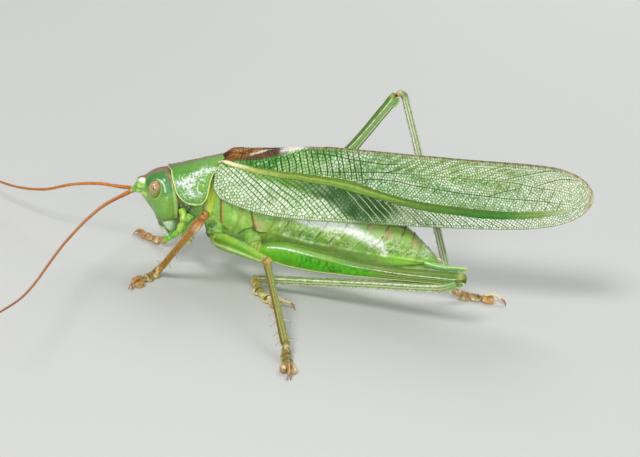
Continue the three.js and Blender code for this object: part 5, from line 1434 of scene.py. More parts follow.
def cast(X, Y, Z, T, pw=2.2):
    """Distance to a body with the sections of T along x."""
    top, bot, half = T(X)
    zc, ah = (top + bot) / 2, (top - bot) / 2
    yy, zz = np.abs(Y) / half, np.abs(Z - zc) / ah
    k = (yy ** pw + zz ** pw) ** (1 / pw)
    k = np.maximum(k, 1e-3)
    gy = (yy / k) ** (pw - 1) / half
    gz = (zz / k) ** (pw - 1) / ah
    d = (k - 1) / np.maximum(np.sqrt(gy ** 2 + gz ** 2), .15)
    return np.maximum(d, np.maximum(T.x[0] - X, X - T.x[-1]))


def head_field(X, Y, Z):
    aY = np.abs(Y)
    d = cast(X, Y, Z, HEADF)
    d = s_min(d, d_ball(X, Y, Z, (-22.05, 0, 9.7), (.6, .42, .42)), .35)            # between the feeler roots
    d = s_min(d, d_ball(X, aY, Z, (-21.75, .98, 9.3), (.62, .58, .6)), .3)
    d = s_min(d, d_ball(X, aY, Z, (-18.7, 1.75, 7.4), (1.25, 1.02, 2.4)), .5)          # cheeks
    d = s_min(d, d_ball(X, aY, Z, (-19.0, 1.7, 9.8), (1.05, .95, 1.3)), .5)
    e = d_ball(X, aY, Z, EYE_C, EYE_R)
    d = s_min(d, s_max(e - .1, aY - 2.42, .08), .12)                                    # the eye's raised rim
    d = s_max(d, -(e - .015), .04)
    # cheek edge over the mandible, and the front edge over the clypeus
    cut = 5.62 + .18 * (X + 19.15)
    d = s_max(d, cut - Z, .12)
    # furrows: below the eye, along the clypeus and beside the rear rim
    rear = np.interp(Z, [6.2, 7.8, 9.0, 10.75, 11.6], [-17.2, -17.42, -17.7, -18.3, -19.0])
    d = d + .05 * bump(X, rear - .18, .07) * (aY > .8)
    ax, az = (-21.2, 8.2), (-19.3, 5.9)
    t = np.clip(((X - ax[0]) * (az[0] - ax[0]) + (Z - ax[1]) * (az[1] - ax[1])) / ((az[0] - ax[0]) ** 2 + (az[1] - ax[1]) ** 2), 0, 1)
    dl = np.sqrt((X - ax[0] - t * (az[0] - ax[0])) ** 2 + (Z - ax[1] - t * (az[1] - ax[1])) ** 2)
    d = d + .035 * np.exp(-((aY - 1.05 - .5 * t) / .1) ** 2) * (X < -19)
    return d


def head():
    V, F = nets(head_field, (-23.2, -3.3, 5.2), (-16.9, 3.3, 12.2), .075)
    x, y, z = V.T
    ay = np.abs(y)
    N = normals(V, F)
    V = V + N * (.012 * vnoise(V, 5.0, 31) + .007 * vnoise(V, 11.0, 32))[:, None]
    g = mixc(lin(112, 162, 58), lin(76, 142, 66), sstep(8.2, 10.4, z))
    g = mixc(g, lin(124, 170, 62), .7 * (1 - sstep(6.2, 8.6, z)) * sstep(-20, -18, x))
    g = mixc(g, lin(96, 168, 104), .55 * np.exp(-(((x + 20.0) / .8) ** 2 + ((z - 6.6) / .9) ** 2)))
    g = mixc(g, lin(96, 150, 92), .5 * bump(z, 6.0, .6) * (x < -18.6))
    g = mixc(g, lin(134, 178, 96), .35 * vnoise(V, 1.6, 33))
    front = (1 - sstep(-22.3, -21.2, x))
    g = mixc(g, lin(170, 216, 100), .8 * front)
    g = mixc(g, lin(206, 236, 150), .6 * front * np.clip(vnoise(V, 3.4, 34) + .2, 0, 1))
    g = mixc(g, lin(40, 70, 26), .75 * bump(np.hypot(x + 20.98, z - 9.72), 0, .15) * (ay > .9))
    # brown stripe over the crown, lighter at its edges
    st = np.exp(-(np.maximum(ay - .55, 0) / .38) ** 2) * sstep(9.4, 10.2, z) * (x < -17.9)
    g = mixc(g, lin(166, 134, 100), .75 * np.exp(-(np.maximum(ay - .85, 0) / .45) ** 2) * sstep(9.6, 10.3, z))
    g = mixc(g, lin(150, 106, 82), st * .85)
    g = mixc(g, lin(128, 84, 60), .7 * np.exp(-(ay / .3) ** 2) * sstep(9.6, 10.2, z))
    # the pale band at the rear and the dark seam behind it
    rear = np.interp(z, [6.2, 7.8, 9.0, 10.75, 11.6], [-17.2, -17.42, -17.7, -18.3, -19.0])
    g = mixc(g, lin(176, 200, 118), .85 * bump(x, rear, .17) * (z < 11.2))
    g = mixc(g, lin(172, 140, 120), .6 * bump(x, rear - .25, .25) * sstep(9.8, 10.6, z) * (z < 11.4))
    g = mixc(g, lin(104, 60, 34), .9 * bump(x, rear + .34, .12))
    # a raised ridge behind the eye with a painted white highlight along it, shaped like a comma, and a darker band
    # beside it
    C = curve([(-20.0, 0, 10.5), (-19.5, 0, 10.38), (-19.05, 0, 9.95), (-18.8, 0, 9.25)], 40)[:, [0, 2]]
    dc = near_line(np.stack([x, z], 1), C)
    tcm = np.interp(x, [-20.1, -19.4, -18.8], [.3, 1, .9])
    side = sstep(1.6, 2.0, ay)
    m = side * np.exp(-(dc / (.085 * tcm + .015)) ** 2) * (.75 + .3 * vnoise(V, 4, 35))
    V = V + N * (.05 * side * np.exp(-(dc / .2) ** 2))[:, None]
    g = mixc(g, lin(240, 250, 236), np.clip(.95 * m, 0, 1))
    g = mixc(g, lin(78, 132, 66), .4 * side * np.exp(-((dc - .28) / .12) ** 2))
    for cx, cz in ((-18.75, 8.55), (-18.55, 8.3), (-18.5, 8.6)):
        g = mixc(g, lin(206, 226, 176), .7 * side * bump(np.hypot(x - cx, z - cz), 0, .07))
    # painted highlights: pale yellow-green flecks on lumps of the face below the feeler roots
    gl = np.clip(vnoise(V, 2.8, 36) + .35, 0, 1) * bump(np.hypot((x + 21.5) / .75, (z - 8.35) / .42), 0, 1)
    V = V + N * (.06 * gl)[:, None]
    g = mixc(g, lin(214, 238, 128), np.clip(1.1 * gl, 0, .9))
    # eye rim, clypeus seam
    e = d_ball(x, ay, z, EYE_C, EYE_R)
    g = mixc(g, lin(150, 176, 96), .6 * bump(e, .2, .06))
    g = mixc(g, lin(110, 104, 40), .8 * (e < .05))
    g = mixc(g, lin(176, 196, 96), .6 * bump(e, .12, .05))
    cut = 5.62 + .18 * (x + 19.15)
    g = mixc(g, lin(120, 108, 50), .8 * bump(z, cut + .02, .1) * (ay > .5))
    g = mixc(g, lin(150, 100, 48), .6 * bump(np.hypot(x + 19.2, z - 5.8), 0, .22))
    g = mixc(g, lin(52, 92, 40), .5 * (1 - sstep(.0, .35, np.abs((x + 22.63) * -.78 - (z - 7.0) * .62) * 0 + 1)))
    return V, F, g


hv, hf, ht = head()
print("head", len(hv))
build("head_capsule", lean(hv), hf, head_mat, ht, stands=["head"])


# ------------------------------------------------------------------ eyes
def eye(side):
    """A compound eye: facets on a spiral lattice, low domes with fine seams."""
    n1, n2 = 150, 220
    u = np.linspace(0.02, math.pi - .02, n1)
    w = np.linspace(0, 2 * math.pi, n2, endpoint=False)
    U_, W_ = np.meshgrid(u, w, indexing="ij")
    D = np.stack([np.sin(U_) * np.cos(W_), np.cos(U_), np.sin(U_) * np.sin(W_)], -1).reshape(-1, 3)
    # facet centres on a golden spiral
    nf = 2600
    k = np.arange(nf) + .5
    ph, th = np.arccos(1 - 2 * k / nf), math.pi * (1 + 5 ** .5) * k
    FC = np.stack([np.sin(ph) * np.cos(th), np.cos(ph), np.sin(ph) * np.sin(th)], 1)
    from mathutils import kdtree
    kd = kdtree.KDTree(nf)
    for i, c in enumerate(FC):
        kd.insert(c, i)
    kd.balance()
    d1 = np.empty(len(D))
    for i, p in enumerate(D):
        d1[i] = kd.find(p)[2]
    pitch = math.sqrt(4 * math.pi / nf) * .58
    dome = 1 - np.clip(d1 / pitch, 0, 1.1) ** 2
    R = EYE_R * [1, 1.12, 1]
    V = D * R
    N = D / R
    N /= np.linalg.norm(N, axis=1)[:, None]
    V = V + N * (dome * .0035)[:, None]
    V = V * [1, side, 1] + [EYE_C[0], side * EYE_C[1], EYE_C[2]]
    i, j = np.meshgrid(np.arange(n1 - 1), np.arange(n2), indexing="ij")
    kk = (j + 1) % n2
    F = np.stack([i * n2 + j, i * n2 + kk, (i + 1) * n2 + kk, (i + 1) * n2 + j], -1).reshape(-1, 4)
    c0, c1 = len(V), len(V) + 1
    V = np.concatenate([V, [[EYE_C[0], side * (EYE_C[1] + R[1]), EYE_C[2]], [EYE_C[0], side * (EYE_C[1] - R[1]), EYE_C[2]]]])
    D = np.concatenate([D, [[0, 1, 0], [0, -1, 0]]])
    dome = np.append(dome, [1, 1])
    jj = np.arange(n2)
    k2 = (jj + 1) % n2
    e = (n1 - 1) * n2
    caps = np.concatenate([np.stack([np.full(n2, c0), k2, jj], -1), np.stack([np.full(n2, c1), e + jj, e + k2], -1)])
    F = F[:, ::-1] if side < 0 else F
    caps = caps[:, ::-1] if side < 0 else caps
    h = D[:, 2]
    g = mixc(lin(146, 156, 74), lin(194, 158, 118), sstep(-.35, .45, h))
    g = mixc(g, lin(176, 152, 98), .5 * bump(h, .0, .3))
    g = mixc(g, lin(186, 184, 104), .55 * sstep(.45, .85, -D[:, 0]) * (h < .5))
    g = mixc(g, lin(120, 128, 50), .6 * sstep(.6, .95, -h))
    g = mixc(g, lin(112, 96, 44), .8 * (1 - sstep(.02, .26, D[:, 1])))
    pup = np.sqrt((D[:, 0] - .02) ** 2 + (D[:, 2] - .2) ** 2) + (D[:, 1] < 0) * 3
    g = mixc(g, lin(66, 40, 26), .9 * np.exp(-(pup / .2) ** 2))
    for ax, az in ((.02, .5), (.27, .36), (-.25, .36), (.28, .04), (-.25, .04), (.02, -.14)):
        q = np.sqrt((D[:, 0] - ax) ** 2 + (D[:, 2] - az) ** 2) + (D[:, 1] < 0) * 3
        g = mixc(g, lin(140, 98, 70), .4 * np.exp(-(q / .08) ** 2))
    # painted glint: a white dot in the dark pseudopupil
    q = np.sqrt((D[:, 0] - .1) ** 2 + (D[:, 2] - .24) ** 2) + (D[:, 1] < 0) * 3
    g = mixc(g, lin(255, 252, 246), .95 * np.exp(-(q / .1) ** 4))
    g = g * (.8 + .2 * np.clip(dome, 0, 1))[:, None]
    return V, [F, caps], g


eye_mat = skin("eye_lens", rough=.2, rough_var=.05, value_var=.05, hue_var=.01, grain=3500, blotch=700, bump_size=.2, bump_mm=.002, pores=.3, pore_scale=15000, coat=1.0, coat_rough=.05, spec=.5)
for side, word in ((-1, "left"), (1, "right")):
    V, F, g = eye(side)
    build("compound_eye_" + word, lean(V), F, eye_mat, g, stands=["eye_" + word])


# ------------------------------------------------------------------ mouthparts
def mandible_field(side):
    def f(X, Y, Z):
        y = Y * side
        d = d_ball(X, y, Z, (-18.15, 1.28, 5.0), (.98, 1.05, 1.35))
        d = s_min(d, d_bone(X, y, Z, (-18.0, 1.25, 4.6), (-17.45, .62, 3.5), .62, .3), .35)
        d = s_max(d, Z - (5.56 + .18 * (X + 19.15)), .1)
        d = s_max(d, .12 - y, .08)
        d = s_max(d, -((X + 19.15) * .66 - (5.6 - Z) * .75) * 1.0 + .0, .1)
        return d
    return f


def labrum_field(X, Y, Z):
    # clypeus, then the upper lip, in the plane of the face
    d = s_min(d_bone(X, np.abs(Y), Z, (-19.3, .75, 5.5), (-18.75, .8, 4.75), .36, .36), d_bone(X, np.abs(Y), Z, (-18.8, .7, 4.6), (-17.95, .55, 3.45), .36, .24), .1)
    d = s_min(d, d_ball(X, Y, Z, (-19.0, 0, 5.05), (.5, 1.15, .62)), .2)
    d = s_min(d, d_ball(X, Y, Z, (-18.35, 0, 4.0), (.42, .95, .75)), .2)
    seam = (X + 18.85) * .62 + (Z - 4.72) * .78
    d = d + .07 * np.exp(-(seam / .07) ** 2)
    return s_max(d, Z - 5.62, .1)


V, F = nets(labrum_field, (-20.0, -1.6, 3.0), (-17.4, 1.6, 6.0), .06)
x, y, z = V.T
g = mixc(lin(122, 164, 96), lin(196, 214, 172), 1 - sstep(3.5, 4.1, z))
g = mixc(g, lin(146, 176, 116), sstep(4.8, 5.4, z))
g = mixc(g, lin(112, 78, 36), .85 * np.exp(-(((x + 18.85) * .62 + (z - 4.72) * .78) / .09) ** 2))
g = mixc(g, lin(224, 234, 206), .8 * bump(np.abs(y), .95, .15) * (z < 4.7))
build("labrum_plate", lean(V), F, mouth_mat, g, stands=["labrum"])

for side, word in ((-1, "left"), (1, "right")):
    lo, hi = sorted([side * .05, side * 2.6])
    V, F = nets(mandible_field(side), (-19.4, lo, 3.1), (-16.9, hi, 6.1), .06)
    x, y, z = V.T
    g = mixc(lin(150, 188, 128), lin(176, 204, 160), sstep(4.2, 5.2, z))
    g = mixc(g, lin(118, 160, 96), .4 * vnoise(V, 2.5, 41))
    g = mixc(g, lin(86, 48, 24), .9 * (1 - sstep(3.45, 3.85, z)))
    edge = -((x + 19.15) * .66 - (5.6 - z) * .75)
    g = mixc(g, lin(112, 74, 36), .85 * (1 - sstep(.02, .14, np.abs(edge))))
    N = normals(V, F)
    V = V + N * (.02 * vnoise(V, 4.0, 42))[:, None]
    build("jaw_" + word, lean(V), F, mouth_mat, g, stands=["mandible_" + word])


def jointed(path, radii, joints, up=(0, 0, 1), step=.06, sides=22, flat=1.0, neck=.3, swell=.12, colours=None):
    """A jointed limb such as a palp: narrow at its joints, swollen towards each segment's end."""
    P = curve(path, max(int(np.linalg.norm(np.diff(np.array(path, float), axis=0), axis=1).sum() / step), 12))
    L = np.concatenate([[0], np.cumsum(np.linalg.norm(np.diff(P, axis=0), axis=1))])
    t = L / L[-1]
    r = np.interp(t, np.linspace(0, 1, len(radii)), radii)
    ed = np.array([0] + list(joints) + [1.0])
    k = np.clip(np.searchsorted(ed, t, side="right") - 1, 0, len(ed) - 2)
    ph = (t - ed[k]) / (ed[k + 1] - ed[k])
    r = r * (1 + swell * (ph - .5))
    dist = np.min(np.abs(t[:, None] - np.array(list(joints) + [9])[None]), axis=1) * L[-1]
    r = r * (1 - neck * np.exp(-(dist / (.7 * r)) ** 2))
    e1 = (1 - t) * L[-1]
    r = r * np.sqrt(np.clip(1 - (1 - np.clip(e1 / (r * 1.1), 0, 1)) ** 2, .03, 1))
    V, F, tt, aa = tube(P, r, r * flat, sides, up)
    return V, F, tt, aa, dist


for side, word in ((-1, "left"), (1, "right")):
    V, F, tt, aa, dist = jointed([(-16.75, side * 2.0, 7.3), (-16.35, side * 2.3, 6.6), (-16.35, side * 2.35, 5.4), (-16.85, side * 2.3, 4.4), (-17.7, side * 2.1, 3.6), (-18.4, side * 2.0, 3.05)],
                                 [.38, .56, .6, .5, .36, .31, .3], (.16, .3, .56, .78), up=(0, 1, 0))
    g = mixc(lin(150, 200, 62), lin(96, 186, 24), sstep(.5, .75, tt))
    g = mixc(g, lin(206, 232, 130), .6 * np.clip(vnoise(V, 3.2, 43) + .2, 0, 1))
    g = mixc(g, lin(104, 130, 40), .5 * bump(tt, .3, .02) + .5 * bump(tt, .56, .02) + .5 * bump(tt, .78, .018))
    g = mixc(g, lin(196, 200, 128), sstep(.94, 1, tt) * .7)
    V = V + .012 * vnoise(V, 7, 44)[:, None] * normals(V, F)
    build("long_palp_" + word, lean(V), F, mouth_mat, g, stands=["palp_maxillary_" + word])
    V, F, tt, aa, dist = jointed([(-16.5, side * .85, 4.3), (-16.15, side * 1.0, 3.55), (-15.7, side * 1.1, 3.2), (-14.95, side * 1.15, 3.3)], [.2, .24, .24, .3], (.32, .62), up=(0, 1, 0))
    g = mixc(lin(176, 200, 132), lin(206, 214, 170), sstep(.3, .8, tt))
    g = mixc(g, lin(206, 160, 134), .8 * sstep(.86, .97, tt))
    g = mixc(g, lin(150, 160, 96), .5 * bump(tt, .32, .03) + .5 * bump(tt, .62, .03))
    build("short_palp_" + word, lean(V), F, mouth_mat, g, stands=["palp_labial_" + word])


# ------------------------------------------------------------------ legs
leg_mat = skin("leg_cuticle", rough=.48, rough_var=.1, value_var=.11, hue_var=.016, grain=2300, blotch=420, bump_size=.5, bump_mm=.014, pores=.5, pore_scale=6500, coat=.06, coat_rough=.2, sss=.08, spec=.3)
shin_mat = skin("shin_cuticle", rough=.34, rough_var=.1, value_var=.13, hue_var=.018, grain=2600, blotch=520, bump_size=.5, bump_mm=.012, pores=.3, pore_scale=7000, coat=.3, coat_rough=.2, sss=.06)
foot_mat = skin("foot_cuticle", rough=.36, rough_var=.1, value_var=.12, hue_var=.018, grain=2800, blotch=600, bump_size=.5, bump_mm=.012, pores=.5, pore_scale=8000, coat=.3, coat_rough=.2, sss=.1)

LEGS = {
    "fore_left": dict(side=-1, hip=(-15.64, -1.9, 4.75), knee=(-13.17, -9.61, 10.43), ankle=(-17.93, -5.39, 1.34)),
    "fore_right": dict(side=1, hip=(-15.66, 2.2, 4.1), knee=(-13.77, 9.94, 9.53), ankle=(-18.57, 4.73, 1.13)),
    "mid_left": dict(side=-1, hip=(-12.15, -2.7, 5.0), knee=(-5.06, -11.26, 6.33), ankle=(-1.76, -22.48, 1.25)),
    "mid_right": dict(side=1, hip=(-12.1, 2.9, 3.9), knee=(-6.3, 12.1, 8.2), ankle=(-3.6, 21.6, 1.2)),
    "hind_left": dict(side=-1, hip=(-7.07, -3.55, 4.84), knee=(17.7, -8.4, 6.85), ankle=(-6.75, -3.83, 1.12), sag=.64),
    "hind_right": dict(side=1, hip=(-7.09, 4.05, 4.1), knee=(6.87, 13.2, 21.6), ankle=(17.18, 1.62, 1.1), sag=.8),
}
COXA_ROOT = dict(fore=(-15.9, 1.3, 6.4), mid=(-12.7, 1.75, 6.5), hind=(-8.3, 1.7, 5.9))
COXA_GIRTH = dict(fore=.78, mid=1.12, hind=1.12)
FEMUR_SMALL = Track([[0, .2, .2], [.008, .34, .34], [.03, .46, .5], [.25, .55, .68], [.6, .48, .6], [.86, .42, .5], [.95, .48, .54], [.985, .4, .44], [.997, .22, .24], [1, .05, .05]])
FEMUR_ROWS = [[0, .2, .2], [.004, .35, .4], [.015, .5, .62], [.07, .68, 1.2], [.16, .82, 1.48], [.3, .8, 1.34], [.4, .72, 1.14], [.49, .64, .98], [.6, .54, .86], [.72, .49, .79],
                    [.86, .46, .79], [.945, .5, .8], [.98, .46, .7], [.995, .32, .5], [1, .05, .05]]
FEMUR_HIND = Track(FEMUR_ROWS)
FEMUR_HIND_RIGHT = Track([[a, b, c * float(np.interp(a, [0, .3, .5, 1], [1, 1, .82, .8]))] for a, b, c in FEMUR_ROWS])
SAG = Track([[0, 0], [.05, .1], [.16, .34], [.3, .76], [.4, .92], [.5, 1.0], [.6, 1.0], [.72, .86], [.86, .52], [.95, .3], [1, 0]])
FEMUR_MID = Track([[0, .3, .35], [.008, .5, .6], [.03, .6, .8], [.1, .66, .98], [.25, .62, .94], [.45, .56, .84], [.65, .5, .7], [.86, .43, .54], [.95, .48, .54], [.985, .4, .44], [.997, .22, .24], [1, .05, .05]])
TIBIA = dict(
    fore=Track([[0, .2, .2], [.01, .36, .38], [.04, .46, .48], [.09, .42, .5], [.16, .56, .7], [.24, .56, .68], [.32, .44, .48], [.7, .38, .42], [.94, .4, .44], [.99, .34, .36], [1, .1, .1]]),
    mid=Track([[0, .2, .2], [.01, .32, .34], [.035, .4, .44], [.1, .34, .38], [.3, .32, .36], [.6, .34, .38], [.8, .38, .42], [.95, .41, .45], [.99, .34, .36], [1, .1, .1]]),
    hind=Track([[0, .2, .22], [.006, .32, .34], [.03, .4, .42], [.07, .4, .47], [.3, .41, .46], [.6, .42, .45], [.94, .42, .44], [.985, .38, .4], [1, .1, .1]]))


def thorn(at, d, length, r, bend=None, sides=6, rings=5, tip=.012):
    at, d = np.asarray(at, float), np.asarray(d, float)
    d = d / np.linalg.norm(d)
    s = np.linspace(0, 1, rings)
    path = at + d * (s * length)[:, None]
    if bend is not None:
        path = path + np.asarray(bend, float) * (s ** 2 * length)[:, None]
    w = tip + (r - tip) * (1 - s) ** .8
    up = (0, 0, 1) if abs(d[2]) < .8 else (1, 0, 0)
    V, F, t, a = tube(path, w, w, sides, up)
    return V, F, t


def limb(path, rows, up, side, n, sides, power=2.2):
    """A limb's skin with its own coordinates: t along it, sv 1 on the bending side, cv 1 on the outer side."""
    P = curve(path, n)
    L = np.linalg.norm(np.diff(P, axis=0), axis=1).sum()
    s = np.linspace(0, 1, n)
    s = np.interp(s, [0, .04, .96, 1], [0, .012, .988, 1])        # closer rings at the round ends
    P = curve(path, n, t=s)
    hw, hd = rows(s)
    V, F, t, a = tube(P, hw, hd, sides, up, power=power)
    T, S, B = frames(P, up)
    out = 1.0 if (S[n // 2] @ np.array([0, side, 0])) > 0 else -1.0
    t = np.concatenate([np.repeat(s, sides), [0, 1]])
    sv, cv = np.sin(a), np.cos(a) * out
    N = normals(V, F)
    return V, F, t, sv, cv, N, L, P, T, S * out, B


def ridge(x, c, w):
    return np.exp(-((x - c) / w) ** 2)


def herring(t, sv, L, pitch):
    k = t * L / pitch + np.abs(sv + .1) * 1.5
    return np.cos(2 * math.pi * k)


def hairs(V, N, T, where, count, length, r, colour, seed, lean_to=.8):
    """Short fine hairs rooted on a skin."""
    rng = np.random.default_rng(seed)
    ids = np.flatnonzero(where)
    if not len(ids):
        return []
    out = []
    for i in rng.choice(ids, min(count, len(ids)), replace=False):
        d = N[i] + np.asarray(T) * lean_to + rng.normal(0, .12, 3)
        ln = length * rng.uniform(.6, 1.15)
        v, f, _ = thorn(V[i] - N[i] * .03, d, ln, r, bend=-N[i] * .25, sides=4, rings=4, tip=.006)
        out.append((v, f, np.asarray(colour) * rng.uniform(.85, 1.1)))
    return out


def coxa(name, leg):
    kind, side = name.split("_")[0], leg["side"]
    rx, ry, rz = COXA_ROOT[kind]
    g = COXA_GIRTH[kind]
    hip = np.array(leg["hip"])
    e = unlean(hip)
    a = np.array((rx, side * ry, rz))
    m = np.array((rx + (e[0] - rx) * .5, side * ry + (e[1] - side * ry) * .55, rz + (e[2] - rz) * .5))
    P = lean(np.array([a, m, e]))
    if kind == "hind":
        rows = Track([[0, g * .5, g * .5], [.25, g * .78, g * .74], [.5, g * .98, g * .88], [.74, g * .96, g * .84], [.88, g * .72, g * .68], [.96, g * .48, g * .46], [1, .05, .05]])
    else:
        rows = Track([[0, g, g], [.3, g * 1.04, g * 1.0], [.6, g * .95, g * .93], [.8, g * .8, g * .8], [.9, g * .62, g * .62], [.97, g * .45, g * .45], [1, .05, .05]])
    V, F, t, sv, cv, N, L, *_ = limb(P, rows, (1, 0, .2), side, 46, 40, 2.1)
    disp = .09 * vnoise(V, 1.5, 50) + .07 * np.clip(1 - np.abs(vnoise(V, 2.2, 58)) * 4, 0, 1) + .05 * vnoise(V, 2.6, 51) + .03 * vnoise(V, 6.0, 52) - .06 * ridge(t, .84, .02) + .03 * ridge(t, .9, .03) - .05 * ridge(cv, .2, .12) * (t > .2) * (t < .8)
    V = V + N * disp[:, None]
    g1 = mixc(lin(116, 170, 58), lin(146, 192, 82), .5 + .5 * vnoise(V, 1.6, 53))
    # painted shade: parts of the mid and fore hips are painted dark green for the shade among the parts around them
    if kind == "mid":
        g1 = mixc(g1, lin(52, 98, 22), .9 * sstep(.1, .5, t) * (1 - sstep(hip[0] - .5, hip[0] + .4, V[:, 0])))
    if kind == "fore":
        g1 = mixc(g1, lin(56, 104, 22), .75 * sstep(.15, .5, t))
    g1 = mixc(g1, lin(196, 220, 146), .45 * np.clip(1 - np.abs(vnoise(V, 2.2, 58)) * 4, 0, 1))
    g1 = mixc(g1, lin(96, 120, 44), .7 * ridge(t, .84, .03))
    g1 = mixc(g1, lin(176, 190, 96), .6 * sstep(.88, .96, t))
    parts = [(V, F, g1)]
    # trochanter
    thigh = np.array(leg["knee"]) - hip
    thigh /= np.linalg.norm(thigh)
    r = {"fore": .48, "mid": .68, "hind": .8}[kind]
    rows = Track([[0, .05, .05], [.1, r * .62, r * .62], [.35, r, r], [.6, r * 1.02, r * 1.02], [.85, r * .8, r * .8], [.97, r * .4, r * .4], [1, .05, .05]])
    V, F, t, sv, cv, N, L, *_ = limb([hip - thigh * .42, hip + thigh * .75], rows, (0, 0, 1), side, 26, 32, 2.0)
    V = V + N * (.03 * vnoise(V, 5, 54) - .04 * ridge(t, .55, .05))[:, None]
    g2 = mixc(lin(126, 178, 60), lin(186, 190, 96), .5 + .5 * vnoise(V, 2.2, 55))
    g2 = mixc(g2, lin(100, 70, 30), .7 * ridge(t, .55, .06))
    parts.append((V, F, g2))
    Vm, Fm, Tm = merged(parts)
    build("hip_" + name, Vm, Fm, leg_mat, Tm, stands=["coxa_" + name])


def femur(name, leg):
    kind, side = name.split("_")[0], leg["side"]
    hip, knee, ankle = (np.array(leg[k], float) for k in ("hip", "knee", "ankle"))
    thigh = knee - hip
    thigh /= np.linalg.norm(thigh)
    shin = ankle - knee
    shin /= np.linalg.norm(shin)
    bend = shin - (shin @ thigh) * thigh
    bend /= np.linalg.norm(bend)
    start = hip + thigh * .26
    if kind == "hind":
        q = np.linspace(0, 1, 15)
        path = start + (knee - start) * q[:, None] + bend * (SAG(q)[0] * leg["sag"])[:, None]
        rows = FEMUR_HIND if side < 0 else FEMUR_HIND_RIGHT
        V, F, t, sv, cv, N, L, P, T, S, B = limb(path, rows, bend, side, 330, 108, 2.05)
        vis = 1.0 if side < 0 else -1.0                     # both faces are worked alike
        top_line = np.interp(t, [0, .1, .28, .42, .6, .75, 1], [-.55, -.62, -.56, -.42, -.36, -.24, -.1])
        face = sstep(.12, .35, np.abs(cv))
        dash = vnoise(np.stack([t * L + .5 * np.abs(sv + .1), sv * .36, 0 * t], 1), 5.4, 49)
        hb = .14 * herring(t, sv + .3 * vnoise(V, 1.6, 59), L, .34) * (.55 + .45 * vnoise(V, 2.6, 60)) + .95 * dash + .85 * vnoise(V, 5.6, 48)
        inside = face * sstep(.06, .12, sv - top_line) * (1 - sstep(.62, .78, sv)) * sstep(.04, .09, t) * (1 - sstep(.56, .68, t))
        disp = .016 * hb * inside
        disp += .055 * face * .55 * ridge(sv, top_line, .045) * sstep(.03, .07, t) * (1 - sstep(.965, .98, t))
        disp += -.03 * face * ridge(sv, top_line + .16, .06) * sstep(.5, .6, t) * (1 - sstep(.95, .97, t))
        low = np.interp(t, [0, .5, .7, 1], [.82, .8, .68, .7])
        disp += .05 * face * ridge(sv, low, .05) * sstep(.05, .1, t) * (1 - sstep(.95, .97, t))
        disp += -.1 * sstep(.94, .99, sv) * (1 - sstep(.93, .96, t)) * sstep(.03, .1, t) * (np.abs(cv) < .25)
        disp += .04 * ridge(sv, -.985, .02)
        for c in (.12, .42):
            disp += .022 * face * ridge(sv, c, .06) * sstep(.62, .72, t) * (1 - sstep(.95, .965, t))
        disp += .02 * vnoise(V, 1.4, 61) + .008 * vnoise(V, 7.0, 62)
        V = V + N * disp[:, None]
        far = np.abs(cv)
        g = mixc(lin(124, 186, 56), lin(92, 172, 24), sstep(-.5, .1, sv))
        dark = inside * np.interp(t, [.05, .16, .3, .46, .6, .68], [.2, .45, .95, 1, .6, 0])
        g = mixc(g, lin(76, 168, 12), dark * .85)
        g = mixc(g, lin(30, 92, 4), np.clip(dark * (.3 - .8 * hb), 0, 1) * .85)
        g = mixc(g, lin(104, 158, 22), np.clip(dark * (hb * .5 + .1), 0, 1) * .3)
        g = mixc(g, lin(120, 132, 40), .6 * ridge(sv, .74, .14) * sstep(.1, .16, t) * (1 - sstep(.45, .6, t)))
        g = mixc(g, lin(100, 156, 52), .8 * (1 - sstep(-.7, -.5, sv)) * (1 - sstep(.35, .5, t)))
        g = mixc(g, lin(92, 126, 46), .85 * (sv < top_line) * sstep(.3, .5, t))
        g = mixc(g, lin(74, 128, 30), .6 * ridge(sv, top_line + .13, .1) * sstep(.2, .3, t) * (1 - sstep(.5, .62, t)))
        g = mixc(g, lin(96, 104, 44), .75 * ridge(sv, -.93, .05) * sstep(.05, .3, t))
        thin = sstep(.5, .66, t)
        g = mixc(g, lin(100, 128, 42), thin * .92)
        g = mixc(g, lin(56, 84, 26), thin * .85 * (ridge(sv, top_line + .16, .07) + ridge(sv, .27, .05) + ridge(sv, .57, .06)))
        g = mixc(g, lin(150, 178, 100), thin * .6 * (ridge(sv, .12, .06) + ridge(sv, .42, .06)))
        # painted highlight: a white streak along the top ridge, standing in for the glint of light on it
        streak_glint = face * ridge(sv, top_line + .015, np.interp(t, [0, .24, .32, .6], [.056, .05, .032, .055])) * sstep(.03, .055, t) * (1 - sstep(.955, .97, t))
        strength = np.interp(t, [.03, .05, .16, .25, .3, .38, .46, .6, .66, .95, 1], [.1, 1.3, 1.4, 1.1, .05, .0, .55, .9, 1.3, 1.35, .2])
        if side > 0:
            g = mixc(g, lin(136, 176, 96), .55 * thin * (sv > top_line))
            g = mixc(g, lin(76, 120, 40), .5 * thin * (sv < top_line))
            strength = np.interp(t, [.05, .2, .5, .95, 1], [.6, 1, 1.5, 1.6, .2])
        spark = .72 + .7 * vnoise(V, 6.5, 63)
        g = mixc(g, lin(236, 248, 226), np.clip(streak_glint * strength * spark, 0, 1))
        bl = face * ridge(sv, low, .06) * sstep(.06, .1, t) * (1 - sstep(.94, .96, t))
        g = mixc(g, lin(226, 236, 176) if side < 0 else lin(236, 246, 222), np.clip(bl * np.interp(t, [0, .1, .35, .6, .8, 1], [.5, 1, 1, 1, .9, .7]), 0, 1))
        g = mixc(g, lin(104, 108, 36), .7 * sstep(.955, .985, sv) * (1 - sstep(.93, .95, t)))
        # knee
        kn = sstep(.955, .975, t)
        g = mixc(g, lin(112, 146, 46), kn * .8)
        g = mixc(g, lin(170, 182, 96), .8 * ridge(t, .975, .012) * (sv < -.1))
        g = mixc(g, lin(104, 52, 18), 1.0 * np.exp(-(((t - .986) / .014) ** 2 + ((sv - .32) / .55) ** 2)))
        parts = [(V, F, g)]
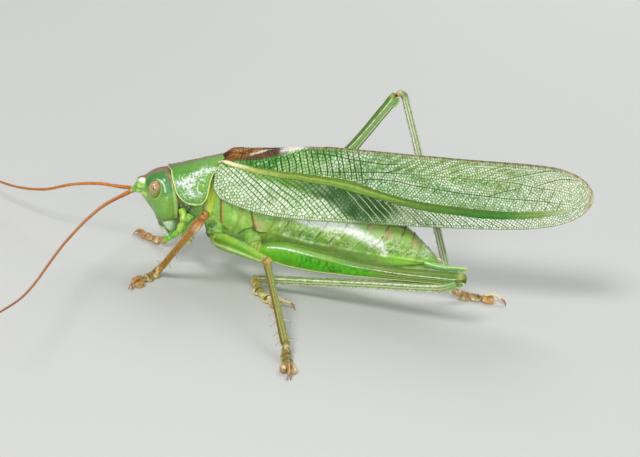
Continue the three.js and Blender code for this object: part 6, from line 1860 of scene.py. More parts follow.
        # knee lobes: a pair of rounded plates hanging over the joint
        for c in (1, -1):
            ctr = knee - thigh * .95 + bend * (.42 + SAG(.96)[0] * leg["sag"]) + S[-1] * c * .3
            n1, n2 = 22, 30
            u, w = np.meshgrid(np.linspace(0, math.pi, n1), np.linspace(0, 2 * math.pi, n2, endpoint=False), indexing="ij")
            D = np.stack([np.sin(u) * np.cos(w), np.sin(u) * np.sin(w), np.cos(u)], -1).reshape(-1, 3)
            Q = ctr + D[:, :1] * .82 * thigh + D[:, 1:2] * .4 * bend + D[:, 2:] * .2 * S[-1] * c
            i, j = np.meshgrid(np.arange(n1 - 1), np.arange(n2), indexing="ij")
            k = (j + 1) % n2
            Fl = np.stack([i * n2 + j, i * n2 + k, (i + 1) * n2 + k, (i + 1) * n2 + j], -1).reshape(-1, 4)
            # keep the poles closed by tiny rings
            if (np.cross(Q[Fl[n2 * 10, 1]] - Q[Fl[n2 * 10, 0]], Q[Fl[n2 * 10, 3]] - Q[Fl[n2 * 10, 0]]) @ (Q[Fl[n2 * 10, 0]] - ctr)) < 0:
                Fl = Fl[:, ::-1]
            gl = mixc(lin(92, 150, 56), lin(214, 226, 170), .85 * sstep(.72, .95, np.hypot(D[:, 0], D[:, 1])))
            gl = mixc(gl, lin(226, 236, 190), .6 * (D[:, 1] < -.3) * sstep(.5, .9, np.hypot(D[:, 0], D[:, 1])))
            parts.append((Q, [Fl], gl))
        hair_at = (t > .3) & (t < .95)
        parts += hairs(V, N, thigh, hair_at & (np.abs(sv) > .8), 90, .26, .016, lin(206, 206, 150), 71 + side)
    else:
        path = [start, (start + knee) / 2 - bend * .12, knee]
        V, F, t, sv, cv, N, L, P, T, S, B = limb(path, FEMUR_MID if kind == "mid" else FEMUR_SMALL, bend, side, 150, 64, 2.25)
        disp = .04 * ridge(sv, .55, .1) * sstep(.05, .12, t) * (1 - sstep(.92, .96, t)) + .03 * ridge(sv, -.6, .1) * sstep(.05, .12, t) * (1 - sstep(.92, .96, t))
        disp += -.035 * ridge(sv, .05, .25) * sstep(.06, .15, t) * (1 - sstep(.85, .95, t)) - .05 * ridge(t, .93, .012) + .03 * ridge(t, .965, .02)
        disp += .022 * vnoise(V, 2.2, 64) + .01 * vnoise(V, 7, 65)
        V = V + N * disp[:, None]
        if kind == "fore":
            g = mixc(lin(146, 168, 60), lin(168, 98, 24), sstep(.4, .85, t))
            g = mixc(g, lin(206, 214, 150), .5 * ridge(sv, -.2, .3) * (1 - sstep(.5, .8, t)))
            g = mixc(g, lin(120, 70, 26), .6 * ridge(t, .93, .02) + .4 * sstep(.9, .98, t) * (sv > .2))
            g = mixc(g, lin(66, 44, 16), .85 * sstep(.88, .95, t) * np.clip(1.6 * vnoise(V, 2.9, 91) + .15, 0, 1))
            g = mixc(g, lin(116, 146, 50), .7 * sstep(.86, .93, t) * np.clip(-1.6 * vnoise(V, 2.4, 92), 0, 1))
        else:
            g = mixc(lin(158, 206, 84), lin(126, 182, 56), sstep(-.6, .3, sv))
            g = mixc(g, lin(88, 150, 34), .6 * ridge(sv, .1, .22) * (1 - sstep(.5, .8, t)))
            g = mixc(g, lin(222, 238, 166), .85 * ridge(sv, .66, .12) * (1 - sstep(.85, .95, t)))
            g = mixc(g, lin(104, 140, 52), .6 * ridge(sv, .3, .12))
            g = mixc(g, lin(190, 158, 94), .8 * sstep(.86, .95, t))
            g = mixc(g, lin(128, 88, 40), .7 * sstep(.88, .95, t) * np.clip(1.5 * vnoise(V, 2.9, 93) + .05, 0, 1))
            g = mixc(g, lin(150, 86, 34), .7 * ridge(t, .955, .02) * (sv < .3))
            g = mixc(g, lin(176, 200, 140), .5 * ridge(t, .9, .02))
        g = g * (1 + .08 * vnoise(V, 3, 66))[:, None]
        parts = [(V, F, g)]
        parts += hairs(V, N, thigh, (t > .1) & (t < .95), 130, .24, .015, lin(214, 208, 160), 73 + side)
    Vm, Fm, Tm = merged(parts)
    build("thigh_" + name, Vm, Fm, leg_mat, Tm, stands=["femur_" + name])
    return thigh, shin, bend


SHIN_HEAD = {
    "hind_right": [(6.95, 13.2, 21.45), (7.42, 13.25, 21.75), (7.9, 13.18, 21.45), (8.35, 12.9, 20.6)],
    "hind_left": [(16.75, -8.4, 6.5), (16.4, -8.5, 6.1), (15.8, -8.45, 5.74), (14.9, -8.2, 5.3)],
}


def tibia(name, leg, thigh, shin, bend):
    kind, side = name.split("_")[0], leg["side"]
    knee, ankle = np.array(leg["knee"], float), np.array(leg["ankle"], float)
    if name in SHIN_HEAD:
        head_ = [np.array(p, float) for p in SHIN_HEAD[name]]
        path = head_ + [head_[-1] + (ankle - head_[-1]) * k for k in (.33, .66, 1.0)]
    else:
        a = knee - thigh * .42 + bend * .16
        b = knee + thigh * .02 + bend * .5
        path = [a, b, b + (ankle - b) * .3, b + (ankle - b) * .65, ankle]
    V, F, t, sv, cv, N, L, P, T, S, B = limb(path, TIBIA[kind], bend, side, {"hind": 300, "mid": 190, "fore": 190}[kind], 64, 2.7)
    live = sstep(.03, .08, t) * (1 - sstep(.96, .985, t))
    ang = np.arctan2(sv, cv)
    four = np.cos(4 * ang + math.pi) * .5 + .5                    # one carina at each corner
    disp = live * (.035 * four ** 3 - .02 * (1 - four))
    disp += .016 * live * np.cos(8 * ang)
    disp += .015 * vnoise(V, 3.0, 67) + .008 * vnoise(V, 9, 68)
    disp -= .04 * ridge(t, .965, .006)
    if kind == "fore":          # the ear: a swelling with a slit on each face
        ear = np.exp(-((t - .2) / .05) ** 2)
        slit = np.exp(-(((t - .2) / .042) ** 4)) * np.exp(-((sv + .1) / .12) ** 2) * (np.abs(cv) > .6)
        disp -= .16 * slit
        disp += .05 * ear * ridge(np.abs(sv + .1), .24, .08)
    V = V + N * disp[:, None]
    stripe = four ** 2 * live
    if kind == "hind":
        g = mixc(lin(116, 138, 66), lin(168, 190, 126), .5 + .5 * np.cos(8 * ang))
        g = g * (1 + .22 * vnoise(V, 7.0, 75))[:, None]
        g = mixc(g, lin(78, 92, 36), .85 * live * ridge(np.cos(8 * ang), -1, .5))
        g = mixc(g, lin(216, 232, 194), np.clip(stripe * (.62 + .9 * vnoise(V, 6.5, 69)), 0, 1))
        g = mixc(g, lin(206, 222, 178), .5 * ridge(sv, 0, .16) * live)
        if side > 0:
            g = mixc(g, lin(186, 192, 166), .3 * live)
            g = mixc(g, lin(238, 242, 226), .55 * np.clip(stripe * (.6 + .8 * vnoise(V, 6.5, 76)), 0, 1))
            g = mixc(g, lin(84, 88, 58), .6 * live * ridge(np.cos(8 * ang), -1, .4))
        near = 1 - sstep(.02, .12, t)
        g = mixc(g, lin(120, 164, 84), .7 * near)
        if side > 0:
            g = mixc(g, lin(196, 160, 128), .85 * (1 - sstep(.012, .035, t)))
            g = mixc(g, lin(120, 96, 60), .6 * ridge(t, .04, .01))
        else:
            g = mixc(g, lin(176, 128, 66), .6 * ridge(t, .1, .03) * (sv > .1))
            g = mixc(g, lin(96, 52, 22), .9 * (1 - sstep(.008, .026, t)))
        g = mixc(g, lin(196, 172, 120), .6 * sstep(.955, .98, t))
    elif kind == "mid":
        g = mixc(lin(140, 134, 52), lin(112, 104, 40), sstep(-.5, .5, sv))
        # painted highlight: a broken pale line along the shin
        g = mixc(g, lin(222, 206, 140), np.clip(.6 * ridge(sv, -.15, .16) * (cv > 0) * live * np.interp(t, [0, .1, .3, .32, .34, .52, .54, .56, .95, 1], [.4, .8, 1, .4, .9, 1, .5, 1, 1, .2]), 0, 1))
        g = mixc(g, lin(150, 172, 96), .6 * ridge(sv, -.8, .25) * live)
        g = mixc(g, lin(128, 104, 40), .6 * ridge(sv, .55, .2) * live)
        g = mixc(g, lin(186, 154, 92), .75 * (1 - sstep(.02, .07, t)))
        g = mixc(g, lin(118, 82, 36), .7 * (1 - sstep(.03, .08, t)) * np.clip(1.5 * vnoise(V, 2.9, 94) + .05, 0, 1))
        g = mixc(g, lin(70, 60, 20), .6 * ridge(t, .968, .008))
    else:
        g = mixc(lin(176, 102, 20), lin(158, 112, 20), sstep(.3, .6, t))
        g = mixc(g, lin(132, 116, 24), .6 * vnoise(V, 1.5, 70) + .2)
        g = mixc(g, lin(186, 136, 52), .5 * ridge(sv, -.5, .3) * live)
        g = mixc(g, lin(236, 230, 178), .9 * np.exp(-((t - .17) / .055) ** 2) * ridge(sv, -.78, .2) * (cv > -.4))
        g = mixc(g, lin(84, 44, 16), .8 * np.exp(-((t - .2) / .045) ** 4) * ridge(sv, -.1, .14) * (np.abs(cv) > .5))
        g = mixc(g, lin(172, 108, 42), .7 * np.exp(-(((t - .035) / .03) ** 2)) * (sv < .4))
        g = mixc(g, lin(70, 42, 14), .9 * (1 - sstep(.03, .1, t)) * np.clip(1.7 * vnoise(V, 2.9, 95) + .15, 0, 1))
        g = mixc(g, lin(120, 138, 50), .75 * (1 - sstep(.01, .06, t)) * np.clip(-1.6 * vnoise(V, 2.2, 96) + .1, 0, 1))
        g = mixc(g, lin(206, 160, 84), .7 * sstep(.93, .97, t))
    g = g * (1 + .06 * vnoise(V, 4, 74))[:, None]
    parts = [(V, F, g)]
    # spines in rows along the carinae
    rng = np.random.default_rng(80 + list(LEGS).index(name))
    pale, tipc = lin(222, 224, 178), lin(120, 92, 50)
    rows_, n = P, len(P)
    s_at = np.linspace(0, 1, n)

    def place(ts, edge, s_dir, length, r, up_share, along=.9):
        for q in ts:
            i = int(np.clip(q * (n - 1), 2, n - 3))
            hw, hd = TIBIA[kind](q)
            base = P[i] + S[i] * edge * hw * .66 + B[i] * s_dir * hd * .66
            d = S[i] * edge * (1 - up_share) + B[i] * s_dir * up_share + T[i] * along
            v, f, tt = thorn(base, d, length * rng.uniform(.85, 1.15), r, bend=T[i] * .15, sides=7, rings=7)
            parts.append((v, f, mixc(np.tile(pale, (len(v), 1)), tipc, .8 * sstep(.82, 1, tt))))
    def comb(ts, w, length, r):
        """A row of spines standing out from one edge."""
        for q in ts:
            i = int(np.clip(q * (n - 1), 2, n - 3))
            hw, hd = TIBIA[kind](q)
            v, f, tt = thorn(P[i] + w * hw * .7, w * .85 + T[i] * .5, length * rng.uniform(.85, 1.15), r, bend=T[i] * .15, sides=8, rings=8, tip=.028)
            parts.append((v, f, mixc(np.tile(lin(198, 192, 148), (len(v), 1)), tipc, .9 * sstep(.72, 1, tt))))
    edge_w = np.cross(T[n // 2], (0, .94, -.34))
    edge_w /= np.linalg.norm(edge_w)
    if kind == "hind":
        ts = np.linspace(.13, .955, 26)
        for edge in (-1, 1):
            place(ts + rng.uniform(-.006, .006, len(ts)), edge, 1, .42, .06, .62)
            place(np.linspace(.2, .95, 13), edge, -1, .32, .05, .55)
            place([.972], edge, 1, .62, .08, .3)
            place([.972], edge, -1, .5, .07, .4)
    elif kind == "mid":
        comb([.43, .68, .91], edge_w, 1.0, .1)
        comb([.42, .57, .68, .79, .89], -edge_w, 1.0, .1)
        place([.4, .66, .93], -1, 1, .6, .06, .5, .6)
        place([.975], 1, 1, .5, .07, .5)
        place([.975], -1, 1, .5, .07, .5)
    else:
        comb([.42, .56, .7, .85], edge_w, .7, .08)
        comb([.48, .62, .76, .9], -edge_w, .65, .08)
        place([.5, .82], -1, 1, .5, .06, .5, .6)
        place([.975], 1, 1, .45, .07, .5)
        place([.975], -1, 1, .45, .07, .5)
    if kind == "hind":
        parts += hairs(V, N, shin, (t > .08) & (t < .96) & (sv > .7), 420, .26, .014, lin(170, 132, 84), 97 + side, .5)
    parts += hairs(V, N, shin, (t > .08) & (t < .96), {"hind": 420, "mid": 170, "fore": 150}[kind], .2, .014, lin(220, 216, 176), 90 + side + 7 * len(kind), .7)
    Vm, Fm, Tm = merged(parts)
    build("shin_" + name, Vm, Fm, shin_mat, Tm, stands=["tibia_" + name])


FEET = {
    "fore_left": dict(p=[(-17.98, -4.6, 1.3), (-18.73, -5.6, .5), (-19.3, -7.0, .5), (-20.0, -8.2, .52)], lobes=[(-20.34, -7.55, .36), (-19.85, -8.95, .34)], claw=[(-19.9, -8.1, .75), (-20.4, -9.1, .85), (-20.72, -9.75, .52)], tips=[(-20.95, -10.3), (-20.5, -10.45)]),
    "fore_right": dict(p=[(-18.62, 4.78, 1.1), (-20.1, 6.0, .5), (-21.1, 6.75, .5), (-21.8, 7.35, .52)], lobes=[(-21.98, 7.95, .36), (-21.6, 6.85, .34)], claw=[(-21.75, 7.3, .75), (-22.25, 7.5, .8), (-22.6, 7.6, .5)], tips=[(-22.95, 7.95), (-23.05, 7.4)]),
    "mid_left": dict(p=[(-1.78, -22.4, 1.2), (-1.45, -23.6, .5), (-1.28, -24.75, .5), (-1.12, -26.1, .52)], lobes=[(-1.68, -26.3, .35), (-.58, -26.1, .35)], claw=[(-1.14, -26.0, .75), (-1.0, -27.2, .68), (-.92, -27.9, .42)], tips=[(-1.1, -28.42), (-.66, -28.42)]),
    "mid_right": dict(p=[(-3.62, 21.5, 1.15), (-3.1, 22.8, .5), (-2.6, 23.9, .5), (-2.0, 24.9, .52)], lobes=[(-2.4, 25.2, .35), (-1.45, 24.7, .35)], claw=[(-2.05, 24.8, .75), (-1.7, 25.6, .78), (-1.4, 26.1, .45)], tips=[(-1.5, 26.75), (-1.0, 26.5)]),
    "hind_left": dict(p=[(-6.8, -3.85, 1.12), (-6.0, -6.1, .52), (-4.75, -8.0, .52), (-3.85, -8.65, .52)], lobes=[(-3.75, -8.0, .36), (-3.95, -9.15, .36)], claw=[(-3.95, -8.6, .75), (-3.0, -8.72, .95), (-2.05, -8.5, .62)], tips=[(-1.4, -9.0), (-1.5, -8.2)]),
    "hind_right": dict(p=[(17.35, 1.75, 1.3), (19.0, 2.6, .62), (20.4, 2.75, .52), (21.4, 2.95, .55)], lobes=[(21.75, 2.45, .36), (21.65, 3.55, .36)], claw=[(21.2, 2.92, .78), (22.3, 3.1, 1.0), (23.45, 2.85, .62)], tips=[(23.95, 2.2), (24.0, 3.05)]),
}


def ball_on(X, Y, Z, c, d, r):
    """An ellipsoid lying along d in plan, with half sizes r = (along, across, up)."""
    d = np.array([d[0], d[1]]) / math.hypot(d[0], d[1])
    u = (X - c[0]) * d[0] + (Y - c[1]) * d[1]
    v = -(X - c[0]) * d[1] + (Y - c[1]) * d[0]
    return d_ball(u, v, Z, (0, 0, c[2]), r)


def tarsus(name, leg):
    kind, side = name.split("_")[0], leg["side"]
    ft = FEET[name]
    p = [np.array(q, float) for q in ft["p"]]
    k = {"fore_left": 1.14, "fore_right": 1.05, "mid_left": 1.26, "mid_right": 1.1, "hind_left": 1.34, "hind_right": 1.14}[name]

    def field(X, Y, Z):
        d = None
        for i, (ra, rb) in enumerate([(.3 * k, .36 * k), (.3 * k, .38 * k), (.27 * k, .26 * k)]):
            a, b = p[i], p[i + 1]
            dv = (b - a) / np.linalg.norm(b - a)
            a2 = a + dv * (.1 if i else .0)
            seg = d_bone(X, Y, Z, a2, b - dv * .1, ra, rb)
            if i < 2:
                cross = np.array([-dv[1], dv[0], 0])
                cross /= np.linalg.norm(cross)
                for s in (-1, 1):                     # the paired pads under each segment's end
                    c = b - dv * .34 + cross * s * .2 * k
                    pad = ball_on(X, Y, Z, (c[0], c[1], .34), dv, (.52 * k, .3 * k, .34))
                    seg = s_min(seg, pad, .12)
                    c2 = a + dv * .55 + cross * s * .16 * k
                    if i == 0:
                        c2z = a[2] + (b[2] - a[2]) * .35 - .15
                        seg = s_min(seg, ball_on(X, Y, Z, (c2[0], c2[1], c2z), dv, (.5, .28 * k, .32)), .15)
            d = seg if d is None else s_min(d, seg, .035)
        dirn = p[3] - p[2]
        for c in ft["lobes"]:
            c = np.array(c, float)
            lob = ball_on(X, Y, Z, (c[0], c[1], .36), dirn, (.82, .42, .37))
            d = s_min(d, lob, .06)
        d = s_max(d, .012 - Z, .03)
        return d
    allp = np.array(p + [np.array(c, float) for c in ft["lobes"]])
    lo, hi = allp.min(0) - [.95, .95, 0], allp.max(0) + [.95, .95, .6]
    lo[2] = -.05
    V, F = nets(field, lo, hi, .06)
    V[:, 2] = np.maximum(V[:, 2], .006)
    N = normals(V, F)
    x, y, z = V.T
    # which part of the foot each point is on
    segd = []
    for i in range(3):
        a, b = p[i][:2], p[i + 1][:2]
        dv = b - a
        tt = np.clip(((V[:, :2] - a) @ dv) / (dv @ dv), 0, 1)
        segd.append((np.linalg.norm(V[:, :2] - a - tt[:, None] * dv, axis=1), tt))
    D = np.stack([q[0] for q in segd], 1)
    which = D.argmin(1)
    tt = np.stack([q[1] for q in segd], 1)[np.arange(len(V)), which]
    joint = (which < 2) * np.exp(-((1 - tt) / .06) ** 2) + (which > 0) * np.exp(-(tt / .08) ** 2)
    V = V + N * (.045 * vnoise(V, 2.4, 100) + .02 * vnoise(V, 6, 101) + .008 * vnoise(V, 13, 102))[:, None]
    V[:, 2] = np.maximum(V[:, 2], .004)
    lob = np.min([np.hypot(x - c[0], y - c[1]) for c in ft["lobes"]], axis=0)
    isl = 1 - sstep(.55, .85, lob)
    base = {"fore": lin(166, 128, 56), "mid": lin(146, 128, 56), "hind": lin(176, 160, 78)}[kind]
    padc = {"fore": lin(206, 168, 92), "mid": lin(180, 164, 94), "hind": lin(218, 208, 146)}[kind]
    lobec = {"fore": lin(190, 128, 58), "mid": lin(184, 132, 70), "hind": lin(200, 140, 70)}[kind]
    if name == "hind_right":
        base, padc = lin(158, 124, 66), lin(208, 186, 134)
    if name == "fore_right":
        base, padc, lobec = lin(190, 140, 96), lin(212, 178, 128), lin(204, 140, 104)
    g = np.tile(base, (len(V), 1))
    low = 1 - sstep(.3, .62, z)
    g = mixc(g, padc, .85 * low)
    g = mixc(g, lobec, isl)
    g = mixc(g, padc, .5 * isl * (1 - sstep(.12, .4, z)))
    # painted highlights: pale flecks over the foot, stronger on the left hind foot
    g = mixc(g, lin(240, 230, 170), np.clip((1.5 if name == "hind_left" else .9) * vnoise(V, 2.6, 103), 0, .9))
    g = mixc(g, base * .4, .8 * np.clip(-vnoise(V, 3.4, 104) - .05, 0, 1))
    g = mixc(g, lin(58, 38, 14), .85 * np.clip(joint, 0, 1) * sstep(.3, .6, z))
    parts = [(V, F, g)]
    # claw segment
    cl = curve(ft["claw"], 26)
    s = np.linspace(0, 1, 26)
    w = np.interp(s, [0, .06, .3, .7, .9, 1], [.08, .17, .16, .18, .24, .12])
    Vc, Fc, tc_, ac = tube(cl, w, w * .92, 20, (0, 0, 1))
    Vc = Vc + normals(Vc, Fc) * (.012 * vnoise(Vc, 8, 105))[:, None]
    gc = mixc(np.tile(lin(212, 196, 138) if kind == "hind" else lin(166, 112, 62), (len(Vc), 1)), lin(236, 228, 184) if kind == "hind" else lin(206, 158, 104), .6 * (np.sin(ac) > .5))
    gc = mixc(gc, lin(150, 100, 60), .6 * sstep(.86, 1, tc_))
    parts.append((Vc, Fc, gc))
    # claws: a pair of curved hooks
    root = cl[-2]
    for tx, ty in ft["tips"]:
        end = np.array([tx, ty, .03])
        mid = root + (end - root) * .55 + np.array([0, 0, .16])
        cp = curve([root, mid, end], 14)
        q = np.linspace(0, 1, 14)
        wv = np.interp(q, [0, .1, .6, 1], [.1, .105, .07, .014])
        Vh, Fh, th_, ah = tube(cp, wv, wv, 12, (0, 0, 1))
        Vh[:, 2] = np.maximum(Vh[:, 2], .004)
        parts.append((Vh, Fh, mixc(np.tile(lin(176, 118, 70), (len(Vh), 1)), lin(54, 30, 16), sstep(.5, .95, th_))))
    parts += hairs(V, N, (p[3] - p[0]) / np.linalg.norm(p[3] - p[0]), (z > .35), 90, .2, .013, lin(220, 214, 170), 110 + side + 5 * len(kind), .6)
    Vm, Fm, Tm = merged(parts)
    build("foot_" + name, Vm, Fm, foot_mat, Tm, stands=["tarsus_" + name])


for name, leg in LEGS.items():
    coxa(name, leg)
    th, sh, bd = femur(name, leg)
    tibia(name, leg, th, sh, bd)
    tarsus(name, leg)

# ------------------------------------------------------------------ feelers
feeler_mat = skin("feeler_cuticle", rough=.38, rough_var=.1, value_var=.14, hue_var=.015, grain=3400, blotch=800, bump_size=.4, bump_mm=.008, coat=.12, coat_rough=.2, sss=.05, spec=.36)
ANTENNA = {
    "left": [(-23.1, -.02, 8.38), (-24.2, -1.56, 8.0), (-25.5, -4.24, 7.7), (-26.6, -7.7, 7.3), (-27.5, -12, 6.9), (-28.15, -17, 6.75), (-28.6, -22.5, 6.6), (-28.85, -28, 6.75), (-29.3, -34, 7.2), (-30.6, -41.5, 8.1)],
    "right": [(-23.1, 1.92, 8.15), (-24.6, 1.75, 8.12), (-27.3, 2.66, 7.78), (-30.6, 3.65, 6.82), (-34.4, 5.6, 4.9), (-39.2, 9.6, 3.3), (-44.4, 14.6, 2.7), (-49.4, 19.8, 2.7), (-54.6, 26.2, 3.3)],
}


def feeler(word, side):
    pts = ANTENNA[word]
    L = np.linalg.norm(np.diff(np.array(pts), axis=0), axis=1).sum()
    # ring places: short segments near the root, longer ones further out
    places, x = [0.0], 0.0
    while x < L:
        x += np.interp(x, [0, 3, 12, L], [.26, .34, .5, .62])
        places.append(x)
    places = np.array(places[:-1])
    rel = np.array([0, .06, .12, .5, .86, .95])
    t = []
    for a, b in zip(places[:-1], places[1:]):
        t += list(a + (b - a) * rel)
    t = np.array(t + [places[-1]])
    ph = np.concatenate([np.tile(rel, len(places) - 1), [0]])
    P = curve(pts, 0, t=t / places[-1])
    P = P
    r0 = np.interp(t, [0, .5, 2, 8, 20, L], [.24, .245, .2, .165, .14, .1])
    r = r0 * np.interp(ph, [0, .06, .12, .5, .86, .95, 1], [.84, .86, .97, 1.0, 1.08, 1.06, .84])
    r[-2:] *= [.7, .25]
    V, F, tt, aa = tube(P, r, r, 14, (0, .1, 1))
    tl = np.concatenate([np.repeat(t, 14), [0, places[-1]]])
    pv = np.concatenate([np.repeat(ph, 14), [0, 0]])
    g = mixc(lin(198, 112, 32), lin(182, 100, 30), sstep(6, 20, tl))
    g = mixc(g, lin(150, 82, 28), sstep(26, 44, tl))
    g = mixc(g, lin(206, 150, 76), .4 * ((pv > .3) & (pv < .9)) * (np.sin(aa) > .4))
    g = mixc(g, lin(92, 46, 16), .8 * (pv < .1))
    g = mixc(g, lin(214, 200, 140), .85 * (1 - sstep(.12, .3, tl)))
    band = .5 + .5 * np.sin(tl * .9 + 1.1)
    g = mixc(g, lin(190, 128, 56), .2 * band)
    parts = [(V, F, g)]
    N = normals(V, F)
    T = np.gradient(P, axis=0)
    T /= np.linalg.norm(T, axis=1)[:, None]
    rng = np.random.default_rng(130 + side)
    for i in rng.choice(len(P) * 14 - 40, 620, replace=False):
        d = N[i] * .55 + T[i // 14]
        v, f, _ = thorn(V[i] - N[i] * .02, d, rng.uniform(.14, .24), .011, sides=3, rings=3, tip=.005)
        parts.append((v, f, lin(186, 140, 90)))
    return merged(parts)


scape_mat = skin("scape_cuticle", rough=.24, rough_var=.07, value_var=.07, hue_var=.012, grain=2000, blotch=420, bump_size=.4, bump_mm=.01, pores=.3, pore_scale=7000, coat=.6, coat_rough=.1, sss=.12)
for side, word in ((-1, "left"), (1, "right")):
    V, F, T = feeler(word, side)
    build("feeler_" + word, V, F, feeler_mat, T, stands=["antenna_%s_%s" % (word, q) for q in ("base", "middle", "tip")])

    def scape_field(X, Y, Z):
        y = Y * side
        d = d_bone(X, y, Z, (-21.62, 1.02, 9.38 if side < 0 else 9.2), (-22.12, 1.06, 9.12 if side < 0 else 9.05), .72, .64)
        d = s_min(d, d_ball(X, y, Z, (-21.82, 1.02, 9.86 if side < 0 else 9.7), (.56, .5, .34)), .1)
        d = s_min(d, d_ball(X, y, Z, (-22.2, 1.12, 8.66), (.5, .5, .36)), .12)
        d = s_min(d, d_bone(X, y, Z, (-22.5, 1.0, 8.72), (-22.98, .98, 8.36), .34, .29), .05)
        d = d + .05 * np.exp(-(((X + 22.42) * .8 + (Z - 8.8) * .6) / .07) ** 2)
        return d
    lo, hi = sorted([side * .2, side * 1.95])
    V, F = nets(scape_field, (-23.6, lo, 7.8), (-20.7, hi, 10.4), .05)
    x, y, z = V.T
    N = normals(V, F)
    V = V + N * (.012 * vnoise(V, 6, 121))[:, None]
    # painted highlight: the top of the scape painted lighter and then white
    g = mixc(lin(150, 196, 92), lin(196, 226, 150), sstep(9.3, 9.75, z))
    g = mixc(g, lin(250, 254, 236), .9 * sstep(9.7, 9.92, z))
    g = mixc(g, lin(182, 222, 128), .6 * bump(z, 9.15, .25) * (x > -22.3))
    g = mixc(g, lin(86, 140, 34), .85 * bump(z, 8.98, .1))
    g = mixc(g, lin(120, 168, 54), .6 * bump(z, 9.55, .09))
    g = mixc(g, lin(190, 222, 130), .7 * bump(z, 8.68, .12) * (x > -22.5))
    ped = 1 - sstep(-22.5, -22.38, x)
    g = mixc(g, lin(120, 168, 66), .7 * ped)
    g = mixc(g, lin(82, 118, 30), .6 * bump(x, -22.46, .07))
    g = mixc(g, lin(214, 204, 140), .85 * (1 - sstep(-23.1, -22.92, x)))
    build("scape_plate_" + word, lean(V), F, scape_mat, g, stands=["scape_" + word])

# ------------------------------------------------------------------ tail
tail_mat = skin("tail_cuticle", rough=.26, rough_var=.08, value_var=.09, hue_var=.014, grain=2300, blotch=420, bump_size=.5, bump_mm=.012, pores=.3, pore_scale=7000, coat=.5, coat_rough=.12, sss=.1)
for side, word in ((-1, "left"), (1, "right")):
    dz = 0 if side < 0 else -.5
    C = [(12.9, side * 1.3, 5.42 + dz - .4 * (side < 0)), (13.6, side * 1.5, 5.32 + dz - .38 * (side < 0)), (15.2, side * 1.6 + .0, 5.0 + dz * 1.5 - .14 * (side < 0)), (16.6, side * 1.4, 4.95 + dz * 1.6), (17.6 + .6 * (side < 0), side * 1.3, 5.05 + dz * 1.5)]
    n = 120
    s = np.linspace(0, 1, n)
    w = Track([[0, .2, .2], [.03, .36, .36], [.12, .42, .42], [.35, .38, .38], [.7, .31, .31], [.93, .27, .29], [.985, .2, .2], [1, .05, .05]])(s)
    V, F, tt, aa = tube(curve(C, n), w[0], w[1], 40, (0, 0, 1))
    N = normals(V, F)
    sa = np.sin(aa)
    V = V + N * (.03 * ridge(sa, .55, .12) - .03 * ridge(sa, .15, .12) + .018 * vnoise(V, 4, 141) + .008 * vnoise(V, 10, 142))[:, None]
    g = mixc(lin(96, 158, 52), lin(150, 204, 96), sstep(-.1, .7, sa))
    g = mixc(g, lin(222, 244, 186), .85 * ridge(sa, .62, .16))
    g = mixc(g, lin(70, 110, 34), .7 * (1 - sstep(-.9, -.5, sa)))
    g = mixc(g, lin(176, 196, 96), .6 * sstep(.9, 1, tt))
    g = mixc(g, lin(120, 110, 60), .6 * (1 - sstep(0, .06, tt)))
    parts = [(lean(V), F, g)]
    parts += hairs(lean(V), normals(lean(V), F), (1, 0, 0), (tt > .1), 150, .34, .014, lin(222, 222, 180), 150 + side, .6)
    Vm, Fm, Tm = merged(parts)
    build("tail_feeler_" + word, Vm, Fm, tail_mat, Tm, stands=["cercus_" + word])

SUB = Track([[9.1, 4.1, 3.75, .5], [9.4, 4.25, 3.45, .95], [10.4, 4.5, 3.38, 1.12], [11.4, 4.6, 3.45, 1.15], [12.6, 4.7, 3.7, 1.0], [13.4, 4.75, 3.95, .85], [14.0, 4.72, 4.25, .6], [14.3, 4.66, 4.45, .3]])
nx, na = 110, 90
xs = np.linspace(9.1, 14.3, nx)
V, F, tt, aa = tube(np.c_[xs, 0 * xs, (SUB(xs)[0] + SUB(xs)[1]) / 2], SUB(xs)[2], (SUB(xs)[0] - SUB(xs)[1]) / 2, na, (0, 0, 1), power=2.3)
N = normals(V, F)
x, y, z = V.T
V = V + N * (.05 * ridge(np.abs(y), .72, .1) - .05 * ridge(y, 0, .1) + .03 * vnoise(V, 3, 145) + .012 * vnoise(V, 8, 146))[:, None]
V[:, 0] += .35 * np.exp(-((np.abs(y) - .5) / .25) ** 2) * sstep(13.6, 14.3, x)
g = mixc(lin(120, 180, 40), lin(150, 180, 104), sstep(11.2, 12.6, x))
g = mixc(g, lin(196, 214, 120), .6 * ridge(np.abs(y), .8, .12))
g = mixc(g, lin(84, 116, 36), .6 * ridge(y, 0, .12) + .5 * ridge(x, 9.5, .1))
parts = [(lean(V), F, g)]
for s in (-1, 1):      # styles
    v, f, t_ = thorn((13.85, s * .55, 4.5), (1, s * .12, -.28), .95, .12, sides=12, rings=9, tip=.04)
    parts.append((lean(v), f, mixc(np.tile(lin(206, 218, 160), (len(v), 1)), lin(226, 232, 200), t_)))
parts += hairs(lean(V), normals(lean(V), F), (1, 0, 0), (x > 10), 110, .26, .014, lin(226, 224, 190), 157, .7)
# the plate over the vent
V, F = nets(lambda X, Y, Z: s_max(d_ball(X, Y, Z, (14.25, 0, 5.35), (.95, .62, .34)), -(X - 13.2), .1), (12.8, -.9, 4.8), (15.4, .9, 5.95), .05)
parts.append((lean(V), F, mixc(lin(150, 170, 90), lin(196, 204, 140), sstep(14.3, 15, V[:, 0]))))
Vm, Fm, Tm = merged(parts)
build("vent_plate", Vm, Fm, tail_mat, Tm, stands=["subgenital_plate"])

# ------------------------------------------------------------------ hind wings, folded like fans under the fore wings
hind_mat = skin("hind_wing_cuticle", rough=.32, rough_var=.08, value_var=.1, hue_var=.012, grain=2600, blotch=420, bump_size=.4, bump_mm=.01, coat=.3, coat_rough=.2, spec=.5)


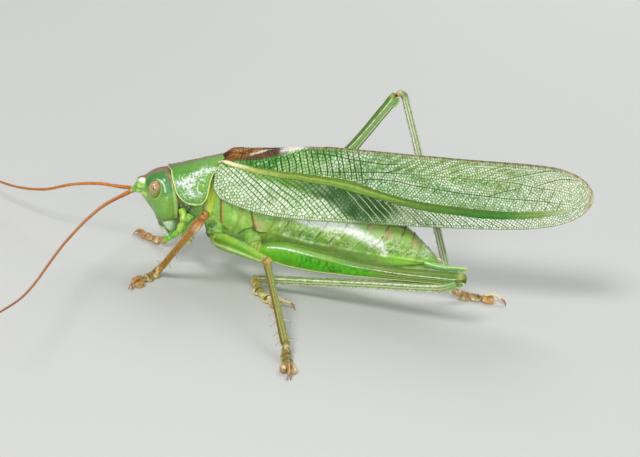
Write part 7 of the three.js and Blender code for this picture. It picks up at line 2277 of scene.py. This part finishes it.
def hind_wing(side):
    nu, nv = 230, 46
    us = np.linspace(11.2, 43.0, nu)
    fold, hf, low, hl = TEGMEN(us)
    need = .36 + .25 + .06
    s = np.clip(((need - hf) / np.maximum(hl - hf, .05)), .02, .98) ** (1 / .8)
    top = fold + (low - fold) * s - .1
    over = TRUNK(WING_ROOT[0] + us * math.cos(PITCH))[0]
    over = np.where(us < 29.5, over, 0)
    overv = (over - WING_ROOT[1]) / math.cos(PITCH) - us * math.tan(PITCH) + .3
    bottom = np.where(us < 29.5, np.maximum(low + .4, overv), low - .14 * np.sin(math.pi * (us - 29.5) / 13.5))
    k = sstep(28.5, 30.5, us)
    bottom = np.where(us < 29.5, bottom, low - .14 * np.sin(math.pi * np.clip((us - 29.5) / 13.5, 0, 1)))
    bottom = np.convolve(np.pad(bottom, 6, mode="edge"), np.ones(13) / 13, "valid")
    top = np.maximum(top, bottom + .3)
    f = np.linspace(0, 1, nv)
    Vv = bottom[:, None] + (top - bottom)[:, None] * f[None]
    U = np.repeat(us[:, None], nv, 1)
    zig = 2 * np.abs(((f * 9.5) % 1) - .5) - .5            # pleats
    y0 = .36 + .15 * 2 * zig[None] * np.ones((nu, 1))
    th = .05 + .03 * (np.abs(zig)[None] > .42)
    th = th * np.ones((nu, 1)) * np.minimum(1, np.minimum(np.linspace(0, 12, nu), np.linspace(12, 0, nu))[:, None] + .3)
    c, s_ = math.cos(PITCH), math.sin(PITCH)

    def at(off):
        return np.stack([WING_ROOT[0] + U * c - Vv * s_, side * (y0 + off), WING_ROOT[1] + U * s_ + Vv * c], -1).reshape(-1, 3)
    A, Bq = at(th), at(-th)
    i, j = np.meshgrid(np.arange(nu - 1), np.arange(nv - 1), indexing="ij")
    Q = np.stack([i * nv + j, i * nv + j + 1, (i + 1) * nv + j + 1, (i + 1) * nv + j], -1).reshape(-1, 4)
    if side < 0:
        Q = Q[:, ::-1]
    n = nu * nv
    loop = np.concatenate([np.arange(nv - 1), np.arange(nu - 1) * nv + nv - 1, (nu - 1) * nv + np.arange(nv - 1, 0, -1), np.arange(nu - 1, 0, -1) * nv])
    nxt = np.roll(loop, -1)
    quad = np.stack([loop, nxt, nxt + n, loop + n], -1)
    has = {(int(q[k0]), int(q[(k0 + 1) % 4])) for q in Q for k0 in range(4)}
    if (int(loop[0]), int(nxt[0])) in has:
        quad = quad[:, ::-1]
    V = np.concatenate([A, Bq])
    if np.cross(A[Q[100, 1]] - A[Q[100, 0]], A[Q[100, 3]] - A[Q[100, 0]])[1] * side < 0:
        Q, quad = Q[:, ::-1], quad[:, ::-1]
    ff = np.tile(f, nu)
    vein = np.exp(-((np.abs(((ff * 9.5) % 1) - .5) - .5) / .1) ** 2) + np.exp(-((np.abs(((ff * 9.5) % 1) - .5)) / .07) ** 2)
    cross_ = np.exp(-((np.abs((U.ravel() * 1.6 + np.floor(ff * 9.5) * .37) % 1 - .5)) / .06) ** 2)
    g = mixc(lin(206, 220, 196), lin(120, 152, 92), np.clip(.8 * vein + .4 * cross_, 0, 1))
    edge = np.exp(-ff / .03)
    g = mixc(g, lin(214, 228, 190), .9 * edge)
    g = np.concatenate([g, g])
    return lean(V), [Q, Q[:, ::-1] + n, quad], g


for side, word in ((-1, "left"), (1, "right")):
    V, F, g = hind_wing(side)
    build("hind_wing_" + word, V, F, hind_mat, g, stands=["hindwing_" + word])
